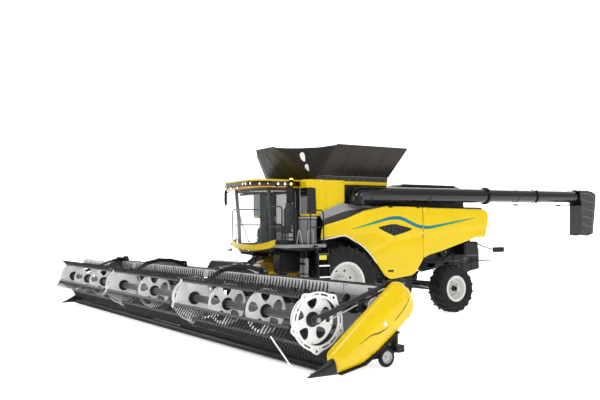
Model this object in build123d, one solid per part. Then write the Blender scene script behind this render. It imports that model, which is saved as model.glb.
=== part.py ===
from build123d import *
import math
import os

os.makedirs("parts", exist_ok=True)

# Combine harvester with a draper header, built in metres around the front axle and written in millimetres.
# Front is -Y, the machine's left is +X, up is +Z. The ground is Z = 0.
MM = 1000.0

# ---- driving dimensions, metres, y measured from the front axle ----
FRONT_Y = -5.80          # ends of the crop divider rods
REAR_Y = 10.92           # back of the unloading spout
SHIFT = -(FRONT_Y + REAR_Y) / 2   # puts the origin under the middle of the whole machine
WHEELBASE = 4.05
FRONT_R, FRONT_HALF_W, FRONT_X = 1.05, 0.44, 1.64
REAR_R, REAR_HALF_W, REAR_X = 0.72, 0.29, 1.80
KINGPIN_X = 1.30
FLANK_X = 1.85           # outer face of the side panels
TANK_X, TANK_Y0, TANK_Y1, TANK_TOP = 1.42, -0.37, 1.93, 3.93
HEAD_X = 7.62            # half width of reel and deck
TIP_X = 7.96             # outer face of the end shields
REEL_Y, REEL_Z, REEL_R = -4.77, 0.98, 0.475   # reel axis and the radius its bats sit at
FEED_Y, FEED_Z = -0.52, 1.66      # feeder house lift axis
ARM_Y, ARM_Z = -2.86, 1.53        # reel arm pivots
AUG_X, AUG_Y, AUG_Z = 1.75, 0.62, 3.52   # unloading auger slewing axis and tube height
SHEET = 0.06
PIN = 0.014               # radius of the hinge barrels
WHEEL_R = 0.18            # header gauge wheels


def V(x, y, z):
    return Vector(x * MM, (y + SHIFT) * MM, z * MM)


def box(x0, x1, y0, y1, z0, z1):
    return Solid.make_box((x1 - x0) * MM, (y1 - y0) * MM, (z1 - z0) * MM, Plane(origin=V(x0, y0, z0)))


def poly_face(points):
    return Face(Wire.make_polygon([V(*p) for p in points], close=True))


def round_face(points, radius):
    r = [q * MM for q in radius] if isinstance(radius, (list, tuple)) else radius * MM
    line = FilletPolyline(*[V(*p) for p in points], radius=r, close=True)
    return Face(Wire(line.edges()))


def push(face, dx=0.0, dy=0.0, dz=0.0):
    return Solid.extrude(face, Vector(dx * MM, dy * MM, dz * MM))


def prism_x(yz, x0, x1, r=None):
    pts = [(x0, y, z) for y, z in yz]
    return push(round_face(pts, r) if r else poly_face(pts), dx=x1 - x0)


def prism_y(xz, y0, y1, r=None):
    pts = [(x, y0, z) for x, z in xz]
    return push(round_face(pts, r) if r else poly_face(pts), dy=y1 - y0)


def prism_z(xy, z0, z1, r=None):
    pts = [(x, y, z0) for x, y in xy]
    return push(round_face(pts, r) if r else poly_face(pts), dz=z1 - z0)


def rod(p, q, r):
    a, b = V(*p), V(*q)
    return Solid.make_cylinder(r * MM, (b - a).length, Plane(origin=a, z_dir=(b - a)))


def ball(p, r):
    return Solid.make_sphere(r * MM, Plane(origin=V(*p)), -90, 90, 360)


def rail(points, r):
    """A bent tube: straight runs with a ball at each corner."""
    parts = [rod(points[i], points[i + 1], r) for i in range(len(points) - 1)]
    parts += [ball(p, r) for p in points[1:-1]]
    return join(*parts)


def join(*shapes):
    return shapes[0] if len(shapes) == 1 else shapes[0].fuse(*shapes[1:])


def spin_x(profile, y, z):
    """Turns a profile of (x, radius) about the line through (y, z) along X."""
    face = poly_face([(x, y, z + r) for x, r in profile])
    return Solid.revolve(face, 360, Axis(V(0, y, z), (1, 0, 0)))


def ring_x(x0, x1, y, z, r0, r1):
    return spin_x([(x0, r0), (x1, r0), (x1, r1), (x0, r1)], y, z)


def flip(shape):
    return shape.mirror(Plane.YZ)


def pair(*shapes):
    return list(shapes) + [flip(s) for s in shapes]


def save(name, *shapes):
    solids = []
    for s in shapes:
        for t in (s if isinstance(s, list) else [s]):
            solids += list(t.solids())
    body = solids[0] if len(solids) == 1 else Compound(children=solids)
    export_step(body, "parts/" + name + ".step")


# ============ wheels ============
# name, x centre, y, tyre radius, half width, bead radius, wall, hub radius
WHEELS = [
    ("front_left", FRONT_X, 0.0, FRONT_R, FRONT_HALF_W, 0.56, 0.06, 0.20),
    ("front_right", -FRONT_X, 0.0, FRONT_R, FRONT_HALF_W, 0.56, 0.06, 0.20),
    ("rear_left", REAR_X, WHEELBASE, REAR_R, REAR_HALF_W, 0.35, 0.045, 0.13),
    ("rear_right", -REAR_X, WHEELBASE, REAR_R, REAR_HALF_W, 0.35, 0.045, 0.13),
]
for name, cx, y, R, w, rb, wall, hub in WHEELS:
    s = 1 if cx > 0 else -1
    sh = R - 0.10 * R            # shoulder radius
    tyre = [(-w + 0.07, rb + 0.002), (-w + 0.07, rb + 0.05), (-w, (rb + R) / 2), (-w + 0.01, sh), (-w + 0.06, R),
            (w - 0.06, R), (w - 0.01, sh), (w, (rb + R) / 2), (w - 0.07, rb + 0.05), (w - 0.07, rb + 0.002),
            (w - 0.07 - wall, rb + 0.002), (w - 0.07 - wall, rb + 0.05), (w - wall, (rb + R) / 2),
            (w - wall, sh - 0.02), (w - 0.06 - wall, R - 2 * wall), (-w + 0.06 + wall, R - 2 * wall),
            (-w + wall, sh - 0.02), (-w + wall, (rb + R) / 2), (-w + 0.07 + wall, rb + 0.05), (-w + 0.07 + wall, rb + 0.002)]
    save(name + "_tyre", spin_x([(cx + s * x, r) for x, r in tyre], y, R))
    b = w - 0.065                # outer face of the bead seat
    d = 0.02 * R                 # disc sits near the middle of the wheel
    rim = [(-b - 0.02, rb - 0.03), (-b - 0.02, rb + 0.045), (-b, rb + 0.045), (-b, rb), (b, rb), (b, rb + 0.045),
           (b + 0.02, rb + 0.045), (b + 0.02, rb - 0.03), (d + 0.10, rb - 0.05), (d + 0.03, hub + 0.06),
           (d + 0.20 * R, hub), (d + 0.20 * R, 0.02), (d - 0.02, 0.02), (d - 0.02, rb - 0.06), (-b + 0.02, rb - 0.03)]
    save(name + "_rim", spin_x([(cx + s * x, r) for x, r in rim], y, R))

# ============ chassis ============
rails = pair(box(0.84, 0.94, -0.30, 4.75, 1.30, 1.50))
cross = [box(-0.94, 0.94, y0, y1, 1.30, 1.50) for y0, y1 in ((-0.30, -0.16), (3.88, 4.22), (4.62, 4.75))]
perch = pair(box(0.84, 0.94, -0.15, 0.15, 1.22, 1.32))
pivot = box(-0.14, 0.14, 3.90, 4.20, 0.88, 1.32)
cab_beams = pair(prism_x([(-0.28, 1.32), (-0.28, 1.495), (-0.36, 1.495), (-0.38, 1.92), (-1.75, 1.92), (-1.75, 1.84), (-0.90, 1.72), (-0.44, 1.32)], 0.80, 0.90))
bearing = rod((-1.0, FEED_Y, FEED_Z), (1.0, FEED_Y, FEED_Z), 0.062)
save("main_frame", join(*rails, *cross, *perch, pivot, *cab_beams).cut(bearing))

save("front_axle", join(box(-1.06, 1.06, -0.16, 0.16, 0.88, 1.22), *pair(box(0.50, 0.54, -0.33, -0.15, 0.92, 1.06)),
                        *pair(rod((0.97, 0, FRONT_R), (1.13, 0, FRONT_R), 0.30), rod((1.1, 0, FRONT_R), (1.58, 0, FRONT_R), 0.17))))

beam = box(-1.14, 1.14, WHEELBASE - 0.10, WHEELBASE + 0.10, 0.62, 0.88)
ears = [e for z0, z1 in ((0.44, 0.50), (0.94, 1.00)) for e in pair(box(1.08, 1.38, WHEELBASE - 0.09, WHEELBASE + 0.09, z0, z1))]
webs = pair(box(1.06, 1.14, WHEELBASE - 0.09, WHEELBASE + 0.09, 0.44, 1.00))
hitch = box(-0.09, 0.09, WHEELBASE + 0.09, WHEELBASE + 0.38, 0.68, 0.74).cut(rod((0, WHEELBASE + 0.30, 0.6), (0, WHEELBASE + 0.30, 0.8), 0.0165))
save("rear_axle", join(beam, *ears, *webs, hitch))

for side, s in (("left", 1), ("right", -1)):
    k = join(rod((KINGPIN_X, WHEELBASE, 0.52), (KINGPIN_X, WHEELBASE, 0.92), 0.085),
             rod((KINGPIN_X, WHEELBASE, REAR_R), (REAR_X - 0.03, WHEELBASE, REAR_R), 0.07),
             box(KINGPIN_X - 0.05, KINGPIN_X + 0.05, WHEELBASE - 0.30, WHEELBASE, 0.54, 0.59))
    save("steering_knuckle_" + side, k if s > 0 else flip(k))

# threshing and cleaning housing: the closed core the frame carries
upper = prism_x([(-0.34, 1.50), (4.85, 1.50), (4.85, 2.20), (3.0, 2.34), (-0.34, 2.34)], -1.05, 1.05)
lower = prism_x([(0.45, 1.50), (0.75, 1.05), (3.15, 0.95), (3.50, 1.50)], -0.80, 0.80)
save("separator_housing", join(upper, lower))
save("engine_block", box(-0.55, 0.55, 2.55, 4.10, 2.35, 3.02))

fuel = pair(prism_x([(1.95, 0.62), (2.60, 0.62), (2.66, 1.12), (2.40, 1.48), (2.0, 1.48), (1.80, 1.05)], 1.24, 1.70, 0.05))
straps = pair(box(0.94, 1.24, 2.05, 2.20, 1.34, 1.44), box(0.94, 1.24, 2.35, 2.45, 1.34, 1.44))
save("side_tanks", join(fuel[0], straps[0], straps[1]), join(fuel[1], straps[2], straps[3]))

# ============ grain tank, open at the top ============
# z, half width, y front, y rear
TANK = [(2.40, 1.02, -0.34, 1.75), (3.15, TANK_X, TANK_Y0, TANK_Y1), (TANK_TOP, TANK_X, TANK_Y0, TANK_Y1)]


def rect_wire(z, hx, y0, y1):
    return Wire.make_polygon([V(-hx, y0, z), V(hx, y0, z), V(hx, y1, z), V(-hx, y1, z)], close=True)


T = 0.035
outer = join(Solid.make_loft([rect_wire(*TANK[0]), rect_wire(*TANK[1])], True), Solid.make_loft([rect_wire(*TANK[1]), rect_wire(*TANK[2])], True))
inner_rows = [(TANK[0][0] + T, TANK[0][1] - T, TANK[0][2] + T, TANK[0][3] - T),
              (TANK[1][0] + T / 3, TANK_X - T, TANK_Y0 + T, TANK_Y1 - T), (TANK_TOP + 0.1, TANK_X - T, TANK_Y0 + T, TANK_Y1 - T)]
inner = join(Solid.make_loft([rect_wire(*inner_rows[0]), rect_wire(*inner_rows[1])], True), Solid.make_loft([rect_wire(*inner_rows[1]), rect_wire(*inner_rows[2])], True))
# rim strips that carry the cover hinges
side_rim = pair(prism_y([(1.388, 3.925), (TANK_X, 3.925), (1.454, 4.034), (1.430, 4.040)], TANK_Y0, TANK_Y1))
front_rim = prism_x([(TANK_Y0 + 0.03, 3.925), (TANK_Y0 - 0.002, 3.925), (TANK_Y0 - 0.005, 3.950), (-0.442, 3.950), (-0.442, 3.960), (TANK_Y0 + 0.03, 3.960)], -1.30, 1.30)
rear_rim = prism_x([(TANK_Y1 - 0.03, 3.925), (TANK_Y1, 3.925), (1.975, 3.945), (1.975, 3.960), (TANK_Y1 - 0.03, 3.960)], -1.30, 1.30)
# turret that the unloading auger turns on
TUR_X = 1.66
turret = [rod((TUR_X, AUG_Y, 3.235), (TUR_X, AUG_Y, 3.28), 0.24), box(TANK_X - 0.01, TUR_X, AUG_Y - 0.12, AUG_Y + 0.12, 3.235, 3.28)]
save("grain_tank", join(outer.cut(inner), *side_rim, front_rim, rear_rim, *turret))

# tank covers: hinge line, top edge, half spans at hinge and at the top
CT = 0.02


def slab(a, b, c, d, t, toward):
    """A flat four-cornered sheet through a, b, c, d, as thick as t on the side given by a direction."""
    f = poly_face([a, b, c, d])
    n = f.normal_at()
    if n.dot(Vector(*toward)) < 0:
        n = n * -1
    return Solid.extrude(f, n * t * MM)


left_cover = slab((1.47, -0.50, 4.06), (1.47, 1.92, 4.06), (2.20, 2.04, 4.84), (2.20, -0.42, 4.84), CT, (1, 0, -1))
left_cover = join(left_cover, rod((1.47, -0.45, 4.06), (1.47, 1.88, 4.06), PIN))
save("tank_cover_left", left_cover)
save("tank_cover_right", flip(left_cover))
save("tank_cover_front", join(slab((-1.28, -0.46, 3.985), (1.28, -0.46, 3.985), (0.52, -1.40, 4.88), (-0.52, -1.40, 4.88), CT, (0, -1, -1)),
                              rod((-1.24, -0.46, 3.985), (1.24, -0.46, 3.985), PIN)))
save("tank_cover_rear", join(slab((-1.28, 2.00, 3.985), (1.28, 2.00, 3.985), (0.62, 2.70, 4.70), (-0.62, 2.70, 4.70), CT, (0, 1, -1)),
                             rod((-1.24, 2.00, 3.985), (1.24, 2.00, 3.985), PIN)))
# folded fabric corners between the covers
def corner(p, c, d, toward):
    f = poly_face([p, c, d])
    n = f.normal_at()
    if n.dot(Vector(*toward)) < 0:
        n = n * -1
    return Solid.extrude(f, n * 0.012 * MM)
fab_front = corner((1.43, -0.51, 4.07), (2.14, -0.47, 4.80), (0.62, -1.34, 4.80), (0, 0, -1))
fab_rear = corner((1.40, 2.02, 4.05), (2.16, 2.09, 4.80), (0.70, 2.66, 4.64), (0, 0, -1))
save("tank_corner_fabric", pair(fab_front, fab_rear))

# ============ side panels ============
FRONT_FLANK = [(-0.70, 2.27), (-0.66, 2.54), (-0.57, 2.66), (0.17, 2.85), (0.75, 3.06), (1.58, 3.20), (2.935, 3.18),
               (2.935, 1.62), (2.66, 1.25), (2.50, 1.17), (1.71, 1.09), (1.47, 1.22), (1.00, 1.80), (0.67, 2.09), (0.08, 2.38)]
REAR_FLANK = [(2.955, 3.18), (5.50, 3.14), (5.69, 3.07), (5.74, 2.96), (5.71, 2.62), (5.58, 2.24), (5.23, 2.27), (3.71, 1.86), (3.19, 1.75), (2.955, 1.64)]


def roof_strip(line, x0, x1):
    """The fixed roof edge that a side panel hangs from; line runs from front to rear."""
    return prism_x(line + [(y, z - SHEET) for y, z in reversed(line)], x0, x1)


panel_hinge = [rod((FLANK_X - 0.01, a, 3.19), (FLANK_X - 0.01, b, 3.19), PIN) for a, b in ((1.62, 1.80), (2.68, 2.86))]
left_skin = join(prism_x(FRONT_FLANK, FLANK_X - SHEET, FLANK_X), *panel_hinge)
save("left_side_panel", left_skin)
save("right_side_panel", flip(left_skin))
# fixed shoulder over the front panel: y, outer height, inner height
SHOULDER = [(-0.56, 2.68, 2.96), (0.17, 2.87, 3.25), (0.75, 3.08, 3.19), (1.58, 3.20, 3.20), (2.935, 3.18, 3.18)]
X0, X1, TS = 1.54, FLANK_X - SHEET - 0.01, 0.05
shoulder = [Solid.make_loft([Wire.make_polygon([V(X1, y, zo), V(X0, y, zi), V(X0, y, zi - TS), V(X1, y, zo - TS)], close=True),
                             Wire.make_polygon([V(X1, y2, zo2), V(X0, y2, zi2), V(X0, y2, zi2 - TS), V(X1, y2, zo2 - TS)], close=True)], True)
            for (y, zo, zi), (y2, zo2, zi2) in zip(SHOULDER, SHOULDER[1:])]
front_roof = join(*shoulder)
rear_flank = join(prism_x(REAR_FLANK, FLANK_X - SHEET, FLANK_X), roof_strip([(2.955, 3.18), (5.50, 3.14)], 1.30, FLANK_X - 0.01))
upper_panel = join(box(1.47, 1.52, -0.95, 0.32, 3.22, 3.92), prism_x([(-0.95, 3.30), (0.32, 3.30), (0.25, 3.22), (-0.52, 2.90), (-0.95, 2.90)], 1.47, 1.52),
                   box(1.13, 1.52, -0.95, -0.90, 2.90, 3.92))
save("fixed_side_panels", pair(rear_flank), pair(upper_panel), pair(front_roof))

# engine deck, its rear hood and the grille that closes the back
deck = prism_x([(1.97, 3.10), (4.9, 3.10), (4.9, 3.16), (1.97, 3.16)], -1.28, 1.28)
bulge = prism_x([(2.10, 3.16), (2.30, 3.42), (4.30, 3.42), (4.90, 3.16)], -1.05, 1.05)
hood = prism_x([(4.91, 3.10), (5.44, 3.08), (5.64, 2.95), (5.62, 2.42), (5.56, 2.42), (5.58, 2.93), (5.40, 3.02), (4.91, 3.04)], -1.28, 1.28)
save("engine_deck", join(deck, bulge, box(-1.28, 1.28, 4.89, 4.93, 3.10, 3.16), hood, box(-1.78, 1.78, 5.56, 5.62, 2.42, 2.93)))

# straw chopper housing, open at the back and below
chop_out = prism_x([(4.87, 1.35), (4.87, 2.30), (5.50, 2.36), (6.25, 1.85), (6.25, 1.20), (5.20, 1.05)], -0.86, 0.86)
chop_in = prism_x([(4.93, 1.20), (4.93, 2.24), (5.48, 2.30), (6.35, 1.72), (6.60, 1.00), (5.2, 0.9)], -0.80, 0.80)
chop_shell = chop_out.cut(chop_in)
bridge = box(-0.80, 0.80, 5.72, 5.88, 1.40, 1.52)
save("chopper_housing", join(chop_shell, bridge))
for side, s in (("left", 1), ("right", -1)):
    c = 0.40 * s
    plate = rod((c, 5.80, 1.10), (c, 5.80, 1.13), 0.34)
    vanes = [prism_z([(c - 0.02, 5.80), (c + 0.02, 5.80), (c + 0.02, 6.12), (c - 0.02, 6.12)], 1.125, 1.21).rotate(Axis(V(c, 5.80, 0), (0, 0, 1)), a) for a in (0, 90, 180, 270)]
    save("straw_spreader_" + side, join(plate, rod((c, 5.80, 1.05), (c, 5.80, 1.38), 0.05), *vanes))

# ============ cab ============
CX = 1.00
FLOOR = prism_z([(-CX, -0.44), (CX, -0.44), (CX, -1.76), (0.5, -2.02), (-0.5, -2.02), (-CX, -1.76)], 1.92, 2.14)
nose = prism_x([(-2.02, 1.98), (-2.02, 2.10), (-2.32, 2.10), (-2.32, 2.04)], -0.62, 0.95)
save("cab_floor", join(FLOOR, nose))
# cab post: y, x size, y size
pillars = pair(box(0.93, CX, -1.80, -1.72, 2.14, 3.68), box(0.93, CX, -1.00, -0.92, 2.14, 3.68), box(0.93, CX, -0.52, -0.44, 2.14, 3.68))
rear_wall = join(box(-0.93, 0.93, -0.49, -0.44, 2.14, 2.75), box(-0.93, 0.93, -0.49, -0.44, 3.50, 3.68), box(-0.93, -0.60, -0.49, -0.44, 2.75, 3.50), box(0.60, 0.93, -0.49, -0.44, 2.75, 3.50))
ring = join(*pair(box(0.93, CX, -1.80, -0.44, 3.60, 3.68)), box(-0.93, 0.93, -0.54, -0.44, 3.60, 3.68))
quarter = pair(box(0.955, 0.985, -0.92, -0.52, 2.14, 3.60))
save("cab_frame", join(*pillars, rear_wall, ring, *quarter))
roof_out = prism_z([(-1.10, -0.42), (1.10, -0.42), (1.12, -1.90), (0.80, -2.36), (-0.80, -2.36), (-1.12, -1.90)], 3.69, 3.94, 0.06)
save("cab_roof", roof_out)
GX = 0.005
arc_pts = [(-0.97, -1.81), (-0.5, -1.99), (0.5, -1.99), (0.97, -1.81)]
shield_face = poly_face([(x, y, 2.15) for x, y in arc_pts] + [(x, y - 0.015, 2.15) for x, y in reversed(arc_pts)])
windshield = push(shield_face, dz=1.53)
right_glass = box(-0.975, -0.960, -1.715, -1.005, 2.15, 3.595)
rear_glass = box(-0.595, 0.595, -0.475, -0.460, 2.755, 3.495)
save("cab_glass", windshield, right_glass, rear_glass)
# door: hinged on its rear post
door = box(0.945, 0.985, -1.712, -1.010, 2.16, 3.59).cut(box(0.90, 1.05, -1.66, -1.06, 2.24, 3.53))
hinges = [rod((0.985, -1.010, z), (0.985, -1.010, z + 0.12), 0.008) for z in (2.35, 2.85, 3.30)]
save("cab_door", join(door, box(0.985, 1.015, -1.69, -1.66, 2.75, 2.90), *hinges))
save("cab_door_glass", box(0.958, 0.970, -1.659, -1.061, 2.241, 3.529))

seat = join(box(-0.26, 0.26, -1.10, -0.62, 2.50, 2.66), box(-0.25, 0.25, -0.66, -0.54, 2.60, 3.35), box(-0.18, 0.18, -1.0, -0.68, 2.14, 2.52),
            box(-0.46, -0.30, -1.20, -0.66, 2.62, 2.78).fuse(box(-0.44, -0.20, -0.90, -0.80, 2.45, 2.66)))
save("operator_seat", seat)
column = rod((0, -1.62, 2.165), (0, -1.42, 2.82), 0.05)
wheel_ring = Solid.make_torus(0.19 * MM, 0.016 * MM, Plane(origin=V(0, -1.40, 2.86), z_dir=(0, 0.30, 1)))
spokes = [rod((-0.19, -1.40, 2.86), (0.19, -1.40, 2.86), 0.012), rod((0, -1.46, 2.66), (0, -1.395, 2.875), 0.03)]
save("steering_column", join(column, wheel_ring, *spokes))

# ============ platform and ladder ============
plate = box(1.02, 2.08, -2.02, -0.72, 2.06, 2.13)
hoop1 = rail([(2.05, -1.20, 2.12), (2.05, -1.20, 3.05), (2.05, -0.78, 3.05), (2.05, -0.78, 2.12)], 0.02)
hoop2 = rail([(2.05, -1.98, 2.12), (2.05, -1.98, 3.15), (2.05, -1.66, 3.15), (2.05, -1.66, 2.12)], 0.02)
hoop3 = rail([(1.10, -1.99, 2.12), (1.10, -1.99, 3.15), (1.90, -1.99, 3.15), (1.90, -1.99, 2.12)], 0.02)
LAD_X, LAD_Y = 2.19, -1.12
pin_lug = box(2.07, 2.23, -1.14, -1.06, 2.07, 2.12).cut(rod((LAD_X, LAD_Y + 0.02, 2.0), (LAD_X, LAD_Y + 0.02, 2.2), 0.0205))
save("access_platform", join(plate, hoop1, hoop2, hoop3, box(1.00, 1.03, -1.70, -0.95, 2.06, 2.13), pin_lug))
stiles = [prism_x([(y, 2.04), (y + 0.035, 2.04), (y + 0.100, 0.93), (y + 0.065, 0.93)], LAD_X - 0.05, LAD_X + 0.05) for y in (LAD_Y, LAD_Y + 0.345)]
treads = [box(LAD_X - 0.09, LAD_X + 0.07, LAD_Y + 0.02 + 0.059 * (2.0 - z), LAD_Y + 0.36 + 0.059 * (2.0 - z), z, z + 0.04) for z in (0.96, 1.26, 1.56, 1.86)]
ladder_pin = join(box(LAD_X - 0.05, LAD_X + 0.05, LAD_Y - 0.008, LAD_Y + 0.052, 1.95, 2.04), rod((LAD_X, LAD_Y + 0.02, 1.98), (LAD_X, LAD_Y + 0.02, 2.13), 0.020))
save("access_ladder", join(*stiles, *treads, ladder_pin))

# ============ unloading auger ============
elbow = join(rod((TUR_X, AUG_Y, 3.29), (TUR_X, AUG_Y, AUG_Z), 0.21), ball((TUR_X, AUG_Y, AUG_Z), 0.21))
tube = [rod((TUR_X, AUG_Y, AUG_Z), (AUG_X, 5.62, 3.555), 0.22), rod((AUG_X, 5.58, 3.555), (AUG_X, 5.68, 3.556), 0.27),
        rod((AUG_X, 5.62, 3.565), (AUG_X, 10.02, 3.60), 0.20), rod((AUG_X, 7.90, 3.585), (AUG_X, 8.0, 3.586), 0.235)]
save("unloading_auger", join(elbow, *tube))
spout = prism_x([(10.03, 3.82), (10.50, 3.82), (REAR_Y, 3.66), (10.70, 2.31), (10.42, 2.24), (10.06, 2.27), (10.10, 3.30)], AUG_X - 0.25, AUG_X + 0.25)
spout_in = prism_x([(10.07, 3.74), (10.48, 3.77), (REAR_Y - 0.05, 3.63), (10.66, 2.10), (10.10, 2.10), (10.14, 3.32)], AUG_X - 0.215, AUG_X + 0.215)
mouth = rod((AUG_X, 9.9, 3.60), (AUG_X, 10.12, 3.60), 0.19)
spout_pins = [rod((AUG_X + a, 10.03, 3.81), (AUG_X + b, 10.03, 3.81), 0.02) for a, b in ((-0.28, -0.23), (0.23, 0.28))]
save("auger_spout", join(spout.cut(spout_in).cut(mouth), *spout_pins))

# ============ header ============
FH = [(-0.56, 1.90), (-0.42, 1.80), (-0.42, 1.50), (-0.56, 1.38), (-2.28, 0.42), (-2.28, 1.10)]
CYL_A, CYL_B = (0.62, -0.27, 0.98), (0.62, -1.74, 0.60)   # barrel pin on the axle, rod eye under the feeder house
CYL_L = math.dist(CYL_A, CYL_B)
lugs = pair(prism_x([(-1.66, 0.78), (-1.80, 0.70), (-1.80, 0.56), (-1.68, 0.56)], 0.50, 0.54))
trunnions = pair(rod((0.73, FEED_Y, FEED_Z), (0.90, FEED_Y, FEED_Z), 0.06))
save("feeder_house", join(prism_x(FH, -0.74, 0.74), *lugs, *trunnions))


def along(t):
    return tuple(a + (b - a) * t / CYL_L for a, b in zip(CYL_A, CYL_B))


barrel = rod(along(0.02), along(0.95), 0.060).cut(rod(along(0.12), along(1.0), 0.046))
barrel_eye = rod((0.575, CYL_A[1], CYL_A[2]), (0.665, CYL_A[1], CYL_A[2]), 0.065)
save("lift_cylinder_barrels", pair(join(barrel, barrel_eye)))
save("lift_cylinder_rods", pair(join(rod(along(0.55), along(CYL_L - 0.02), 0.034), rod((0.585, CYL_B[1], CYL_B[2]), (0.655, CYL_B[1], CYL_B[2]), 0.05))))
# lift cylinders: barrel pinned on the axle, rod to the feeder house
ad_side = pair(box(0.80, 0.95, -2.68, -2.32, 0.30, 1.30))
ad_top = box(-0.95, 0.95, -2.68, -2.40, 1.12, 1.34)
ad_bot = box(-0.95, 0.95, -2.68, -2.32, 0.28, 0.42)
hump = prism_y([(-1.35, 1.34), (-0.95, 1.68), (0.95, 1.68), (1.35, 1.34)], -2.66, -2.42)
save("header_adapter", join(*ad_side, ad_top, ad_bot, hump))

back_beam = box(-7.75, 7.75, -2.98, -2.72, 1.22, 1.44)
low_beam = box(-7.70, 7.70, -2.98, -2.80, 0.24, 0.38)
links = [box(x - 0.05, x + 0.05, -2.80, -2.68, 0.30, 0.38) for x in (-0.7, 0.7)] + [box(x - 0.05, x + 0.05, -2.74, -2.68, 1.26, 1.32) for x in (-0.7, 0.7)]
posts = [box(x - 0.04, x + 0.04, -2.95, -2.84, 0.30, 1.30) for x in (-7.50, -5.7, -3.8, -1.9, 1.9, 3.8, 5.7, 7.50)]
sheet = pair(box(1.05, 7.70, -3.02, -2.98, 0.36, 1.24))
floor_arms = [prism_x([(-2.82, 0.24), (-2.82, 0.36), (-3.2, 0.21), (-4.60, 0.13), (-4.60, 0.09), (-3.2, 0.15)], x - 0.04, x + 0.04) for x in (-7.50, -6.4, -5.1, -3.8, -2.5, -1.2, 1.2, 2.5, 3.8, 5.1, 6.4, 7.50)]
arm_ears = [prism_x([(-2.96, 1.42), (-2.76, 1.42), (-2.80, 1.62), (-2.92, 1.62)], x0, x1) for c in (-7.66, -2.45, 2.45, 7.66) for x0, x1 in ((c - 0.085, c - 0.06), (c + 0.06, c + 0.085))]
arm_ears = [e.cut(rod((-8, ARM_Y, ARM_Z), (8, ARM_Y, ARM_Z), 0.0205)) for e in arm_ears]
stays = pair(join(rod((7.568, -2.95, 0.27), (7.568, -3.21, WHEEL_R), 0.020), rod((7.568, -3.21, WHEEL_R), (7.594, -3.21, WHEEL_R), 0.014)))
# arched cover over the feed opening and the rounded box beside it, both on top of the back beam
arch = prism_y([(-0.25, 1.42), (-0.25, 1.45), (0.10, 1.535), (0.60, 1.58), (1.40, 1.58), (1.95, 1.53), (2.30, 1.45), (2.30, 1.42)], -2.965, -2.735)
drive_box = prism_y([(-4.50, 1.42), (-4.50, 1.50), (-4.36, 1.59), (-2.80, 1.59), (-2.64, 1.50), (-2.64, 1.42)], -2.95, -2.75)
save("header_frame", join(back_beam, low_beam, arch, drive_box, *links, *posts, *sheet, *floor_arms, *arm_ears, *stays))
# belts: side decks and the centre feed deck
DECK = [(-3.10, 0.27), (-3.10, 0.36), (-4.50, 0.235), (-4.50, 0.155)]
save("draper_belts", prism_x(DECK, 1.06, 7.58), prism_x(DECK, -7.58, -1.06), prism_x([(-2.72, 0.52), (-2.72, 0.60), (-4.50, 0.225), (-4.50, 0.155)], -1.00, 1.00).cut(box(-1.1, 1.1, -3.05, -2.6, 0.0, 2.0)))
save("cutter_bar", prism_x([(-4.605, 0.08), (-4.605, 0.14), (-4.66, 0.14), (-4.84, 0.10), (-4.84, 0.085)], -7.68, 7.68))
# end shields and dividers
SHIELD = [(-4.48, 0.05), (-4.66, 0.36), (-3.12, 1.57), (-2.97, 1.57), (-2.80, 1.40), (-2.71, 1.20), (-2.73, 1.00), (-3.09, 0.70), (-3.54, 0.38), (-3.90, 0.17)]
shield = prism_x(SHIELD, 7.76, TIP_X)
save("end_shields", pair(shield))
nose_pts = [(-4.495, 0.04), (-4.672, 0.345), (-5.10, 0.06), (-5.10, 0.04)]
nose_l = prism_x(nose_pts, 7.78, 7.94)
divider_rod = rail([(7.84, -4.98, 0.10), (7.84, -5.30, 0.14), (7.84, -5.7875, 0.80)], 0.0125)
save("crop_dividers", pair(join(nose_l, divider_rod)))
# gauge wheels under the ends
save("gauge_wheels", pair(spin_x([(7.60, 0.0), (7.68, 0.0), (7.68, 0.15), (7.665, WHEEL_R), (7.615, WHEEL_R), (7.60, 0.15)], -3.21, WHEEL_R)))
# upper cross auger with its flights
flights = [ring_x(x, x + 0.02, -3.22, 1.08, 0.05, 0.19) for x in (-6.9, -5.9, -4.9, -3.9, 3.88, 4.88, 5.88, 6.88)]
save("cross_auger", join(rod((-7.45, -3.22, 1.08), (7.45, -3.22, 1.08), 0.10), *flights))

# ============ reel ============
# the end arms are straight and the two inner ones arch over the crop
STRAIGHT = [(-2.82, 1.50), (-2.82, 1.57), (-2.90, 1.60), (-3.30, 1.54), (-4.60, 1.10), (-4.87, 1.05), (-4.87, 0.91), (-4.70, 0.91), (-4.55, 0.985), (-3.34, 1.43), (-3.05, 1.50)]
ARCHED = [(-2.82, 1.48), (-2.82, 1.57), (-2.90, 1.61), (-3.25, 1.69), (-3.65, 1.72), (-4.05, 1.63), (-4.40, 1.41), (-4.70, 1.12), (-4.87, 1.06),
          (-4.87, 0.90), (-4.66, 0.90), (-4.52, 1.11), (-4.28, 1.34), (-3.98, 1.50), (-3.65, 1.58), (-3.25, 1.56), (-3.00, 1.50)]
arms = []
for x in (-7.66, -2.45, 2.45, 7.66):
    a = prism_x(ARCHED if abs(x) < 3 else STRAIGHT, x - 0.05, x + 0.05)
    pin = rod((x - 0.095, ARM_Y, ARM_Z), (x + 0.095, ARM_Y, ARM_Z), 0.020)
    arms.append(join(a.cut(ring_x(x - 0.1, x + 0.1, REEL_Y, REEL_Z, 0.0, 0.052)), pin))
save("reel_arms", *arms)
BATS = 5
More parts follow.
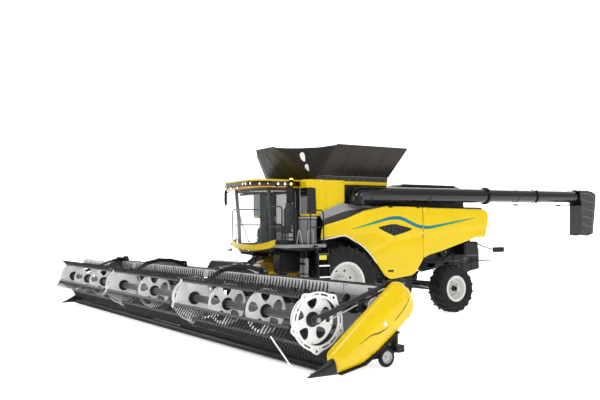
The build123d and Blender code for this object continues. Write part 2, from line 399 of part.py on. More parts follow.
# bat sections between the arms; each ends in a plain disc on its right and a star disc with a cam ring on its left
SECTIONS = [(-7.55, -2.59), (-2.36, 2.31), (2.54, 7.55)]
core = [rod((x0, REEL_Y, REEL_Z), (x1, REEL_Y, REEL_Z), 0.085) for x0, x1 in SECTIONS]
core += [rod((x0, REEL_Y, REEL_Z), (x1, REEL_Y, REEL_Z), 0.045) for x0, x1 in ((-7.75, -7.50), (-2.65, -2.3), (2.25, 2.6), (7.50, 7.75))]
bats = []
for x0, x1 in SECTIONS:
    for i in range(BATS):
        a = math.radians(72 * i + 50)
        cy, cz = REEL_Y + REEL_R * math.cos(a), REEL_Z + REEL_R * math.sin(a)
        bats.append(rod((x0, cy, cz), (x1, cy, cz), 0.032))
save("reel_tube_and_bats", join(*core), *bats)
PLAIN_DISCS = [-7.53, -2.34, 2.56]
STAR_DISCS = [-5.87, -4.20, -2.61, 0.05, 2.29, 4.25, 5.90, 7.53]
discs = [ring_x(x - 0.012, x + 0.012, REEL_Y, REEL_Z, 0.0855, 0.44) for x in PLAIN_DISCS]
for x in STAR_DISCS:
    d = ring_x(x - 0.012, x + 0.012, REEL_Y, REEL_Z, 0.0855, 0.44)
    for i in range(5):
        a = math.radians(72 * i + 18)
        for r, w in ((0.235, 0.062), (0.315, 0.100)):
            cy, cz = REEL_Y + r * math.cos(a), REEL_Z + r * math.sin(a)
            d = d.cut(rod((x - 0.1, cy, cz), (x + 0.1, cy, cz), w))
    discs.append(d)
save("reel_discs", discs)
# eccentric rings at the left end of each section, which hold the tines upright
CAM_Y, CAM_Z = REEL_Y + 0.09, REEL_Z - 0.04
CAM_X = [-2.565, 2.335, 7.585]
cams = []
for x in CAM_X:
    cam = [ring_x(x - 0.01, x + 0.01, CAM_Y, CAM_Z, 0.42, 0.53)]
    for i in range(5):
        a = math.radians(72 * i + 50)
        cy, cz = CAM_Y + 0.515 * math.cos(a), CAM_Z + 0.515 * math.sin(a)
        cam.append(rod((x - 0.01, cy, cz), (x + 0.01, cy, cz), 0.07))
    cams.append(join(*cam).cut(rod((x - 0.1, CAM_Y, CAM_Z), (x + 0.1, CAM_Y, CAM_Z), 0.42)))
save("reel_cam_rings", *cams)
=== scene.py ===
import bpy
import bmesh
import math
import numpy as np
from mathutils import Matrix, Vector, geometry, noise


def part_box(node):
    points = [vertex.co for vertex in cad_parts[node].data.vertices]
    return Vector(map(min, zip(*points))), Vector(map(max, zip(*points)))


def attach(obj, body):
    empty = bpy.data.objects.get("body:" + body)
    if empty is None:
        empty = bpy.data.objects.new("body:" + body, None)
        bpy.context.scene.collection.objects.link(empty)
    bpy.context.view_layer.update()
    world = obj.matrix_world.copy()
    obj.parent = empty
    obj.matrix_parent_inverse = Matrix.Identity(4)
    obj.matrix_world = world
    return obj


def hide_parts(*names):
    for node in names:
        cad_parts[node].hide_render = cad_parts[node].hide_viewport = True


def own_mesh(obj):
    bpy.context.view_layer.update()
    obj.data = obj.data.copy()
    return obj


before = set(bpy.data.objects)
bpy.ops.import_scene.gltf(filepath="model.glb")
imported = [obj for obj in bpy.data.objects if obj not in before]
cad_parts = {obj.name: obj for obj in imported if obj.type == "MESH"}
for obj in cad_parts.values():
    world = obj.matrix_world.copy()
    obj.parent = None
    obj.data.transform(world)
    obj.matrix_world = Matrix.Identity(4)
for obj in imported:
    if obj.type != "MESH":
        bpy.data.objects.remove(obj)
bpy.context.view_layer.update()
scene = bpy.context.scene
DETAIL = 1.0

# y of the front axle in the row frame; everything below is written from the front axle
_lo, _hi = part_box("front_left_tyre")
S = (_lo.y + _hi.y) / 2

# ------------------------------------------------------------------ mesh helpers


def arr(v):
    return np.array(v, dtype=float).reshape(-1, 3)


class Piece:
    """Collects primitives, written from the front axle, into one mesh that rides on a body."""

    def __init__(self, name, body, angle=32, recalc=True):
        self.name, self.body, self.angle, self.recalc = name, body, angle, recalc
        self.V, self.loops, self.sizes, self.mi = [], [], [], []
        self.n, self.mats = 0, []

    def slot_of(self, m):
        if m not in self.mats:
            self.mats.append(m)
        return self.mats.index(m)

    def add(self, VF, mat):
        V, F = VF
        V = arr(V)
        if isinstance(F, tuple):
            lp, sz = F
        else:
            sz = np.array([len(f) for f in F], int)
            lp = np.array([i for f in F for i in f], int)
        self.V.append(V)
        self.loops.append(lp + self.n)
        self.sizes.append(sz)
        self.mi.append(np.full(len(sz), self.slot_of(mat), int))
        self.n += len(V)
        return self

    def inst(self, VF, mats, mat):
        """Many copies of one primitive; mats is a list of 4x4 matrices."""
        V, F = VF
        V = arr(V)
        sz = np.array([len(f) for f in F], int)
        lp = np.array([i for f in F for i in f], int)
        k, nv = len(mats), len(V)
        if not k:
            return self
        M = np.array([np.array(m) for m in mats])
        out = np.einsum("kij,nj->kni", M[:, :3, :3], V) + M[:, None, :3, 3]
        self.V.append(out.reshape(-1, 3))
        self.loops.append((lp[None, :] + (np.arange(k) * nv)[:, None]).ravel() + self.n)
        self.sizes.append(np.tile(sz, k))
        self.mi.append(np.full(len(sz) * k, self.slot_of(mat), int))
        self.n += nv * k
        return self

    def done(self, replaces=(), slot=None, bevel=0.0, subsurf=0, mirror_copy=None):
        V = np.concatenate(self.V)
        V = V + np.array([0, S, 0])
        lp, sz, mi = np.concatenate(self.loops), np.concatenate(self.sizes), np.concatenate(self.mi)
        me = bpy.data.meshes.new(self.name)
        me.vertices.add(len(V))
        me.vertices.foreach_set("co", V.astype(np.float32).ravel())
        me.loops.add(len(lp))
        me.loops.foreach_set("vertex_index", lp.astype(np.int32))
        me.polygons.add(len(sz))
        me.polygons.foreach_set("loop_start", np.concatenate([[0], np.cumsum(sz)[:-1]]).astype(np.int32))
        me.polygons.foreach_set("material_index", mi.astype(np.int32))
        me.polygons.foreach_set("use_smooth", np.ones(len(sz), bool))
        me.update(calc_edges=True)
        me.validate()
        if self.recalc:
            bm = bmesh.new()
            bm.from_mesh(me)
            bmesh.ops.recalc_face_normals(bm, faces=bm.faces)
            bm.to_mesh(me)
            bm.free()
        me.set_sharp_from_angle(angle=math.radians(self.angle))
        for m in self.mats:
            me.materials.append(MAT[m])
        ob = bpy.data.objects.new(self.name, me)
        scene.collection.objects.link(ob)
        if bevel:
            b = ob.modifiers.new("edges", "BEVEL")
            b.width, b.segments, b.limit_method, b.angle_limit = bevel, 2, "ANGLE", math.radians(40)
            b.harden_normals = False
        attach(ob, self.body)
        if replaces:
            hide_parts(*([replaces] if isinstance(replaces, str) else replaces))
        return ob


def mirror(VF):
    V, F = VF
    V = arr(V).copy()
    V[:, 0] *= -1
    return V, [list(reversed(f)) for f in F]


def move(VF, d):
    V, F = VF
    return arr(V) + np.array(d, float), F


def turn(VF, axis, deg, about=(0, 0, 0)):
    V, F = VF
    R = np.array(Matrix.Rotation(math.radians(deg), 3, axis))
    return (arr(V) - np.array(about)) @ R.T + np.array(about), F


def rbox(c0, c1, r=0.006):
    """A box with chamfered edges."""
    lo, hi = np.minimum(c0, c1).astype(float), np.maximum(c0, c1).astype(float)
    r = min(r, *(0.45 * (hi - lo)))
    V, idx = [], {}
    for sx in (0, 1):
        for sy in (0, 1):
            for sz in (0, 1):
                c = np.array([(lo, hi)[sx][0], (lo, hi)[sy][1], (lo, hi)[sz][2]])
                inn = np.array([r if sx == 0 else -r, r if sy == 0 else -r, r if sz == 0 else -r])
                for a in range(3):
                    d = inn.copy()
                    d[a] = 0
                    idx[(sx, sy, sz, a)] = len(V)
                    V.append(c + d)
    F = []
    for a in range(3):
        b, c = (a + 1) % 3, (a + 2) % 3
        for s in (0, 1):
            f = []
            for u, w in ((0, 0), (1, 0), (1, 1), (0, 1)):
                k = [0, 0, 0]
                k[a], k[b], k[c] = s, u, w
                f.append(idx[(k[0], k[1], k[2], a)])
            F.append(f if s else f[::-1])
    for a in range(3):
        b, c = (a + 1) % 3, (a + 2) % 3
        for u in (0, 1):
            for w in (0, 1):
                k0, k1 = [0, 0, 0], [0, 0, 0]
                k0[a], k1[a] = 0, 1
                k0[b] = k1[b] = u
                k0[c] = k1[c] = w
                f = [idx[(*k0, b)], idx[(*k1, b)], idx[(*k1, c)], idx[(*k0, c)]]
                F.append(f if u == w else f[::-1])
    for sx in (0, 1):
        for sy in (0, 1):
            for sz in (0, 1):
                f = [idx[(sx, sy, sz, a)] for a in range(3)]
                F.append(f if (sx + sy + sz) % 2 else f[::-1])
    return V, F


def area2(p):
    p = np.array(p)
    x, y = p[:, 0], p[:, 1]
    return 0.5 * np.sum(x * np.roll(y, -1) - np.roll(x, -1) * y)


def offset_poly(p, d):
    """Moves a closed outline inwards by d."""
    p = np.array(p, float)
    if area2(p) < 0:
        d = -d
    a, b = np.roll(p, 1, 0), np.roll(p, -1, 0)
    e1, e2 = p - a, b - p
    e1 /= np.linalg.norm(e1, axis=1)[:, None] + 1e-12
    e2 /= np.linalg.norm(e2, axis=1)[:, None] + 1e-12
    n1 = np.stack([-e1[:, 1], e1[:, 0]], 1)
    n2 = np.stack([-e2[:, 1], e2[:, 0]], 1)
    m = n1 + n2
    m /= np.linalg.norm(m, axis=1)[:, None] + 1e-12
    c = np.maximum(0.35, np.sum(m * n1, 1))
    return p + m * (d / c)[:, None]


def fillet2(p, r, seg=4, closed=True):
    """Rounds the corners of a 2D (or 3D) outline; r is one radius or a list."""
    p = [np.array(q, float) for q in p]
    n = len(p)
    rr = r if isinstance(r, (list, tuple)) else [r] * n
    out = []
    for i in range(n):
        if not closed and i in (0, n - 1):
            out.append(p[i])
            continue
        a, b, c = p[i - 1], p[i], p[(i + 1) % n]
        u, v = a - b, c - b
        lu, lv = np.linalg.norm(u), np.linalg.norm(v)
        u, v = u / lu, v / lv
        cosang = float(np.clip(u @ v, -1, 1))
        ang = math.acos(cosang)
        if rr[i] <= 0 or ang > math.radians(176):
            out.append(b)
            continue
        t = min(rr[i] / math.tan(ang / 2), 0.48 * lu, 0.48 * lv)
        s, e = b + u * t, b + v * t
        for k in range(seg + 1):
            q = k / seg
            out.append((1 - q) ** 2 * s + 2 * q * (1 - q) * (b * 0.82 + (s + e) * 0.09) + q * q * e)
    return out


AX = {"X": (0, 1, 2), "Y": (1, 0, 2), "Z": (2, 0, 1)}


def prism(pts, axis, a, b, r=0.006, fil=0, seg=4):
    """Outline pushed along an axis with chamfered ends. pts are (y, z), (x, z) or (x, y)."""
    if fil:
        pts = fillet2(pts, fil, seg)
    pts = np.array(pts, float)
    lo, hi = min(a, b), max(a, b)
    r = min(r, 0.45 * (hi - lo))
    inn = offset_poly(pts, r) if r > 0 else pts
    rings = [(lo, inn), (lo + r, pts), (hi - r, pts), (hi, inn)] if r > 0 else [(lo, pts), (hi, pts)]
    k0, k1, k2 = AX[axis]
    V, F, n = [], [], len(pts)
    for h, q in rings:
        for u, v in q:
            w = [0, 0, 0]
            w[k0], w[k1], w[k2] = h, u, v
            V.append(w)
    for j in range(len(rings) - 1):
        for i in range(n):
            k = (i + 1) % n
            F.append([j * n + i, j * n + k, (j + 1) * n + k, (j + 1) * n + i])
    F.append(list(range(n))[::-1])
    F.append([(len(rings) - 1) * n + i for i in range(n)])
    return V, F


def frames(path, closed=False):
    p = arr(path)
    n = len(p)
    t = np.zeros_like(p)
    for i in range(n):
        a = p[(i - 1) % n] if closed or i > 0 else p[i]
        b = p[(i + 1) % n] if closed or i < n - 1 else p[i]
        t[i] = (b - a) / (np.linalg.norm(b - a) + 1e-12)
    up = np.array([0, 0, 1.0]) if abs(t[0][2]) < 0.9 else np.array([1.0, 0, 0])
    u = np.cross(up, t[0])
    u /= np.linalg.norm(u)
    U = [u]
    for i in range(1, n):
        u = U[-1] - t[i] * (U[-1] @ t[i])
        u /= np.linalg.norm(u) + 1e-12
        U.append(u)
    U = np.array(U)
    return p, t, U, np.cross(t, U)


def tube(path, r, seg=10, closed=False, cap=True, fil=0, section=None):
    """A round tube along a path; r is one radius or one per point; section overrides the circle."""
    if fil:
        path = fillet2(path, fil, 4, closed)
    p, t, U, W = frames(path, closed)
    n = len(p)
    rr = np.full(n, r, float) if np.isscalar(r) else np.array(r, float)
    if len(rr) != n:
        rr = np.interp(np.linspace(0, 1, n), np.linspace(0, 1, len(rr)), rr)
    ang = np.arange(seg) * 2 * math.pi / seg
    sec = np.stack([np.cos(ang), np.sin(ang)], 1) if section is None else np.array(section, float)
    seg = len(sec)
    V = (p[:, None, :] + rr[:, None, None] * (sec[None, :, 0, None] * U[:, None, :] + sec[None, :, 1, None] * W[:, None, :])).reshape(-1, 3)
    F = []
    for i in range(n if closed else n - 1):
        j = (i + 1) % n
        for k in range(seg):
            m = (k + 1) % seg
            F.append([i * seg + k, i * seg + m, j * seg + m, j * seg + k])
    if cap and not closed:
        F.append(list(range(seg))[::-1])
        F.append([(n - 1) * seg + k for k in range(seg)])
    return V, F


def rod(a, b, r, seg=16, ch=0.0):
    """A round bar, chamfered at its ends."""
    a, b = np.array(a, float), np.array(b, float)
    d = (b - a) / np.linalg.norm(b - a)
    if ch:
        return tube([a, a + d * ch, b - d * ch, b], [r - ch, r, r, r - ch], seg)
    return tube([a, b], r, seg)


def lathe(profile, origin, axis, seg=48, closed=False, arc=None):
    """Turns (along, radius) points about an axis through origin."""
    o, ax = np.array(origin, float), np.array(axis, float)
    ax /= np.linalg.norm(ax)
    up = np.array([0, 0, 1.0]) if abs(ax[2]) < 0.9 else np.array([1.0, 0, 0])
    u = up - ax * (up @ ax)
    u /= np.linalg.norm(u)
    w = np.cross(ax, u)
    full = arc is None
    a0, a1 = (0, 2 * math.pi) if full else (math.radians(arc[0]), math.radians(arc[1]))
    m = seg if full else seg + 1
    ang = a0 + (a1 - a0) * np.arange(m) / seg
    P = np.array(profile, float)
    n = len(P)
    dirs = np.cos(ang)[:, None] * u + np.sin(ang)[:, None] * w
    V = (o + P[None, :, 0, None] * ax + P[None, :, 1, None] * dirs[:, None, :]).reshape(-1, 3)
    F = []
    for i in range(seg):
        j = (i + 1) % m
        for k in range(n if closed else n - 1):
            q = (k + 1) % n
            F.append([i * n + k, i * n + q, j * n + q, j * n + k])
    return V, F


def loft(rows, close_u=False, cap=False):
    """Quads through rows of points of equal length."""
    R, C = len(rows), len(rows[0])
    V = np.concatenate([arr(r) for r in rows])
    F = []
    for i in range(R - 1):
        for k in range(C if close_u else C - 1):
            m = (k + 1) % C
            F.append([i * C + k, i * C + m, (i + 1) * C + m, (i + 1) * C + k])
    if cap:
        F.append(list(range(C))[::-1])
        F.append([(R - 1) * C + k for k in range(C)])
    return V, F


def ball(c, r, seg=12, squash=(1, 1, 1)):
    rows = []
    for i in range(1, seg // 2):
        a = math.pi * i / (seg // 2)
        rows.append([(c[0] + squash[0] * r * math.sin(a) * math.cos(2 * math.pi * k / seg), c[1] + squash[1] * r * math.sin(a) * math.sin(2 * math.pi * k / seg), c[2] + squash[2] * r * math.cos(a)) for k in range(seg)])
    return loft(rows, True, True)


def shell(VF, t, direction):
    """Closes an open sheet into a thin solid, pushed by t along a direction."""
    V, F = VF
    V = arr(V)
    n = len(V)
    V2 = V + np.array(direction, float) * t
    edges = {}
    for f in F:
        for i in range(len(f)):
            e = (f[i], f[(i + 1) % len(f)])
            edges[e] = True
    side = [[a, b, b + n, a + n] for a, b in edges if (b, a) not in edges]
    return np.concatenate([V, V2]), [list(f) for f in F] + [[i + n for i in reversed(f)] for f in F] + side


def strip(line, width_dir, w, t_dir, t):
    """A flat bar along a line: width w along one direction and thickness t along another."""
    L = arr(line)
    a, b = np.array(width_dir, float) * w, np.array(t_dir, float) * t
    rows = [L, L + a, L + a + b, L + b]
    V = np.concatenate(rows)
    n = len(L)
    F = []
    for i in range(n - 1):
        for k in range(4):
            m = (k + 1) % 4
            F.append([k * n + i, m * n + i, m * n + i + 1, k * n + i + 1])
    F += [[0, n, 2 * n, 3 * n], [n - 1, 4 * n - 1, 3 * n - 1, 2 * n - 1]]
    return V, F


def inside(p, poly):
    p, q = np.array(p, float), np.array(poly, float)
    r = np.roll(q, -1, 0)
    x, y = p[:, 0][:, None], p[:, 1][:, None]
    c = ((q[None, :, 1] > y) != (r[None, :, 1] > y)) & (x < (r[None, :, 0] - q[None, :, 0]) * (y - q[None, :, 1]) / (r[None, :, 1] - q[None, :, 1] + 1e-15) + q[None, :, 0])
    return np.sum(c, 1) % 2 == 1


def dist(p, poly, closed=True):
    p, a = np.array(p, float), np.array(poly, float)
    b = np.roll(a, -1, 0)
    if not closed:
        a, b = a[:-1], b[:-1]
    d = b - a
    t = np.clip(((p[:, None] - a[None]) * d[None]).sum(2) / ((d * d).sum(1) + 1e-15), 0, 1)
    return np.sqrt((((p[:, None] - a[None]) - t[:, :, None] * d[None]) ** 2).sum(2)).min(1)


def resample(poly, step, closed=True):
    out, n = [], len(poly)
    for i in range(n if closed else n - 1):
        a, b = np.array(poly[i], float), np.array(poly[(i + 1) % n], float)
        k = max(1, int(math.ceil(np.linalg.norm(b - a) / step)))
        out += [a + (b - a) * j / k for j in range(k)]
    if not closed:
        out.append(np.array(poly[-1], float))
    return out


def smoothstep(a, b, x):
    t = np.clip((x - a) / (b - a), 0, 1)
    return t * t * (3 - 2 * t)


def panel(outline, spacing, xf, rim=0.02, thick=0.03, regions=(), lines=(), step=0.05, inward=-1):
    """A curved body panel. outline and regions are (u, v) loops; xf gives the face height at (u, v), and the edge rolls over by rim.
    Returns front parts as {label: (points, faces)} and the closing back and skirt, all as (u, v, h)."""
    out = resample(outline, step)
    pts = [tuple(q) for q in out]
    n_out = len(pts)
    edges = [(i, (i + 1) % n_out) for i in range(n_out)]
    for reg in regions:
        q = resample(reg, step)
        k = len(pts)
        pts += [tuple(v) for v in q]
        edges += [(k + i, k + (i + 1) % len(q)) for i in range(len(q))]
    for ln in lines:
        q = resample(ln, step, False)
        k = len(pts)
        pts += [tuple(v) for v in q]
        edges += [(k + i, k + i + 1) for i in range(len(q) - 1)]
    extra = []
    for d in (0.12 * rim, 0.4 * rim, rim):
        q = offset_poly(out, d)
        ok = (dist(q, out) > 0.93 * d) & inside(q, out)
        extra += [tuple(v) for v in np.array(q)[ok]]
    o = np.array(out)
    lo, hi = o.min(0), o.max(0)
    g = []
    j = 0
    y = lo[1]
    while y < hi[1]:
        x = lo[0] + (spacing / 2 if j % 2 else 0)
        while x < hi[0]:
            g.append((x, y))
            x += spacing
        y += spacing * 0.866
        j += 1
    g = np.array(g)
    g = g[inside(g, out)]
    g = g[dist(g, out) > rim + 0.3 * spacing]
    fixed = np.array(pts[n_out:]) if len(pts) > n_out else None
    if fixed is not None and len(g):
        d2 = np.array([np.min(np.sum((fixed - q) ** 2, 1)) for q in g])
        g = g[d2 > (0.35 * spacing) ** 2]
    pts += extra + [tuple(v) for v in g]
    r = geometry.delaunay_2d_cdt([Vector(q) for q in pts], edges, [], 0, 1e-6)
    P2, T = np.array([list(v) for v in r[0]]), [list(f) for f in r[2]]
    cen = np.array([P2[f].mean(0) for f in T])
    keep = inside(cen, out)
    T = [f for f, k in zip(T, keep) if k]
    cen = cen[keep]
    d = dist(P2, out)
    dd = np.clip(d, 0, rim)
    drop = rim - np.sqrt(np.maximum(0, rim ** 2 - (rim - dd) ** 2))
    h = xf(P2[:, 0], P2[:, 1]) + inward * drop
    front = np.stack([P2[:, 0], P2[:, 1], h], 1)
    label = np.zeros(len(T), int)
    for i, reg in enumerate(regions):
        label[inside(cen, resample(reg, step))] = i + 1
    hb = xf(P2[:, 0], P2[:, 1]) + inward * thick
    back = np.stack([P2[:, 0], P2[:, 1], hb], 1)
    n = len(P2)
    es = {}
    for f in T:
        for i in range(3):
            es[(f[i], f[(i + 1) % 3])] = 1
    skirt = [[a, b, b + n, a + n] for a, b in es if (b, a) not in es]
    return front, back, T, label, skirt


def put_panel(pc, res, to3d, mats, back_mat):
    """Adds a panel's parts to a piece; to3d turns (u, v, h) rows into x, y, z."""
    front, back, T, label, skirt = res
    n = len(front)
    V = to3d(np.concatenate([front, back]))
    F = [[*f] for f in T] + [[i + n for i in reversed(f)] for f in T] + skirt
    sz = np.array([len(f) for f in F])
    lp = np.array([i for f in F for i in f])
    pc.V.append(V)
    pc.loops.append(lp + pc.n)
    pc.sizes.append(sz)
    pc.mi.append(np.concatenate([[pc.slot_of(mats[l]) for l in label], np.full(len(T), pc.slot_of(back_mat)), np.full(len(skirt), pc.slot_of(mats[0]))]).astype(int))
    pc.n += len(V)


def side_x(s):
    """(y, z, x) rows to points on the left (s = 1) or right (s = -1) side."""
    return lambda R: np.stack([s * R[:, 2], R[:, 0], R[:, 1]], 1)


def bolt(c, axis, r=0.012, h=0.012):
    """A hexagon head with its washer."""
    d = np.array(axis, float)
    d /= np.linalg.norm(d)
    c = np.array(c, float)
    a, fa = tube([c, c + d * h * 0.25], r * 1.35, 12)
    b, fb = tube([c + d * h * 0.25, c + d * h * 0.9, c + d * h], [r, r, r * 0.8], 6)
    return np.concatenate([a, b]), [list(f) for f in fa] + [[i + len(a) for i in f] for f in fb]


def between(points, step):
    p = resample(points, step, False)
    return p

# ------------------------------------------------------------------ materials
MAT = {}


def srgb(r, g, b):
    def f(c):
        c /= 255
        return c / 12.92 if c < 0.04045 else ((c + 0.055) / 1.055) ** 2.4
    return f(r), f(g), f(b)


def material(name, col, var=0.12, scale=2.5, rough=(0.3, 0.42), rscale=9.0, metal=0.0, bump=0.15, bscale=120.0, bdist=0.0006,
             kind="noise", coat=0.0, coat_rough=0.04, dust=0.0, dust_col=(0.35, 0.31, 0.25), spec=0.3, grime=0.0, sheen=0.0,
             trans=0.0, ior=1.45, alpha=1.0, emit=None, emit_strength=0.0, stretch=(1, 1, 1), coat_bump=0.0):
    m = bpy.data.materials.new(name)
    m.use_nodes = True
    nt = m.node_tree
    nt.nodes.clear()
    N, L = nt.nodes.new, nt.links.new
    out = N("ShaderNodeOutputMaterial")
    p = N("ShaderNodeBsdfPrincipled")
    L(p.outputs[0], out.inputs[0])
    tc = N("ShaderNodeTexCoord")
    mp = N("ShaderNodeMapping")
    mp.inputs["Scale"].default_value = stretch
    L(tc.outputs["Object"], mp.inputs["Vector"])
    n1 = N("ShaderNodeTexNoise")
    n1.inputs["Scale"].default_value, n1.inputs["Detail"].default_value, n1.inputs["Roughness"].default_value = scale, 5, 0.6
    L(tc.outputs["Object"], n1.inputs["Vector"])
    r1 = N("ShaderNodeValToRGB")
    c = np.array(col)
    e = r1.color_ramp.elements
    e[0].position, e[1].position = 0.28, 0.72
    e[0].color = (*np.clip(c * (1 - var), 0, 1), 1)
    e[1].color = (*np.clip(c * (1 + var * 0.7), 0, 1), 1)
    k = r1.color_ramp.elements.new(0.5)
    k.color = (*c, 1)
    L(n1.outputs["Fac"], r1.inputs["Fac"])
    colour = r1.outputs["Color"]
    n2 = N("ShaderNodeTexNoise")
    n2.inputs["Scale"].default_value, n2.inputs["Detail"].default_value = rscale, 6
    L(tc.outputs["Object"], n2.inputs["Vector"])
    if grime:
        g = N("ShaderNodeMapRange")
        g.inputs["From Min"].default_value, g.inputs["From Max"].default_value = 0.55, 0.78
        g.inputs["To Max"].default_value = grime
        L(n2.outputs["Fac"], g.inputs["Value"])
        mx = N("ShaderNodeMix")
        mx.data_type = "RGBA"
        mx.inputs[7].default_value = (*(c * 0.35), 1)
        L(g.outputs["Result"], mx.inputs[0])
        L(colour, mx.inputs[6])
        colour = mx.outputs[2]
    if dust:
        ge = N("ShaderNodeNewGeometry")
        sx = N("ShaderNodeSeparateXYZ")
        L(ge.outputs["Normal"], sx.inputs[0])
        up = N("ShaderNodeMapRange")
        up.inputs["From Min"].default_value, up.inputs["From Max"].default_value = 0.2, 1.0
        up.inputs["To Max"].default_value = dust
        L(sx.outputs["Z"], up.inputs["Value"])
        mu = N("ShaderNodeMath")
        mu.operation = "MULTIPLY"
        L(up.outputs["Result"], mu.inputs[0])
        L(n2.outputs["Fac"], mu.inputs[1])
        mx = N("ShaderNodeMix")
        mx.data_type = "RGBA"
        mx.inputs[7].default_value = (*dust_col, 1)
        L(mu.outputs[0], mx.inputs[0])
        L(colour, mx.inputs[6])
        colour = mx.outputs[2]
    L(colour, p.inputs["Base Color"])
    mr = N("ShaderNodeMapRange")
    mr.inputs["From Min"].default_value, mr.inputs["From Max"].default_value = 0.3, 0.7
    mr.inputs["To Min"].default_value, mr.inputs["To Max"].default_value = rough
    L(n2.outputs["Fac"], mr.inputs["Value"])
    L(mr.outputs["Result"], p.inputs["Roughness"])
    p.inputs["Metallic"].default_value = metal
    p.inputs["IOR"].default_value = ior
    p.inputs["Coat Weight"].default_value = coat
    p.inputs["Coat Roughness"].default_value = coat_rough
    p.inputs["Sheen Weight"].default_value = sheen
    p.inputs["Transmission Weight"].default_value = trans
    p.inputs["Alpha"].default_value = alpha
    p.inputs["Specular IOR Level"].default_value = spec
    if emit:
        p.inputs["Emission Color"].default_value = (*emit, 1)
        p.inputs["Emission Strength"].default_value = emit_strength
    if bump:
        if kind == "noise":
            t = N("ShaderNodeTexNoise")
            t.inputs["Scale"].default_value, t.inputs["Detail"].default_value = bscale, 4
            h = t.outputs["Fac"]
            L(mp.outputs[0], t.inputs["Vector"])
        elif kind == "cell":
            t = N("ShaderNodeTexVoronoi")
            t.inputs["Scale"].default_value = bscale
            h = t.outputs["Distance"]
            L(mp.outputs[0], t.inputs["Vector"])
        elif kind == "weave":
            hs = []
            for ax in ("X", "Y", "Z"):
                t = N("ShaderNodeTexWave")
                t.wave_type, t.bands_direction = "BANDS", ax
                t.inputs["Scale"].default_value = bscale
                t.inputs["Distortion"].default_value = 0.4
                L(mp.outputs[0], t.inputs["Vector"])
                hs.append(t.outputs["Fac"])
            a = N("ShaderNodeMath")
            a.operation = "MAXIMUM"
            L(hs[0], a.inputs[0])
            L(hs[1], a.inputs[1])
            b = N("ShaderNodeMath")
            b.operation = "MAXIMUM"
            L(a.outputs[0], b.inputs[0])
            L(hs[2], b.inputs[1])
            h = b.outputs[0]
        else:
            t = N("ShaderNodeTexWave")
            t.wave_type, t.bands_direction = "BANDS", kind
            t.inputs["Scale"].default_value = bscale
            t.inputs["Distortion"].default_value = 1.5
            L(mp.outputs[0], t.inputs["Vector"])
            h = t.outputs["Fac"]
        b = N("ShaderNodeBump")
        b.inputs["Strength"].default_value, b.inputs["Distance"].default_value = bump, bdist
        L(h, b.inputs["Height"])
        L(b.outputs[0], p.inputs["Normal"])
        if coat_bump:
            b2 = N("ShaderNodeBump")
            b2.inputs["Strength"].default_value, b2.inputs["Distance"].default_value = coat_bump, bdist
            L(h, b2.inputs["Height"])
            L(b2.outputs[0], p.inputs["Coat Normal"])
    MAT[name] = m
    return m


material("yellow", srgb(219, 188, 0), 0.05, 1.6, (0.24, 0.32), 7, bump=0.10, bscale=70, bdist=0.0008, coat=0.35, coat_rough=0.05, spec=0.2)
material("yellow_deep", srgb(214, 158, 2), 0.08, 2.5, (0.28, 0.38), 7, bump=0.12, bscale=70, bdist=0.0008, coat=0.3, coat_rough=0.07)
material("stripe_blue", srgb(22, 92, 158), 0.08, 3, (0.24, 0.32), 9, bump=0.08, bscale=90, coat=0.6, coat_rough=0.05)
material("stripe_teal", srgb(38, 178, 158), 0.08, 3, (0.24, 0.32), 9, bump=0.08, bscale=90, coat=0.6, coat_rough=0.05)
material("white", srgb(206, 205, 201), 0.05, 5, (0.30, 0.42), 12, bump=0.15, bscale=110, coat=0.3, coat_rough=0.1, grime=0.10)
material("white_disc", srgb(232, 232, 231), 0.03, 5, (0.32, 0.44), 12, bump=0.12, bscale=120, coat=0.25, coat_rough=0.1)
material("black_gloss", srgb(13, 13, 15), 0.25, 3, (0.18, 0.28), 8, bump=0.08, bscale=60, coat=0.5, coat_rough=0.04)
material("black", srgb(22, 22, 24), 0.25, 5, (0.34, 0.48), 14, bump=0.25, bscale=140, coat=0.2, coat_rough=0.12, dust=0.05)
material("black_matt", srgb(20, 20, 22), 0.3, 7, (0.55, 0.72), 14, bump=0.35, bscale=200, dust=0.14)
material("grey_dark", srgb(44, 44, 46), 0.18, 5, (0.36, 0.48), 12, bump=0.2, bscale=160, coat=0.2, coat_rough=0.1)
material("cover", srgb(36, 31, 28), 0.14, 2, (0.36, 0.46), 8, bump=0.4, bscale=260, bdist=0.0008, kind="cell", coat=0.1, coat_rough=0.2)
material("grey", srgb(132, 133, 134), 0.12, 4, (0.34, 0.46), 12, bump=0.2, bscale=160, coat=0.2, coat_rough=0.1)
material("grey_light", srgb(184, 185, 187), 0.08, 3, (0.34, 0.48), 12, bump=0.2, bscale=160, metal=0.25, coat=0.15, coat_rough=0.15, grime=0.12)
material("shoulder_grey", srgb(146, 146, 148), 0.10, 3, (0.34, 0.46), 10, bump=0.25, bscale=260, kind="cell")
material("shoulder_dark", srgb(58, 58, 56), 0.12, 4, (0.42, 0.55), 12, bump=0.3, bscale=260, kind="cell")
material("spout_grey", srgb(60, 61, 64), 0.12, 4, (0.38, 0.5), 10, bump=0.3, bscale=200, kind="cell")
material("silver", srgb(200, 201, 203), 0.08, 8, (0.18, 0.30), 20, metal=0.9, bump=0.15, bscale=200)
material("chrome", srgb(222, 223, 225), 0.04, 8, (0.05, 0.12), 20, metal=1.0, bump=0.05, bscale=300)
material("steel", srgb(150, 150, 152), 0.12, 10, (0.28, 0.42), 24, metal=0.85, bump=0.3, bscale=40, kind="X", stretch=(6, 1, 1))
material("rubber", srgb(17, 17, 18), 0.22, 4, (0.56, 0.72), 12, bump=0.45, bscale=140, bdist=0.0012, dust=0.10, grime=0.3)
material("rubber_lug", srgb(24, 23, 22), 0.22, 6, (0.5, 0.66), 12, bump=0.4, bscale=110, bdist=0.0012, dust=0.12)
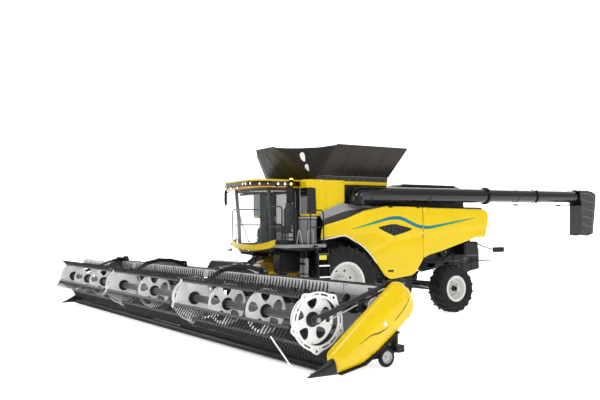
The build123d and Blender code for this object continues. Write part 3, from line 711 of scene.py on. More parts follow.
material("belt", srgb(30, 30, 32), 0.20, 6, (0.52, 0.66), 14, bump=0.6, bscale=120, bdist=0.0012, kind="weave", dust=0.12)
material("plastic", srgb(25, 25, 27), 0.2, 6, (0.46, 0.58), 14, bump=0.5, bscale=420, bdist=0.0008, kind="cell")
material("vent", srgb(38, 39, 40), 0.2, 6, (0.45, 0.6), 14, bump=0.6, bscale=60, bdist=0.002, kind="Z", stretch=(1, 1, 2))
material("fabric", srgb(25, 23, 22), 0.22, 3, (0.48, 0.62), 9, bump=0.5, bscale=240, bdist=0.0012, kind="weave", sheen=0.12)
material("seat", srgb(56, 57, 60), 0.2, 12, (0.7, 0.85), 20, bump=0.6, bscale=500, bdist=0.0012, kind="weave", sheen=0.3)
material("seam", srgb(140, 140, 140), 0.15, 30, (0.6, 0.8), 40, bump=0.4, bscale=600)
material("amber", srgb(255, 150, 20), 0.1, 20, (0.12, 0.2), 20, bump=0.5, bscale=90, kind="cell", bdist=0.002, emit=(1.0, 0.42, 0.04), emit_strength=1.2)
material("red_lens", srgb(200, 16, 14), 0.1, 20, (0.12, 0.22), 20, bump=0.6, bscale=90, kind="cell", bdist=0.002)
material("led", srgb(255, 246, 225), 0.05, 20, (0.1, 0.2), 20, bump=0.3, bscale=90, kind="cell", emit=(1.0, 0.86, 0.62), emit_strength=2.2)
material("lens", srgb(225, 228, 230), 0.05, 20, (0.06, 0.12), 20, bump=0.5, bscale=80, kind="cell", bdist=0.002)
material("beacon", srgb(255, 190, 60), 0.05, 20, (0.1, 0.2), 20, bump=0.3, bscale=90, emit=(1.0, 0.62, 0.12), emit_strength=4.0)
material("glass", srgb(120, 130, 130), 0.06, 1.2, (0.02, 0.05), 2, bump=0.02, bscale=3, bdist=0.001, alpha=0.12, spec=0.6)
material("glass_dark", srgb(18, 19, 20), 0.2, 2, (0.03, 0.07), 3, bump=0.04, bscale=4, coat=1.0, coat_rough=0.02)
material("plate_blank", srgb(216, 206, 62), 0.08, 9, (0.4, 0.5), 20, bump=0.2, bscale=160)
material("dot_white", srgb(238, 238, 236), 0.05, 9, (0.4, 0.5), 20, bump=0.2, bscale=160)
material("seal", srgb(20, 20, 21), 0.2, 9, (0.6, 0.7), 20, bump=0.3, bscale=200)
material("cab_lining", srgb(196, 196, 194), 0.06, 5, (0.6, 0.75), 12, bump=0.3, bscale=300, kind="cell", emit=(1.0, 1.0, 1.0), emit_strength=0.28)
material("cabinet", srgb(78, 81, 84), 0.10, 3, (0.34, 0.46), 12, bump=0.2, bscale=160, coat=0.2, coat_rough=0.1)
material("beam_grey", srgb(196, 195, 194), 0.12, 4, (0.34, 0.46), 12, bump=0.2, bscale=160, coat=0.2, coat_rough=0.1)
material("interior", srgb(54, 51, 48), 0.2, 5, (0.6, 0.75), 12, bump=0.4, bscale=300, kind="cell")
material("grain_floor", srgb(70, 68, 64), 0.2, 5, (0.45, 0.6), 12, bump=0.3, bscale=90, metal=0.3)


def along_y(m, stops):
    """Makes a paint change colour along the machine; stops are (y from the front axle, colour)."""
    nt = m.node_tree
    p = next(n for n in nt.nodes if n.type == "BSDF_PRINCIPLED")
    tc = nt.nodes.new("ShaderNodeTexCoord")
    sx = nt.nodes.new("ShaderNodeSeparateXYZ")
    mr = nt.nodes.new("ShaderNodeMapRange")
    nz = nt.nodes.new("ShaderNodeTexNoise")
    nz.inputs["Scale"].default_value = 6
    r = nt.nodes.new("ShaderNodeValToRGB")
    y0, y1 = stops[0][0], stops[-1][0]
    mr.inputs["From Min"].default_value, mr.inputs["From Max"].default_value = y0 + S, y1 + S
    L = nt.links.new
    L(tc.outputs["Object"], sx.inputs[0])
    L(tc.outputs["Object"], nz.inputs["Vector"])
    L(sx.outputs["Y"], mr.inputs["Value"])
    L(mr.outputs["Result"], r.inputs["Fac"])
    e = r.color_ramp.elements
    for i, (y, c) in enumerate(stops):
        q = e[0] if i == 0 else e[len(e) - 1] if i == len(stops) - 1 else e.new((y - y0) / (y1 - y0))
        q.color = (*c, 1)
    e[0].position, e[-1].position = 0, 1
    mx = nt.nodes.new("ShaderNodeMix")
    mx.data_type, mx.blend_type = "RGBA", "MULTIPLY"
    mx.inputs[0].default_value = 0.12
    L(r.outputs["Color"], mx.inputs[6])
    L(nz.outputs["Fac"], mx.inputs[7])
    L(mx.outputs[2], p.inputs["Base Color"])


material("stripe", srgb(22, 92, 158), 0.08, 3, (0.30, 0.40), 9, bump=0.08, bscale=90, coat=0.2, coat_rough=0.08)
TEAL, BLUE = srgb(0, 140, 110), srgb(0, 114, 136)
along_y(MAT["stripe"], [(0.3, TEAL), (1.0, TEAL), (1.55, BLUE), (3.0, BLUE), (3.7, TEAL), (5.1, TEAL)])

# ------------------------------------------------------------------ wheels


def lug(R, x_in, x_out, y_in, y_out, w, h, skew=0.0):
    """One tread bar wrapped on the crown: from near the middle to the shoulder, drawn on a flat strip and bent round."""
    # points along the bar (x across, y along the rim), with the bar's width and height
    n = 6
    rows = []
    for i in range(n + 1):
        t = i / n
        x = x_in + (x_out - x_in) * t
        y = y_in + (y_out - y_in) * (t ** 0.85)
        ww = w * (1 + 0.35 * t)
        rows.append((x, y, ww, h))
    return rows


def bend(x, y, r):
    a = y
    return (x, r * math.sin(a), r * math.cos(a))


def make_wheel(tag, cx, cy, R, HW, bead, hub, lugs, lh, body_t, body_r, front):
    s = 1 if cx > 0 else -1
    o = (cx, cy, R)
    RC = R - lh                      # carcass crown
    mid = (bead + R) / 2
    sh = R - 0.10 * R
    prof = [(-HW + 0.072, bead - 0.02), (-HW + 0.060, bead + 0.03), (-HW + 0.038, bead + 0.055), (-HW + 0.022, bead + 0.10), (-HW + 0.008, mid - 0.07), (-HW + 0.004, mid),
            (-HW + 0.008, mid + 0.09), (-HW + 0.018, sh - 0.05), (-HW + 0.034, sh - 0.015), (-HW + 0.062, RC - 0.018), (-HW + 0.12, RC - 0.004), (-HW * 0.45, RC), (0, RC + 0.003)]
    prof = prof + [(-x, r) for x, r in reversed(prof[:-1])]
    inner = [(HW - 0.115, bead - 0.02), (HW - 0.06, mid), (HW - 0.10, sh - 0.03), (HW - 0.16, RC - 0.06), (-HW + 0.16, RC - 0.06), (-HW + 0.10, sh - 0.03), (-HW + 0.06, mid), (-HW + 0.115, bead - 0.02)]
    P = Piece(tag + "_tread_tyre", body_t, 30)
    seg = 96
    P.add(lathe([(s * x, r) for x, r in prof + inner], o, (1, 0, 0), seg, closed=True), "rubber")
    # sidewall rings
    for r0, dr, hh in ((bead + 0.075, 0.012, 0.006), (mid - 0.02, 0.010, 0.004), (sh - 0.07, 0.010, 0.004)):
        for q in (1, -1):
            x0 = np.interp(r0, [p[1] for p in prof[:9]], [-p[0] for p in prof[:9]])
            P.add(lathe([(q * (x0 - 0.006), r0 - dr), (q * (x0 + hh), r0 - dr * 0.4), (q * (x0 + hh), r0 + dr * 0.4), (q * (x0 - 0.006), r0 + dr)], o, (1, 0, 0), seg, closed=True), "rubber")
    # chevron lugs
    w = 0.052 * (R / 1.05) ** 0.6
    step = 2 * math.pi / lugs
    V0, F0 = [], []
    n = 7
    for side in (1, -1):
        base = len(V0)
        off = 0 if side == 1 else step / 2
        for i in range(n + 1):
            t = i / n
            x = side * (-0.03 + (HW - 0.014 + 0.03) * t)
            a = off - 0.62 * step * (t ** 0.9) * 1.35
            ww = (w * (1 + 0.25 * t)) / R
            ax_ = abs(x)
            # radial height of the carcass and the lug top at this place across the tread
            rc = np.interp(ax_, [0, HW - 0.12, HW - 0.062, HW - 0.034, HW - 0.014], [RC + 0.003, RC - 0.004, RC - 0.018, sh - 0.015, sh - 0.05]) - 0.012
            top = np.interp(ax_, [0, HW - 0.10, HW - 0.055, HW - 0.014], [R - 0.001, R - 0.003, R - 0.014, sh + 0.012])
            tx = min(ax_ + 0.004 if t > 0 else ax_, HW - 0.004) * (1 if x >= 0 else -1)
            for (da, r, xx) in ((-ww * 0.62, rc, x), (-ww * 0.42, top, tx), (ww * 0.42, top, tx), (ww * 0.62, rc, x)):
                V0.append((xx, r, a + da))
        for i in range(n):
            for k in range(4):
                m = (k + 1) % 4
                F0.append([base + i * 4 + k, base + i * 4 + m, base + (i + 1) * 4 + m, base + (i + 1) * 4 + k])
        F0.append([base + 3, base + 2, base + 1, base])
        F0.append([base + n * 4 + k for k in range(4)])
        # shoulder run of the bar down the sidewall
        base = len(V0)
        aS = off - 0.62 * step * 1.35
        ww = (w * 1.25) / R
        for r, xi, xo in ((sh + 0.012, HW - 0.05, HW - 0.004), (sh - 0.03, HW - 0.03, HW - 0.002), (sh - 0.09, HW - 0.02, HW - 0.007)):
            for da, xx in ((-ww * 0.62, xi), (-ww * 0.42, xo), (ww * 0.42, xo), (ww * 0.62, xi)):
                V0.append((side * xx, r, aS - (sh - r) * 0.25 + da))
        for i in range(2):
            for k in range(4):
                m = (k + 1) % 4
                F0.append([base + i * 4 + k, base + i * 4 + m, base + (i + 1) * 4 + m, base + (i + 1) * 4 + k])
        F0.append([base + 3, base + 2, base + 1, base])
        F0.append([base + 8 + k for k in range(4)])
    V0 = np.array(V0)
    V1 = np.stack([s * V0[:, 0], V0[:, 1] * np.sin(V0[:, 2]), V0[:, 1] * np.cos(V0[:, 2])], 1)
    mats = []
    for i in range(lugs):
        a = i * step
        mats.append(Matrix.Translation(o) @ Matrix.Rotation(-a, 4, "X"))
    P.inst((V1, F0), mats, "rubber_lug")
    P.done(tag + "_tyre", "tyre_rubber")

    # rim: white disc with bolts, hub and valve
    Q = Piece(tag + "_wheel_rim", body_r, 28)
    b = HW - 0.065
    d = 0.02 * R
    dish = 0.42 if front else 0.5
    outp = [(b + 0.018, bead - 0.028), (b + 0.020, bead + 0.040), (b + 0.012, bead + 0.045), (b, bead + 0.030), (b - 0.006, bead - 0.002), (-b + 0.006, bead - 0.002), (-b, bead + 0.030),
            (-b - 0.012, bead + 0.045), (-b - 0.020, bead + 0.040), (-b - 0.018, bead - 0.028), (-b + 0.03, bead - 0.036), (-b * 0.5, bead - 0.06), (0.0, bead - 0.066), (b * 0.5, bead - 0.06), (b - 0.03, bead - 0.036)]
    Q.add(lathe([(s * x, r) for x, r in outp], o, (1, 0, 0), 80, closed=True), "white")
    disc = [(d + 0.095, bead - 0.046), (d + 0.085, bead - 0.060), (d + 0.050, bead - 0.13), (d + 0.028, hub + 0.10), (d + 0.030, hub + 0.06), (d + 0.055, hub + 0.035), (d + 0.08, hub + 0.02), (d + 0.10, hub - 0.005),
            (d + 0.10, 0.02), (d - 0.005, 0.02), (d - 0.005, hub + 0.1), (d + 0.02, bead - 0.13), (d + 0.03, bead - 0.056)]
    Q.add(lathe([(s * x, r) for x, r in disc], o, (1, 0, 0), 80, closed=True), "white")
    # hand holes shown as dark pads, hub, cap and bolts
    nh = 8 if front else 6
    rh = (hub + 0.10 + bead - 0.13) / 2
    for i in range(nh):
        a = 2 * math.pi * (i + 0.5) / nh
        c = np.array([cx + s * (d + 0.040), cy + rh * math.cos(a), R + rh * math.sin(a)])
        Q.add(tube([c + np.array([-s * 0.03, 0, 0]), c + np.array([s * 0.004, 0, 0])], [0.032 * bead / 0.56] * 2, 16), "black_matt")
    Q.add(lathe([(s * x, r) for x, r in [(d + 0.04, hub - 0.03), (d + 0.12, hub - 0.035), (d + 0.135, hub - 0.05), (d + 0.14, 0.10 * R), (d + 0.19, 0.092 * R), (d + 0.197 * R / 1.0 if R > 1 else d + 0.136, 0.06 * R), (d + 0.198 * R if R > 1 else d + 0.142, 0.0)]], o, (1, 0, 0), 48), "grey_dark" if not front else "white")
    nb = 10 if front else 8
    for i in range(nb):
        a = 2 * math.pi * i / nb
        rb = hub - 0.012 if front else hub + 0.012
        c = (cx + s * (d + (0.100 if front else 0.088)), cy + rb * math.cos(a), R + rb * math.sin(a))
        Q.add(bolt(c, (s, 0, 0), 0.016 if front else 0.012, 0.026), "steel")
    for i in range(0 if front else 8):
        a = 2 * math.pi * (i + 0.25) / (12 if front else 8)
        rr = bead - 0.078
        c = (cx + s * (d + 0.078), cy + rr * math.cos(a), R + rr * math.sin(a))
        Q.add(bolt(c, (s, 0, 0), 0.013, 0.02), "grey_light")
    va = 2.1
    Q.add(tube([(cx + s * (b * 0.55), cy + (bead - 0.075) * math.cos(va), R + (bead - 0.075) * math.sin(va)), (cx + s * (b * 0.55 + 0.03), cy + (bead - 0.11) * math.cos(va), R + (bead - 0.11) * math.sin(va))], 0.007, 8), "black")
    Q.done(tag + "_rim", "white_paint")


for tag, cx, cy, R, HW, bead, hub, lugs, lh, bt, front in (
        ("front_left", 1.64, 0.0, 1.05, 0.44, 0.56, 0.20, 22, 0.050, "front_left_wheel", True),
        ("front_right", -1.64, 0.0, 1.05, 0.44, 0.56, 0.20, 22, 0.050, "front_right_wheel", True),
        ("rear_left", 1.80, 4.05, 0.72, 0.29, 0.35, 0.13, 19, 0.042, "rear_left_wheel", False),
        ("rear_right", -1.80, 4.05, 0.72, 0.29, 0.35, 0.13, 19, 0.042, "rear_right_wheel", False)):
    make_wheel(tag, cx, cy, R, HW, bead, hub, lugs, lh, bt, bt, front)

# ------------------------------------------------------------------ yellow sides
FRONT_FLANK = [(-0.70, 2.27), (-0.66, 2.54), (-0.57, 2.66), (0.17, 2.85), (0.75, 3.06), (1.58, 3.195), (2.935, 3.18),
               (2.935, 1.62), (2.66, 1.25), (2.50, 1.17), (1.71, 1.09), (1.47, 1.22), (1.00, 1.80), (0.67, 2.09), (0.08, 2.38)]
REAR_FLANK = [(2.955, 3.18), (5.50, 3.14), (5.69, 3.07), (5.74, 2.96), (5.71, 2.62), (5.58, 2.24), (5.23, 2.27), (3.71, 1.86), (3.19, 1.75), (2.955, 1.64)]
STRIPE = [(0.31, 2.54, 0.006), (0.60, 2.603, 0.022), (0.90, 2.67, 0.038), (1.25, 2.752, 0.052), (1.50, 2.81, 0.060), (1.65, 2.84, 0.066), (1.82, 2.856, 0.070), (1.98, 2.855, 0.074),
          (2.12, 2.832, 0.076), (2.26, 2.79, 0.078), (2.48, 2.70, 0.076), (2.68, 2.63, 0.074), (2.82, 2.597, 0.072), (2.96, 2.58, 0.070), (3.10, 2.574, 0.066), (3.25, 2.58, 0.062),
          (3.6, 2.632, 0.054), (4.0, 2.695, 0.045), (4.34, 2.75, 0.036), (4.7, 2.803, 0.024), (5.06, 2.86, 0.008)]
VENT = [(1.17, 2.585), (1.70, 2.672), (1.90, 2.675), (2.56, 2.535), (2.30, 2.45), (1.81, 2.335)]


def smooth_line(P, n):
    """Catmull-Rom through rows of numbers."""
    P = np.array(P, float)
    t = np.linspace(0, len(P) - 1, n)
    Q = []
    for v in t:
        i = min(int(v), len(P) - 2)
        f = v - i
        a, b, c, d = P[max(i - 1, 0)], P[i], P[i + 1], P[min(i + 2, len(P) - 1)]
        Q.append(0.5 * (2 * b + (c - a) * f + (2 * a - 5 * b + 4 * c - d) * f * f + (3 * b - 3 * c + d - a) * f ** 3))
    return np.array(Q)


def stripe_loop(y0, y1):
    q = smooth_line(STRIPE, 90)
    q = q[(q[:, 0] >= y0) & (q[:, 0] <= y1)]
    up = [(y, z + w * 0.66 + 0.004) for y, z, w in q]
    dn = [(y, z - w * 0.66 - 0.004) for y, z, w in q]
    return up + dn[::-1]


vent_out = fillet2(VENT, 0.04, 3)
vent_in = offset_poly(np.array(vent_out), 0.022)
CREASE = [(0.10, 2.36), (0.62, 2.46), (1.20, 2.52), (1.75, 2.27), (2.45, 2.36), (2.935, 2.42)]
FOLD = [(1.02, 1.84), (1.55, 2.05), (1.86, 2.22)]


def flank_x(y, z):
    P = np.stack([y, z], 1)
    x = np.full(len(y), 1.848)
    # gentle crown and a body line above which the skin leans inwards
    x = x - 0.030 * smoothstep(2.90, 3.22, z) ** 1.5 - 0.020 * smoothstep(2.1, 1.1, z)
    d = dist(P, CREASE, False)
    line = np.interp(y, [c[0] for c in CREASE], [c[1] for c in CREASE])
    below = smoothstep(0.0, 0.30, line - z)
    x = x - 0.034 * np.where(z < line, smoothstep(0, 0.07, line - z), 0) + 0.030 * below
    x = x - 0.022 * np.exp(-(dist(P, FOLD, False) / 0.06) ** 2)
    x = x - 0.035 * smoothstep(0.2, -0.7, y) ** 2
    dv = dist(P, vent_out)
    ins = inside(P, vent_out)
    x = x - np.where(ins, 0.026 * smoothstep(0, 0.03, dv), 0)
    return x


def rear_x(y, z):
    x = np.full(len(y), 1.848)
    x = x - 0.030 * smoothstep(2.90, 3.22, z) ** 1.5 - 0.022 * smoothstep(2.4, 1.7, z)
    line = np.interp(y, [2.95, 4.2, 5.7], [2.42, 2.50, 2.64])
    x = x - 0.014 * np.where(z < line, smoothstep(0, 0.10, line - z), 0)
    x = x - 0.05 * smoothstep(5.2, 5.74, y) ** 2
    return x


sp = 0.075 if DETAIL == 1 else 0.14
ff = fillet2(FRONT_FLANK, [0.05, 0.10, 0.12, 0.6, 0.6, 0.5, 0.03, 0.10, 0.25, 0.20, 0.20, 0.35, 0.5, 0.5, 0.6], 5)
rf = fillet2(REAR_FLANK, [0.03, 0.35, 0.12, 0.2, 0.4, 0.12, 0.4, 0.5, 0.4, 0.06], 5)
front_res = panel(ff, sp, flank_x, 0.028, 0.034, [stripe_loop(-1, 2.9349), vent_out, [tuple(v) for v in vent_in]], [CREASE[:3], FOLD], 0.05)
rear_res = panel(rf, sp, rear_x, 0.028, 0.034, [stripe_loop(2.9551, 6)], [], 0.05)
for s, side in ((1, "left"), (-1, "right")):
    P = Piece(side + "_flank_skin", side + "_panel", 34)
    put_panel(P, front_res, side_x(s), ["yellow", "stripe", "black", "vent"], "black_matt")
    # louvres inside the vent, hinge barrels, gas strut bracket and inner frame
    for i in range(7):
        t = (i + 0.5) / 7
        y0 = 1.34 + 1.02 * t
        zc = np.interp(y0, [1.17, 1.81, 2.56], [2.60, 2.50, 2.52])
        hh = np.interp(y0, [1.17, 1.4, 1.85, 2.3, 2.56], [0.01, 0.045, 0.12, 0.05, 0.015])
        P.add(prism([(y0 - 0.012, zc - hh), (y0 + 0.018, zc - hh), (y0 + 0.060, zc + hh), (y0 + 0.030, zc + hh)], "X", s * 1.818, s * 1.830, 0.003), "black_matt")
    for a, b in ((1.62, 1.80), (2.68, 2.86)):
        P.add(rod((s * 1.84, a, 3.19), (s * 1.84, b, 3.19), 0.014, 14, 0.003), "black")
        P.add(rbox((s * 1.800, a + 0.03, 3.150), (s * 1.836, b - 0.03, 3.188), 0.004), "black")
    inner = [(-0.5, 2.42), (0.3, 2.62), (1.0, 2.35), (1.5, 1.75), (2.6, 1.55)]
    P.add(tube([(s * 1.802, y, z) for y, z in inner], 0.013, 6, fil=0.1), "black")
    P.add(tube([(s * 1.800, 0.3, 2.62), (s * 1.800, 1.5, 3.05), (s * 1.800, 2.8, 3.05), (s * 1.800, 2.8, 1.75)], 0.013, 6, fil=0.1), "black")
    P.add(rbox((s * 1.802, 1.60, 1.30), (s * 1.836, 1.80, 1.36), 0.006), "black")
    # pale trim bead along the wheel arch, and the black rubber lip behind it
    arch = [(-0.69, 2.262), (-0.3, 2.318), (0.06, 2.366), (0.36, 2.235), (0.66, 2.078), (0.98, 1.80), (1.30, 1.42), (1.46, 1.21)]
    aq = smooth_line(arch, 40)
    P.add(tube([(s * (1.836 - 0.03 * float(smoothstep(0.2, -0.7, y)) ** 2), y, z - 0.006) for y, z in aq[:32]], 0.016, 8), "white_disc")
    P.add(strip([(s * 1.795, y, z - 0.002) for y, z in aq], (s, 0, 0), 0.026, (0, 0, -1), 0.030), "seal")
    P.done(side + "_side_panel", "yellow_paint")

# fixed skins: rear flank, shoulder, upper panel and the roof edge
P = Piece("fixed_body_skins", "chassis", 34)
SHOULDER = [(-0.56, 2.68, 2.96), (-0.20, 2.773, 3.12), (0.17, 2.87, 3.25), (0.45, 2.975, 3.225), (0.75, 3.08, 3.19), (1.15, 3.145, 3.195), (1.58, 3.20, 3.20), (2.2, 3.192, 3.192), (2.935, 3.18, 3.18)]
for s in (1, -1):
    put_panel(P, rear_res, side_x(s), ["yellow", "stripe"], "black_matt")
    rows_top, rows_dark = [], []
    q = smooth_line(SHOULDER, 40)
    for y, zo, zi in q:
        xo, xi = 1.778, 1.535
        band = np.interp(y, [-0.56, 0.3, 0.9, 1.6], [0.42, 0.40, 0.30, 0.0])
        pm = (xo + (xi - xo) * band, y, zo + (zi - zo) * band)
        bow = 0.020 * (zi - zo + 0.05)
        dark = [(s * xo, y, zo), (s * (xo + (pm[0] - xo) * 0.5), y, zo + (pm[2] - zo) * 0.5 + bow), (s * pm[0], y, pm[2] + bow)]
        rows_dark.append(dark)
        rows_top.append([(s * (pm[0] + (xi - pm[0]) * t), y, pm[2] + (zi - pm[2]) * t + bow + 0.5 * bow * math.sin(math.pi * t) - 0.5 * bow * t) for t in (0, 0.25, 0.5, 0.75, 0.93, 1.0)])
    P.add(shell(loft(rows_dark), 0.035, (0, 0, -1)), "shoulder_dark")
    P.add(shell(loft(rows_top), 0.035, (0, 0, -1)), "shoulder_grey")
    P.add(tube([(s * 1.543, y, zi + 0.004) for y, zo, zi in q[:26]], 0.009, 8), "grey_light")
    P.add(tube([(s * 1.772, y, zo + 0.004) for y, zo, zi in q[:30]], 0.008, 8), "seal")
    # roof strip behind the split, with the black gutter
    P.add(prism([(1.30, 3.178), (1.805, 3.178), (1.82, 3.16), (1.82, 3.12), (1.30, 3.12)] if s == 1 else [(-1.30, 3.178), (-1.805, 3.178), (-1.82, 3.16), (-1.82, 3.12), (-1.30, 3.12)], "Y", 2.96, 5.42, 0.004), "black")
    P.add(rbox((s * 1.70, 2.2, 3.185), (s * 1.78, 5.3, 3.197), 0.005), "black_matt")
    # upper yellow panel: rounded side with two vertical folds
    def upper_x(y, z):
        x = np.full(len(y), 1.519)
        x = x - 0.030 * np.exp(-((y + 0.62) / 0.055) ** 2) - 0.022 * np.exp(-((y + 0.30) / 0.05) ** 2)
        x = x - 0.012 * smoothstep(-0.5, -0.95, y)
        return x
    up = fillet2([(-0.95, 2.90), (-0.95, 3.92), (0.32, 3.92), (0.32, 3.30), (0.25, 3.22), (-0.52, 2.90)], [0.02, 0.10, 0.04, 0.05, 0.05, 0.03], 4)
    put_panel(P, panel(up, 0.055 if DETAIL == 1 else 0.1, upper_x, 0.035, 0.045, [], [], 0.04), side_x(s), ["yellow"], "black_matt")
    # front return of the panel, rounded where it meets the side
    fr = panel(fillet2([(1.13, 2.90), (1.13, 3.92), (1.50, 3.92), (1.50, 2.90)], [0.02, 0.06, 0.10, 0.02], 4), 0.09, lambda x, z: np.full(len(x), 0.945), 0.022, 0.040, [], [], 0.06)
    put_panel(P, fr, (lambda q_, s=s: np.stack([s * q_[:, 0], -q_[:, 2], q_[:, 1]], 1)), ["yellow"], "black_matt")
    # dark glass recess and the grey plate under it on the front return
    P.add(prism(fillet2([(s * 1.165, 2.965), (s * 1.165, 3.690), (s * 1.505, 3.690), (s * 1.505, 2.965)], [0.01, 0.03, 0.01, 0.01], 3), "Y", -0.9535, -0.944, 0.003), "glass_dark")
    P.add(prism(fillet2([(-0.9500, 2.965), (-0.9500, 3.690), (-0.715, 3.690), (-0.675, 3.650), (-0.655, 2.965)], [0.01, 0.01, 0.04, 0.05, 0.01], 3), "X", s * 1.505, s * 1.5235, 0.004), "glass_dark")
    P.add(rbox((s * 1.135, -0.956, 2.96), (s * 1.162, -0.944, 3.70), 0.004), "grey_light")
    P.add(rbox((s * 1.500, -0.9555, 3.30), (s * 1.5275, -0.64, 3.306), 0.002), "seal")
    for (y, z) in ((-0.86, 3.84), (-0.86, 3.05), (0.24, 3.84), (0.10, 3.28)):
        P.add(bolt((s * 1.512, y, z), (s, 0, 0), 0.010, 0.010), "grey_dark")
    # black mesh wedge and brackets between the auger and the flank
    if s == 1:
        for i in range(26):
            y = 1.75 + i * 0.055
            P.add(rbox((1.46, y, 3.20), (1.475, y + 0.02, 3.20 + 0.14 * (1 - i / 30)), 0.003), "black_matt")
        P.add(prism([(1.72, 3.19), (1.72, 3.36), (3.25, 3.22), (3.25, 3.19)], "X", 1.445, 1.458, 0.003), "black_matt")
P.done("fixed_side_panels", "yellow_paint")

# engine deck: ribbed lids, screens and the rear hood
P = Piece("engine_deck_skin", "chassis", 34)
P.add(rbox((-1.28, 1.97, 3.10), (1.28, 4.92, 3.155), 0.02), "black")
P.add(prism(fillet2([(2.10, 3.15), (2.30, 3.415), (4.30, 3.415), (4.90, 3.15)], 0.08, 5), "X", -1.05, 1.05, 0.05), "black")
for i in range(30):
    y = 2.42 + i * 0.060
    P.add(rbox((-0.92, y, 3.408), (-0.10, y + 0.025, 3.424), 0.004), "black_matt")
    P.add(rbox((0.10, y, 3.408), (0.92, y + 0.025, 3.424), 0.004), "black_matt")
# slatted air screen housing along the left of the deck
P.add(prism(fillet2([(2.70, 3.38), (2.76, 3.84), (2.92, 3.895), (4.95, 3.90), (5.30, 3.85), (5.46, 3.60), (5.50, 3.10), (4.90, 3.12), (4.30, 3.40)], [0, 0.06, 0.08, 0.1, 0.1, 0.1, 0, 0, 0], 4), "X", 0.30, 0.98, 0.02), "black")
for i in range(44):
    y = 2.98 + i * 0.050
    P.add(rbox((0.33, y, 3.890), (0.95, y + 0.020, 3.916), 0.003), "black_matt")
    P.add(rbox((0.975, y, 3.50), (0.994, y + 0.020, 3.86), 0.003), "black_matt")
for x in (-0.96, -0.06, 0.06, 0.96):
    P.add(rbox((x - 0.02, 2.36, 3.405), (x + 0.02, 4.28, 3.430), 0.006), "grey_dark")
hood = fillet2([(4.91, 3.10), (5.44, 3.085), (5.64, 2.95), (5.625, 2.42), (5.56, 2.42), (5.58, 2.92), (5.40, 3.02), (4.91, 3.04)], [0, 0.12, 0.10, 0.01, 0.01, 0.08, 0.1, 0], 4)
P.add(prism(hood, "X", -1.28, 1.28, 0.012), "yellow")
P.add(rbox((-1.28, 4.90, 3.06), (1.28, 4.925, 3.15), 0.01), "black")
P.add(rbox((-1.78, 5.562, 2.42), (1.78, 5.60, 2.93), 0.012), "black_matt")
for i in range(13):
    z = 2.46 + i * 0.036
    P.add(prism([(5.598, z), (5.622, z - 0.004), (5.622, z + 0.012), (5.598, z + 0.020)], "X", -1.20, 1.20, 0.003), "black")
for x in (-1.24, -0.62, 0.0, 0.62, 1.24):
    P.add(rbox((x - 0.018, 5.60, 2.43), (x + 0.018, 5.628, 2.92), 0.006), "grey_dark")
for s in (1, -1):
    # light clusters at the rear corners
    P.add(rbox((s * 1.30, 5.600, 2.50), (s * 1.74, 5.618, 2.82), 0.010), "plastic")
    for k, (z, m) in enumerate(((2.555, "red_lens"), (2.635, "amber"), (2.715, "lens"))):
        P.add(rbox((s * 1.34, 5.616, z - 0.030), (s * 1.70, 5.630, z + 0.030), 0.012), m)
    P.add(tube([(s * 1.15, 2.2, 3.16), (s * 1.15, 2.2, 3.34), (s * 1.15, 4.6, 3.34), (s * 1.15, 4.6, 3.16)], 0.014, 8, fil=0.08), "black")
    for y in (3.0, 3.8):
        P.add(rod((s * 1.15, y, 3.15), (s * 1.15, y, 3.34), 0.011, 8), "black")
for (x, y) in ((-1.0, 4.6), (1.0, 4.6), (-1.2, 2.05), (1.2, 2.05), (0, 4.99), (0.6, 4.99), (-0.6, 4.99)):
    P.add(bolt((x, y, 3.155 if y < 4.9 else 3.098), (0, 0, 1), 0.014, 0.012), "steel")
P.done("engine_deck", "yellow_paint")

# ------------------------------------------------------------------ grain tank, its covers and the fabric corners
TX, TY0, TY1, TT = 1.42, -0.37, 1.93, 3.93
P = Piece("grain_tank_skin", "chassis", 34)


def ring4(hx, y0, y1, z, r=0.05):
    return [(x, y, z) for x, y in fillet2([(-hx, y0), (hx, y0), (hx, y1), (-hx, y1)], r, 3)]


outer = [ring4(1.02, -0.34, 1.75, 2.40), ring4(TX, TY0, TY1, 3.15), ring4(TX, TY0, TY1, TT)]
inner = [ring4(TX - 0.035, TY0 + 0.035, TY1 - 0.035, TT), ring4(TX - 0.035, TY0 + 0.035, TY1 - 0.035, 3.16), ring4(0.985, -0.305, 1.715, 2.435)]
P.add(loft(outer + inner, True, True), "black")
for s in (1, -1):
    # yellow rim band behind the upper panel, and the hinge rail of the side cover
    P.add(rbox((s * 1.418, 0.33, 3.80), (s * 1.447, 1.93, 3.905), 0.012), "yellow")
    P.add(prism([(s * 1.388, 3.905), (s * 1.425, 3.905), (s * 1.454, 4.030), (s * 1.428, 4.040)], "Y", TY0, TY1, 0.003), "black")
    for i in range(9):
        y = -0.25 + i * 0.26
        P.add(bolt((s * 1.447, y, 3.95), (s, 0, 0), 0.009, 0.008), "steel")
    # pressed ribs in the side wall under the band
    for y in (0.55, 0.95, 1.35, 1.70):
        P.add(rbox((s * 1.415, y - 0.03, 3.26), (s * 1.438, y + 0.03, 3.76), 0.012), "black")
    P.add(rbox((s * 1.42, 0.34, 3.76), (s * 1.436, 1.92, 3.79), 0.006), "seal")
P.add(prism([(TY0 + 0.03, 3.925), (TY0 - 0.002, 3.925), (TY0 - 0.005, 3.945), (-0.440, 3.950), (-0.440, 3.960), (TY0 + 0.03, 3.960)], "X", -1.30, 1.30, 0.003), "black")
P.add(prism([(TY1 - 0.03, 3.925), (TY1, 3.925), (1.973, 3.947), (1.973, 3.960), (TY1 - 0.03, 3.960)], "X", -1.30, 1.30, 0.003), "black")
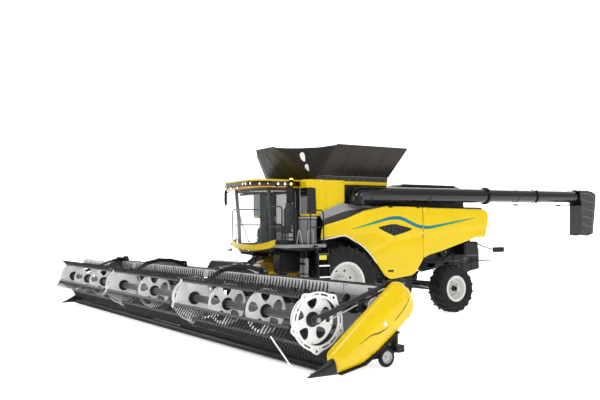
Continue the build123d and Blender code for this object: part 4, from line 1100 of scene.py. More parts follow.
# turret and its ring of bolts
P.add(rod((1.66, 0.62, 3.236), (1.66, 0.62, 3.28), 0.24, 40, 0.006), "black")
P.add(rbox((1.41, 0.50, 3.238), (1.66, 0.74, 3.276), 0.008), "black")
for i in range(10):
    a = 2 * math.pi * i / 10
    P.add(bolt((1.66 + 0.225 * math.cos(a), 0.62 + 0.225 * math.sin(a), 3.279), (0, 0, 1), 0.008, 0.006), "steel")
# ladder rungs and braces inside the tank
for z in (2.75, 3.05, 3.35, 3.65):
    P.add(rod((-0.25, TY0 + 0.07, z), (0.25, TY0 + 0.07, z), 0.012, 8), "grey_dark")
for x in (-0.25, 0.25):
    P.add(rod((x, TY0 + 0.07, 2.6), (x, TY0 + 0.07, 3.8), 0.014, 8), "grey_dark")
P.done("grain_tank", "black_paint")


def sheet_between(a, b, c, d, n_u=24, n_v=8, bow=(0, 0, 0), t=0.018, ribs=3):
    """A pressed sheet: a-b is the hinge edge and d-c the top edge."""
    a, b, c, d = [np.array(v, float) for v in (a, b, c, d)]
    nrm = np.cross(b - a, d - a)
    nrm /= np.linalg.norm(nrm)
    rows = []
    for j in range(n_v + 1):
        v = j / n_v
        row = []
        for i in range(n_u + 1):
            u = i / n_u
            p = a * (1 - u) * (1 - v) + b * u * (1 - v) + c * u * v + d * (1 - u) * v
            p = p + np.array(bow) * math.sin(math.pi * u) * math.sin(math.pi * v)
            row.append(p)
        rows.append(row)
    return rows, nrm


def make_cover(name, body, node, a, b, c, d, toward, hinge, ribs):
    P = Piece(name, body, 30)
    rows, n = sheet_between(a, b, c, d)
    tw = np.array(toward, float)
    if n @ tw < 0:
        n = -n
    P.add(shell(loft(rows), 0.0135, n), "cover")
    a, b, c, d = [np.array(v, float) for v in (a, b, c, d)]
    e = n * 0.0135
    # rolled edges and stiffening channels on the outside
    for p, q in ((a, d), (b, c), (d, c)):
        k = (q - p) / np.linalg.norm(q - p)
        P.add(tube([p + e * 0.5 + k * 0.01, q + e * 0.5 - k * 0.01], 0.0125, 8), "cover")
    for u in ribs:
        p, q = a * (1 - u) + b * u, d * (1 - u) + c * u
        w = (b - a) / np.linalg.norm(b - a)
        k = (q - p)
        P.add(strip([p + k * 0.06 + e - w * 0.025, p + k * 0.94 + e - w * 0.025], w, 0.05, n, 0.006), "cover")
    for v in (0.10, 0.90):
        p, q = a * (1 - v) + d * v, b * (1 - v) + c * v
        up = (d - a) / np.linalg.norm(d - a)
        k = q - p
        P.add(strip([p + k * 0.02 + e - up * 0.02, q - k * 0.02 + e - up * 0.02], up, 0.04, n, 0.005), "cover")
    h0, h1 = [np.array(v, float) for v in hinge]
    L = np.linalg.norm(h1 - h0)
    k = (h1 - h0) / L
    m = int(L / 0.22)
    for i in range(m):
        p = h0 + k * (L * (i + 0.12) / m)
        P.add(rod(p, p + k * (L * 0.5 / m), 0.0135, 12, 0.002), "black")
    for i in range(m):
        p = h0 + k * (L * (i + 0.37) / m)
        up = (d - a) / np.linalg.norm(d - a)
        P.add(bolt(p + up * 0.055 + e * 1.35, n, 0.008, 0.006), "steel")
    return P


for s, side in ((1, "left"), (-1, "right")):
    P = make_cover(side + "_cover_sheet", side + "_cover", None, (s * 1.47, -0.50, 4.06), (s * 1.47, 1.92, 4.06), (s * 2.20, 2.04, 4.84), (s * 2.20, -0.42, 4.84), (s, 0, -1),
                   ((s * 1.47, -0.45, 4.06), (s * 1.47, 1.88, 4.06)), (0.25, 0.5, 0.75))
    P.done("tank_cover_" + side, "dark_plastic")
P = make_cover("front_cover_sheet", "front_cover", None, (-1.28, -0.46, 3.985), (1.28, -0.46, 3.985), (0.52, -1.40, 4.88), (-0.52, -1.40, 4.88), (0, -1, -1),
               ((-1.24, -0.46, 3.985), (1.24, -0.46, 3.985)), (0.33, 0.67))
P.done("tank_cover_front", "dark_plastic")
P = make_cover("rear_cover_sheet", "rear_cover", None, (-1.28, 2.00, 3.985), (1.28, 2.00, 3.985), (0.62, 2.70, 4.70), (-0.62, 2.70, 4.70), (0, 1, -1),
               ((-1.24, 2.00, 3.985), (1.24, 2.00, 3.985)), (0.33, 0.67))
P.done("tank_cover_rear", "dark_plastic")


def fabric_corner(name, p, p2, c, d, seed, sag, spot):
    """A coated cloth gusset hung between the edges of two covers; it hangs from its two sides and dips along the top."""
    p, p2, c, d = [np.array(v, float) for v in (p, p2, c, d)]
    n_r, n_c = (34, 40) if DETAIL == 1 else (18, 20)
    nrm = np.cross(c - p, d - p)
    nrm /= np.linalg.norm(nrm)
    if nrm[2] > 0:
        nrm = -nrm
    rnd = np.random.RandomState(seed)
    ph = rnd.rand(4) * 6
    rows = []
    for i in range(n_r + 1):
        v = (i / n_r)
        row = []
        for j in range(n_c + 1):
            u = j / n_c
            q = (p + (c - p) * v) * (1 - u) + (p2 + (d - p2) * v) * u
            hang = math.sin(math.pi * u)
            q = q + np.array([0, 0, -sag]) * (v ** 3) * hang * 1.0
            # folds fan out of the foot and die at the clamped edges
            f = 0.0
            for m, amp in ((3, 0.020), (5, 0.010), (8, 0.004)):
                f += amp * math.sin(m * math.pi * u + ph[m % 4] + 1.3 * v)
            f *= hang * min(1.0, v * 1.6) * (0.55 + 0.45 * math.sin(2.6 * v + ph[0]))
            q = q + nrm * (f + 0.030 * hang * v * (1 - v) * 2)
            row.append(q)
        rows.append(row)
    P = Piece(name, "chassis", 50)
    P.add(shell(loft(rows), 0.0035, nrm), "fabric")
    cloth = P.done(None, "cover_fabric")
    g_ = np.array(rows)
    q1 = np.linalg.norm(np.cross(g_[1:, 1:] - g_[:-1, :-1], g_[1:, :-1] - g_[:-1, 1:]), axis=2).sum() / 2
    P = Piece(name + "_trim", "chassis", 50)
    # hems: a doubled strip with a line of stitches along the top and both sides
    def edge(line, off):
        P.add(tube([np.array(q) + nrm * off for q in line], 0.006, 6), "fabric")
    edge(rows[-1], 0.002)
    edge([r[0] for r in rows[1:]], 0.002)
    edge([r[-1] for r in rows[1:]], 0.002)
    top = [np.array(q) for q in rows[-2]]
    for k in range(0, len(top) - 1):
        a = top[k] + (top[k + 1] - top[k]) * 0.2
        b = top[k] + (top[k + 1] - top[k]) * 0.7
        P.add(tube([a + nrm * 0.0045, b + nrm * 0.0045], 0.0014, 4), "seam")
        P.add(tube([a - nrm * 0.0015, b - nrm * 0.0015], 0.0014, 4), "seam")
    # eyelets down the sides
    for r in rows[5::6]:
        for q, w in ((np.array(r[1]), 1), (np.array(r[-2]), 1)):
            P.add(tube([q - nrm * 0.003, q + nrm * 0.008], 0.012, 12), "grey_dark")
    # blank pale patches
    for (u, v, rx, ry) in spot:
        def on_cloth(uu, vv):
            fi, fj = min(max(vv, 0), 1) * n_r, min(max(uu, 0), 1) * n_c
            i, j = min(int(fi), n_r - 1), min(int(fj), n_c - 1)
            fi, fj = fi - i, fj - j
            return g_[i, j] * (1 - fi) * (1 - fj) + g_[i + 1, j] * fi * (1 - fj) + g_[i, j + 1] * (1 - fi) * fj + g_[i + 1, j + 1] * fi * fj
        # the oval stands upright on the slope of the cloth
        eu, ev = (on_cloth(u + 0.05, v) - on_cloth(u - 0.05, v)) / 0.1, (on_cloth(u, v + 0.05) - on_cloth(u, v - 0.05)) / 0.1
        flat_ = np.cross((0.0, 0.0, 1.0), np.cross(eu, ev))
        flat_ /= np.linalg.norm(flat_)
        rise = np.cross(np.cross(eu, ev), flat_)
        rise /= np.linalg.norm(rise)
        sol = np.linalg.pinv(np.stack([eu, ev], 1))
        rr = []
        for k_ in (1.0, 0.97, 0.75, 0.5, 0.25, 0.04):
            row_ = []
            for k in range(28):
                a = 2 * math.pi * k / 28
                du, dv = sol @ (k_ * (rx * math.cos(a) * flat_ + ry * math.sin(a) * rise))
                row_.append(on_cloth(u + du, v + dv))
            rr.append(row_)
        P.add(loft([[w + nrm * 0.002 for w in rr[0]]] + [[w + nrm * (0.006 if k_ else 0.0045) for w in r_] for k_, r_ in enumerate(rr)], True, True), "dot_white")
    top_w = float(np.linalg.norm(np.diff(g_[-1], axis=0), axis=1).sum())
    mid_h = float(np.linalg.norm(np.diff(g_[:, n_c // 2], axis=0), axis=1).sum())
    trim = P.done(None, "cover_fabric")
    return cloth, trim, top_w, mid_h, float(q1)


corners = []
SPOTS = [(0.66, 0.675, 0.078, 0.140), (0.83, 0.31, 0.062, 0.110)]
for s, side in ((1, "left"), (-1, "right")):
    # two blank pale ovals, one above the other, on the left front gusset
    spots = SPOTS if s == 1 else []
    corners.append(fabric_corner("fabric_front_" + side, (s * 1.462, -0.512, 4.062), (s * 1.268, -0.485, 4.004), (s * 2.178, -0.440, 4.815), (s * 0.556, -1.372, 4.848), 3 + s, 0.05, spots))
    corners.append(fabric_corner("fabric_rear_" + side, (s * 1.462, 1.938, 4.065), (s * 1.268, 2.020, 4.004), (s * 2.178, 2.058, 4.815), (s * 0.655, 2.680, 4.672), 9 + s, 0.04, []))
for cloth, trim, w, h, ar in corners:
    for ob in (cloth, trim):
        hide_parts("tank_corner_fabric")
        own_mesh(ob)
    side = "left" if cloth.name.endswith("left") else "right"
    end = "front" if "front" in cloth.name else "rear"
    # each gusset is cut as a wedge with a narrow foot, so its area is given as well as the rectangle it is cut from
    print("CLOTH", cloth.name, round(w, 3), round(h, 3), round(ar, 3))

# ------------------------------------------------------------------ unloading auger and spout
P = Piece("auger_tube", "auger", 32)
elbow = [(1.66, 0.62, 3.292), (1.66, 0.62, 3.36), (1.661, 0.625, 3.44), (1.664, 0.68, 3.505), (1.672, 0.80, 3.522), (1.69, 1.30, 3.523)]
P.add(tube(fillet2(elbow, 0.05, 4, False), 0.209, 40), "black_gloss")
main = [(1.66 + 0.09 * t, 0.72 + (5.60 - 0.72) * t, 3.52 + 0.035 * t) for t in np.linspace(0, 1, 30)]
P.add(tube(main, 0.218, 48), "black_gloss")
outer = [(1.75, 5.62 + (10.0 - 5.62) * t, 3.565 + 0.035 * t) for t in np.linspace(0, 1, 30)]
P.add(tube(outer, 0.198, 48), "black_gloss")
# rounded knuckle between the two tubes, its flanges and bolts
P.add(lathe([(-0.04, 0.215), (-0.04, 0.268), (-0.022, 0.270), (-0.018, 0.262), (0.018, 0.262), (0.022, 0.270), (0.04, 0.268), (0.04, 0.20)], (1.75, 5.63, 3.558), (0, 1, 0), 56), "black_gloss")
for i in range(14):
    a = 2 * math.pi * i / 14
    P.add(bolt((1.75 + 0.245 * math.cos(a), 5.59, 3.557 + 0.245 * math.sin(a)), (0, -1, 0), 0.010, 0.010), "steel")
    P.add(bolt((1.75 + 0.245 * math.cos(a), 5.67, 3.558 + 0.245 * math.sin(a)), (0, 1, 0), 0.010, 0.010), "steel")
for y, r in ((1.02, 0.2255), (3.2, 0.2235), (7.05, 0.204), (7.95, 0.234)):
    z = 3.523 if y < 5 else 3.577 + (y - 7.05) * 0.008
    x = 1.66 + 0.09 * min(1, max(0, (y - 0.72) / 4.88))
    P.add(lathe([(-0.045, r - 0.012), (-0.040, r), (0.040, r), (0.045, r - 0.012)], (x, y, z), (0, 1, 0), 56), "black")
P.add(rbox((1.94, 7.90, 3.53), (1.99, 8.0, 3.62), 0.01), "black")
# weld seams along the tube, the work lamp hooks below it
P.add(tube([(x - 0.155, y, z + 0.155) for x, y, z in main], 0.004, 6), "black")
P.add(tube([(x - 0.14, y, z + 0.141) for x, y, z in outer], 0.004, 6), "black")
for y0, y1 in ((6.92, 7.72), (9.02, 9.86)):
    P.add(tube([(1.75, y0, 3.375), (1.75, y0 + 0.02, 3.32), (1.75, y0 + 0.16, 3.29), (1.75, (y0 + y1) / 2, 3.295), (1.75, y1 - 0.10, 3.30), (1.75, y1, 3.38)], 0.013, 8, fil=0.05), "black")
    P.add(rbox((1.71, y0 + 0.06, 3.265), (1.79, y0 + 0.22, 3.315), 0.015), "plastic")
    P.add(rbox((1.715, y0 + 0.07, 3.255), (1.785, y0 + 0.20, 3.270), 0.006), "lens")
# hydraulic line clipped along the upper inner side
hose = [(x - 0.205, y, z + 0.03 + 0.006 * math.sin(y * 4)) for x, y, z in main[2:]] + [(1.75 - 0.285, 5.63, 3.60)] + [(x - 0.19, y, z + 0.02 + 0.006 * math.sin(y * 4)) for x, y, z in outer[2:-2]]
P.add(tube(hose, 0.011, 8), "black_matt")
for k in range(5, len(hose) - 2, 5):
    P.add(rbox((hose[k][0] - 0.016, hose[k][1] - 0.012, hose[k][2] - 0.016), (hose[k][0] + 0.022, hose[k][1] + 0.012, hose[k][2] + 0.016), 0.005), "steel")
P.done("unloading_auger", "black_paint")

P = Piece("spout_shell", "spout", 32)
top = [(10.03, 3.82), (10.50, 3.82), (10.92, 3.66), (10.70, 2.31), (10.42, 2.24), (10.06, 2.27), (10.10, 3.30)]
sec = [(1.505, 0), (1.505, 1)]
outl = fillet2(top, [0.03, 0.10, 0.14, 0.03, 0.05, 0.02, 0.3], 4)
# two cheeks
for s in (-1, 1):
    P.add(prism(outl, "X", 1.75 + s * 0.250, 1.75 + s * 0.226, 0.010), "spout_grey")
# back, top and front skins as ribbed sheets, the bottom open
back = smooth_line([(10.50, 3.815), (10.72, 3.775), (10.885, 3.70), (10.912, 3.60), (10.88, 3.35), (10.80, 2.85), (10.70, 2.33)], 26)
front_ = smooth_line([(10.10, 3.30), (10.09, 3.0), (10.075, 2.6), (10.062, 2.29)], 12)
P.add(shell(loft([[(1.75 + x, y - 0.014 * 0, z) for x in np.linspace(-0.235, 0.235, 7)] for y, z in back]), 0.02, (0, -0.95, -0.25)), "spout_grey")
P.add(rbox((1.515, 10.035, 3.795), (1.985, 10.52, 3.819), 0.01), "spout_grey")
P.add(shell(loft([[(1.75 + x, y, z) for x in np.linspace(-0.235, 0.235, 7)] for y, z in front_]), 0.018, (0, 1, 0)), "spout_grey")
# collar around the tube mouth
P.add(lathe([(0.0, 0.226), (0.0, 0.242), (0.05, 0.246), (0.09, 0.236), (0.09, 0.226)], (1.75, 10.03, 3.602), (0, 1, 0), 48, closed=True), "black")
# raised seam lines across the cheeks and the back
for y, z in ((10.80, 3.40), (10.77, 3.12), (10.74, 2.84), (10.71, 2.56)):
    for s in (-1, 1):
        P.add(tube([(1.75 + s * 0.2505, 10.11, z + 0.10), (1.75 + s * 0.2505, y, z - 0.03)], 0.0055, 6), "grey")
for s in (-1, 1):
    P.add(tube([(1.75 + s * 0.2505, 10.12, 3.70), (1.75 + s * 0.2505, 10.50, 3.72), (1.75 + s * 0.2505, 10.78, 3.60), (1.75 + s * 0.2505, 10.62, 2.32)], 0.006, 6, fil=0.08), "grey")
    P.add(rod((1.75 + s * 0.225, 10.03, 3.81), (1.75 + s * 0.28, 10.03, 3.81), 0.02, 16, 0.003), "steel")
    for z in (3.5, 3.1, 2.7, 2.4):
        P.add(bolt((1.75 + s * 0.250, 10.15, z), (s, 0, 0), 0.009, 0.008), "steel")
# rubber mouth strip and cylinder under the top
P.add(tube([(1.53, 10.08, 2.275), (1.97, 10.08, 2.275), (1.97, 10.42, 2.248), (1.97, 10.68, 2.318), (1.53, 10.68, 2.318), (1.53, 10.42, 2.248)], 0.012, 8, closed=True), "seal")
P.done("auger_spout", "dark_plastic")

# ------------------------------------------------------------------ cab
# floor pan with the curved yellow band round its front, mat and lamps
P = Piece("cab_floor_pan", "chassis", 32)
fl = [(-1.0, -0.44), (1.0, -0.44), (1.0, -1.76), (0.5, -2.02), (-0.5, -2.02), (-1.0, -1.76)]
P.add(prism(fillet2(fl, [0.02, 0.02, 0.14, 0.4, 0.4, 0.14], 5), "Z", 1.925, 2.128, 0.02), "grey_dark")
P.add(prism(fillet2([(-0.92, -0.50), (0.92, -0.50), (0.92, -1.72), (0.46, -1.95), (-0.46, -1.95), (-0.92, -1.72)], 0.12, 4), "Z", 2.126, 2.140, 0.005), "interior")
for i in range(16):
    x = -0.75 + i * 0.10
    P.add(rbox((x - 0.015, -1.80, 2.136), (x + 0.015, -1.25, 2.146), 0.004), "rubber")


def band(path, zs, thick, mat, side_dir=None):
    """A skirt that follows a plan line; zs gives (lower, upper) at each point."""
    rows = []
    L = [np.array(p, float) for p in path]
    n = len(L)
    for i, p in enumerate(L):
        t = L[min(i + 1, n - 1)] - L[max(i - 1, 0)]
        nrm = np.array([t[1], -t[0]]) / (np.linalg.norm(t) + 1e-9)
        lo, hi = zs[i]
        q = p - nrm * thick
        mid = (lo + hi) / 2
        rows.append([(p[0], p[1], lo), (p[0] + nrm[0] * 0.012, p[1] + nrm[1] * 0.012, mid), (p[0], p[1], hi), (q[0], q[1], hi), (q[0], q[1], lo)])
    P.add(loft(rows, True, True), mat)


# the band sweeps from the right front corner round the nose and out to the platform
bx = smooth_line([(-0.99, -1.86, 2.24, 2.18), (-0.62, -2.16, 2.21, 2.13), (-0.30, -2.25, 2.15, 2.045), (0.20, -2.30, 2.11, 1.990), (0.70, -2.28, 2.10, 1.985), (1.05, -2.22, 2.12, 1.995), (1.40, -2.10, 2.19, 2.045), (1.62, -2.06, 2.24, 2.11)], 32)
band([(x, y) for x, y, h, l in bx], [(l, h) for x, y, h, l in bx], 0.035, "yellow")
bx2 = smooth_line([(-0.99, -1.855, 2.275, 2.235), (-0.62, -2.155, 2.245, 2.205), (-0.30, -2.245, 2.185, 2.145), (0.20, -2.295, 2.145, 2.105), (0.70, -2.275, 2.135, 2.095), (1.05, -2.215, 2.155, 2.115), (1.40, -2.095, 2.225, 2.185), (1.62, -2.055, 2.275, 2.235)], 32)
band([(x, y) for x, y, h, l in bx2], [(l, h) for x, y, h, l in bx2], 0.05, "yellow")
# pale step plate behind the band, lamps and the centre bracket under it
P.add(prism(fillet2([(-0.80, -1.86), (-0.52, -2.10), (-0.20, -2.20), (0.25, -2.24), (0.62, -2.22), (0.88, -2.12), (0.90, -1.84), (0.5, -2.0), (-0.5, -2.0)], 0.03, 3), "Z", 2.085, 2.105, 0.004), "grey_light")
for c, m in (((0.60, -2.24, 2.00), "led"), ((0.05, -2.24, 1.99), "lens")):
    P.add(lathe([(0.0, 0.050), (-0.03, 0.048), (-0.032, 0.040), (-0.026, 0.0)], c, (0, 1, 0), 24), "plastic")
    P.add(lathe([(-0.034, 0.0), (-0.033, 0.03), (-0.026, 0.040)], c, (0, 1, 0), 24), m)
P.add(rbox((-0.45, -1.95, 1.86), (0.30, -1.20, 1.93), 0.03), "black_matt")
P.add(rbox((0.55, -1.65, 1.80), (0.95, -0.55, 1.93), 0.03), "black_matt")
P.add(tube([(-0.60, -2.18, 2.02), (-0.74, -2.16, 1.96), (-0.90, -2.08, 1.955)], 0.016, 8), "black")
P.add(rbox((-1.0, -2.12, 1.93), (-0.80, -2.04, 1.98), 0.012), "black")
P.done("cab_floor", "dark_plastic")

# frame: curved front posts, wide door posts, rear wall, header rail
P = Piece("cab_frame_posts", "chassis", 34)
SEC = fillet2([(-1, -1), (1, -1), (1, 1), (-1, 1)], 0.5, 3)


def post(path, w, d, mat="grey_dark"):
    """A post of rounded rectangular section."""
    sec = [(x * w / 2, y * d / 2) for x, y in SEC]
    path = fillet2(path, 0.25, 5, False)
    rows = []
    for p in path:
        rows.append([(p[0] + x, p[1] + y, p[2]) for x, y in sec])
    P.add(loft(rows, True, True), mat)


for s in (1, -1):
    post([(s * 0.955, -1.735, 2.13), (s * 0.962, -1.755, 2.8), (s * 0.955, -1.84, 3.69)], 0.075, 0.10, "grey_dark" if s == 1 else "grey")
    post([(s * 0.962, -0.955, 2.13), (s * 0.962, -0.955, 2.9), (s * 0.962, -0.965, 3.69)], 0.070, 0.15, "grey_dark")
    post([(s * 0.962, -0.49, 2.13), (s * 0.962, -0.49, 2.9), (s * 0.962, -0.49, 3.69)], 0.070, 0.08, "black")
    P.add(rbox((s * 0.955, -0.90, 2.14), (s * 0.985, -0.52, 2.72), 0.012), "black_matt")
    P.add(rbox((s * 0.958, -0.90, 2.72), (s * 0.982, -0.52, 3.60), 0.006), "glass_dark")
    P.add(rbox((s * 0.930, -1.82, 3.615), (s * 1.000, -0.44, 3.685), 0.015), "grey_dark")
    # seal line beside the door post
    P.add(rbox((s * 0.985, -1.008, 2.16), (s * 0.997, -0.995, 3.60), 0.003), "grey_light")
# header rail behind the windscreen, sun blind roll and wipers' box
hr = [(x, y + 0.055, 3.655) for x, y in [(-0.93, -1.82), (-0.5, -1.985), (0.5, -1.985), (0.93, -1.82)]]
P.add(tube(fillet2(hr, 0.2, 5, False), 0.032, 10), "grey_dark")
P.add(tube([(-0.70, -1.84, 3.56), (0.70, -1.84, 3.56)], 0.030, 14), "interior")
P.add(rbox((-0.93, -0.54, 3.60), (0.93, -0.44, 3.68), 0.012), "black")
P.add(rbox((-0.93, -0.49, 2.14), (0.93, -0.445, 2.75), 0.010), "cab_lining")
P.add(rbox((-0.93, -0.49, 3.50), (0.93, -0.445, 3.62), 0.010), "cab_lining")
for s in (1, -1):
    P.add(rbox((s * 0.93, -0.49, 2.75), (s * 0.60, -0.445, 3.50), 0.010), "cab_lining")
# pale roller blind drawn down inside the rear window
P.add(rbox((-0.63, -0.512, 2.70), (0.63, -0.502, 3.53), 0.003), "cab_lining")
P.add(tube([(-0.62, -0.512, 3.55), (0.62, -0.512, 3.55)], 0.020, 12), "cab_lining")
for z in (2.30, 2.45, 2.60):
    P.add(rbox((-0.55, -0.497, z - 0.02), (0.55, -0.489, z + 0.02), 0.004), "vent")
P.done("cab_frame", "black_paint")

P = Piece("right_hand_rails", "chassis", 34)
P.add(rbox((-1.36, -1.80, 2.09), (-0.99, -0.52, 2.13), 0.010), "black")
P.add(rbox((-1.375, -1.82, 2.085), (-1.345, -0.52, 2.145), 0.006), "grey_dark")
P.add(tube([(-1.33, -1.76, 2.12), (-1.33, -1.78, 3.15), (-1.33, -0.60, 3.15), (-1.33, -0.60, 2.12)], 0.017, 10, fil=0.09), "black")
P.add(tube([(-1.33, -1.65, 2.12), (-1.33, -1.66, 2.69)], 0.014, 10), "black")
P.add(rod((-1.33, -1.77, 2.69), (-1.33, -0.60, 2.69), 0.014, 10), "black")
for y in (-1.40, -0.90):
    P.add(rbox((-1.34, y - 0.03, 2.00), (-0.99, y + 0.03, 2.09), 0.008), "black")
P.done(None, "black_paint")

# glass: a bowed windscreen, right-hand pane and rear window
P = Piece("cab_glazing", "chassis", 40)
rows = []
for k, z in enumerate(np.linspace(2.15, 3.68, 12)):
    lean = -0.010 * math.sin(math.pi * k / 11)
    line = fillet2([(-0.965, -1.815), (-0.50, -1.990), (0.50, -1.990), (0.965, -1.815)], 0.9, 9, False)
    rows.append([(x, y + lean, z) for x, y in line])
P.add(shell(loft(rows), 0.006, (0, 1, 0)), "glass")
P.add(rbox((-0.975, -1.715, 2.15), (-0.966, -1.005, 3.595), 0.002), "glass")
P.add(rbox((-0.595, -0.475, 2.755), (0.595, -0.468, 3.495), 0.002), "glass")
# wiper: arm, blade and pivot
P.add(rod((0.10, -2.005, 2.22), (0.10, -1.98, 2.22), 0.02, 16, 0.003), "black")
P.add(tube([(0.10, -2.008, 2.22), (-0.18, -2.012, 2.60), (-0.42, -2.008, 2.96)], 0.008, 6, fil=0.1), "black")
P.add(tube([(-0.30, -2.010, 2.62), (-0.42, -2.007, 2.96), (-0.56, -2.002, 3.32)], 0.006, 6), "black")
P.done("cab_glass", "clear_glass")

# door
P = Piece("door_frame", "cab_door", 32)
w = 0.058
for a, b in (((0.945, -1.712, 2.16), (0.985, -1.712 + w, 3.59)), ((0.945, -1.010 - w, 2.16), (0.985, -1.010, 3.59)), ((0.945, -1.70, 2.16), (0.985, -1.02, 2.24)), ((0.945, -1.70, 3.53), (0.985, -1.02, 3.59))):
    P.add(rbox(a, b, 0.012), "grey_dark")
P.add(tube([(0.985, -1.66, 2.24), (0.985, -1.66, 3.53), (0.985, -1.06, 3.53), (0.985, -1.06, 2.24)], 0.006, 6, closed=True), "seal")
P.add(tube([(0.985, -1.675, 2.76), (1.012, -1.675, 2.77), (1.012, -1.675, 2.89), (0.985, -1.675, 2.90)], 0.009, 10, fil=0.02), "silver")
P.add(rbox((0.983, -1.692, 2.80), (0.992, -1.655, 2.86), 0.003), "plastic")
P.add(tube([(0.945, -1.60, 2.5), (0.915, -1.60, 2.5), (0.915, -1.12, 2.62), (0.945, -1.12, 2.62)], 0.012, 8, fil=0.05), "plastic")
for z in (2.35, 2.85, 3.30):
    P.add(rod((0.985, -1.010, z), (0.985, -1.010, z + 0.12), 0.008, 12, 0.002), "steel")
    P.add(rbox((0.976, -1.06, z + 0.02), (0.990, -1.012, z + 0.10), 0.003), "black")
P.done("cab_door", "black_paint")
P = Piece("door_pane", "cab_door", 40)
rows = [[(0.9625 + 0.005 * math.sin(math.pi * i / 8) * math.sin(math.pi * j / 8), -1.659 + (0.598) * i / 8, 2.241 + 1.288 * j / 8) for i in range(9)] for j in range(9)]
P.add(shell(loft(rows), 0.005, (1, 0, 0)), "glass")
P.add(rbox((0.969, -1.64, 2.26), (0.9705, -1.62, 3.50), 0.0005), "seal")
P.done("cab_door_glass", "clear_glass")

# roof: yellow cap, orange under-brow, black light bar and lamps
P = Piece("roof_cap", "chassis", 34)
out_ = [(-1.10, -0.42), (1.10, -0.42), (1.12, -1.90), (0.80, -2.36), (-0.80, -2.36), (-1.12, -1.90)]
plan = fillet2(out_, [0.10, 0.10, 0.35, 0.35, 0.35, 0.35], 6)


def plan_at(d, z):
    return [(x, y, z) for x, y in (offset_poly(plan, d) if d else plan)]


P.add(loft([plan_at(0.035, 3.868), plan_at(0.008, 3.874), plan_at(0.0, 3.886), plan_at(0.004, 3.902), plan_at(0.03, 3.916), plan_at(0.09, 3.927), plan_at(0.22, 3.935), plan_at(0.45, 3.938)], True, True), "yellow")
P.add(loft([plan_at(0.075, 3.730), plan_at(0.040, 3.740), plan_at(0.026, 3.79), plan_at(0.032, 3.872)], True, True), "black_gloss")
P.add(loft([plan_at(0.11, 3.690), plan_at(0.055, 3.695), plan_at(0.018, 3.706), plan_at(0.020, 3.728), plan_at(0.06, 3.738)], True, True), "yellow_deep")
# rear quarter of the roof is yellow over the whole height
for s in (1, -1):
    P.add(rbox((s * 1.02, -0.86, 3.705), (s * 1.105, -0.43, 3.865), 0.03), "yellow_deep")
# headliner
P.add(prism(fillet2([(-0.92, -0.56), (0.92, -0.56), (0.92, -1.74), (0.46, -1.92), (-0.46, -1.92), (-0.92, -1.74)], 0.08, 4), "Z", 3.672, 3.694, 0.006), "cab_lining")
# ribs pressed into the top
for x in (-0.6, -0.2, 0.2, 0.6):
    P.add(prism([(-0.75, 3.934), (-0.80, 3.946), (-1.85, 3.946), (-1.90, 3.934)], "X", x - 0.05, x + 0.05, 0.008), "yellow")


def lamp(c, n, r=0.031, m="led"):
    """A round lamp: housing, bezel and lens, pointing along n."""
    n = np.array(n, float) / np.linalg.norm(n)
    P.add(lathe([(-0.045, 0.0), (-0.045, r * 0.7), (-0.01, r * 1.15), (0.006, r * 1.18), (0.010, r * 1.02)], c, n, 24), "plastic")
    P.add(lathe([(0.012, 0.0), (0.010, r * 0.5), (0.004, r * 1.02)], c, n, 24), m)


for x, z in ((0.39, 3.808), (0.56, 3.808), (0.76, 3.808)):
    yy = -2.335 if x < 0.7 else -2.30
    lamp((x, yy, z), (0.12, -1, -0.05))
for x in (-0.39, -0.56, -0.76):
    lamp((x, -2.335 if x > -0.7 else -2.30, 3.795), (-0.12, -1, -0.05), m="lens")
for x, y in ((0.93, -2.11), (1.045, -1.93)):
    lamp((x, y, 3.795), (0.8, -0.6, -0.05))
for x, y in ((-0.93, -2.11), (-1.045, -1.93)):
    lamp((x, y, 3.795), (-0.8, -0.6, -0.05), m="lens")
for y in (-1.62, -1.40):
    lamp((1.090, y, 3.795), (1, -0.15, -0.05))
    lamp((-1.090, y, 3.795), (-1, -0.15, -0.05), m="lens")
# stalk lamps at the right front corner, beacon on its bracket at the left rear
for x, y in ((-0.30, -2.345), (0.10, -2.345)):
    P.add(tube([(x, y + 0.04, 3.74), (x, y, 3.71), (x, y - 0.005, 3.70)], 0.010, 8), "black")
    lamp((x, y - 0.0, 3.715), (0.1, -1, -0.1), 0.030, "led")
P.add(rbox((1.075, -1.30, 3.86), (1.15, -1.12, 3.885), 0.006), "black")
P.add(lathe([(0, 0), (0.0, 0.045), (0.02, 0.05), (0.03, 0.045)], (1.115, -1.21, 3.885), (0, 0, 1), 24), "black")
P.add(lathe([(0.03, 0.0), (0.03, 0.041), (0.055, 0.042), (0.070, 0.034), (0.075, 0.0)], (1.115, -1.21, 3.885), (0, 0, 1), 24), "beacon")
lamp((1.10, -1.21, 3.80), (1, -0.1, -0.1), 0.036, "beacon")
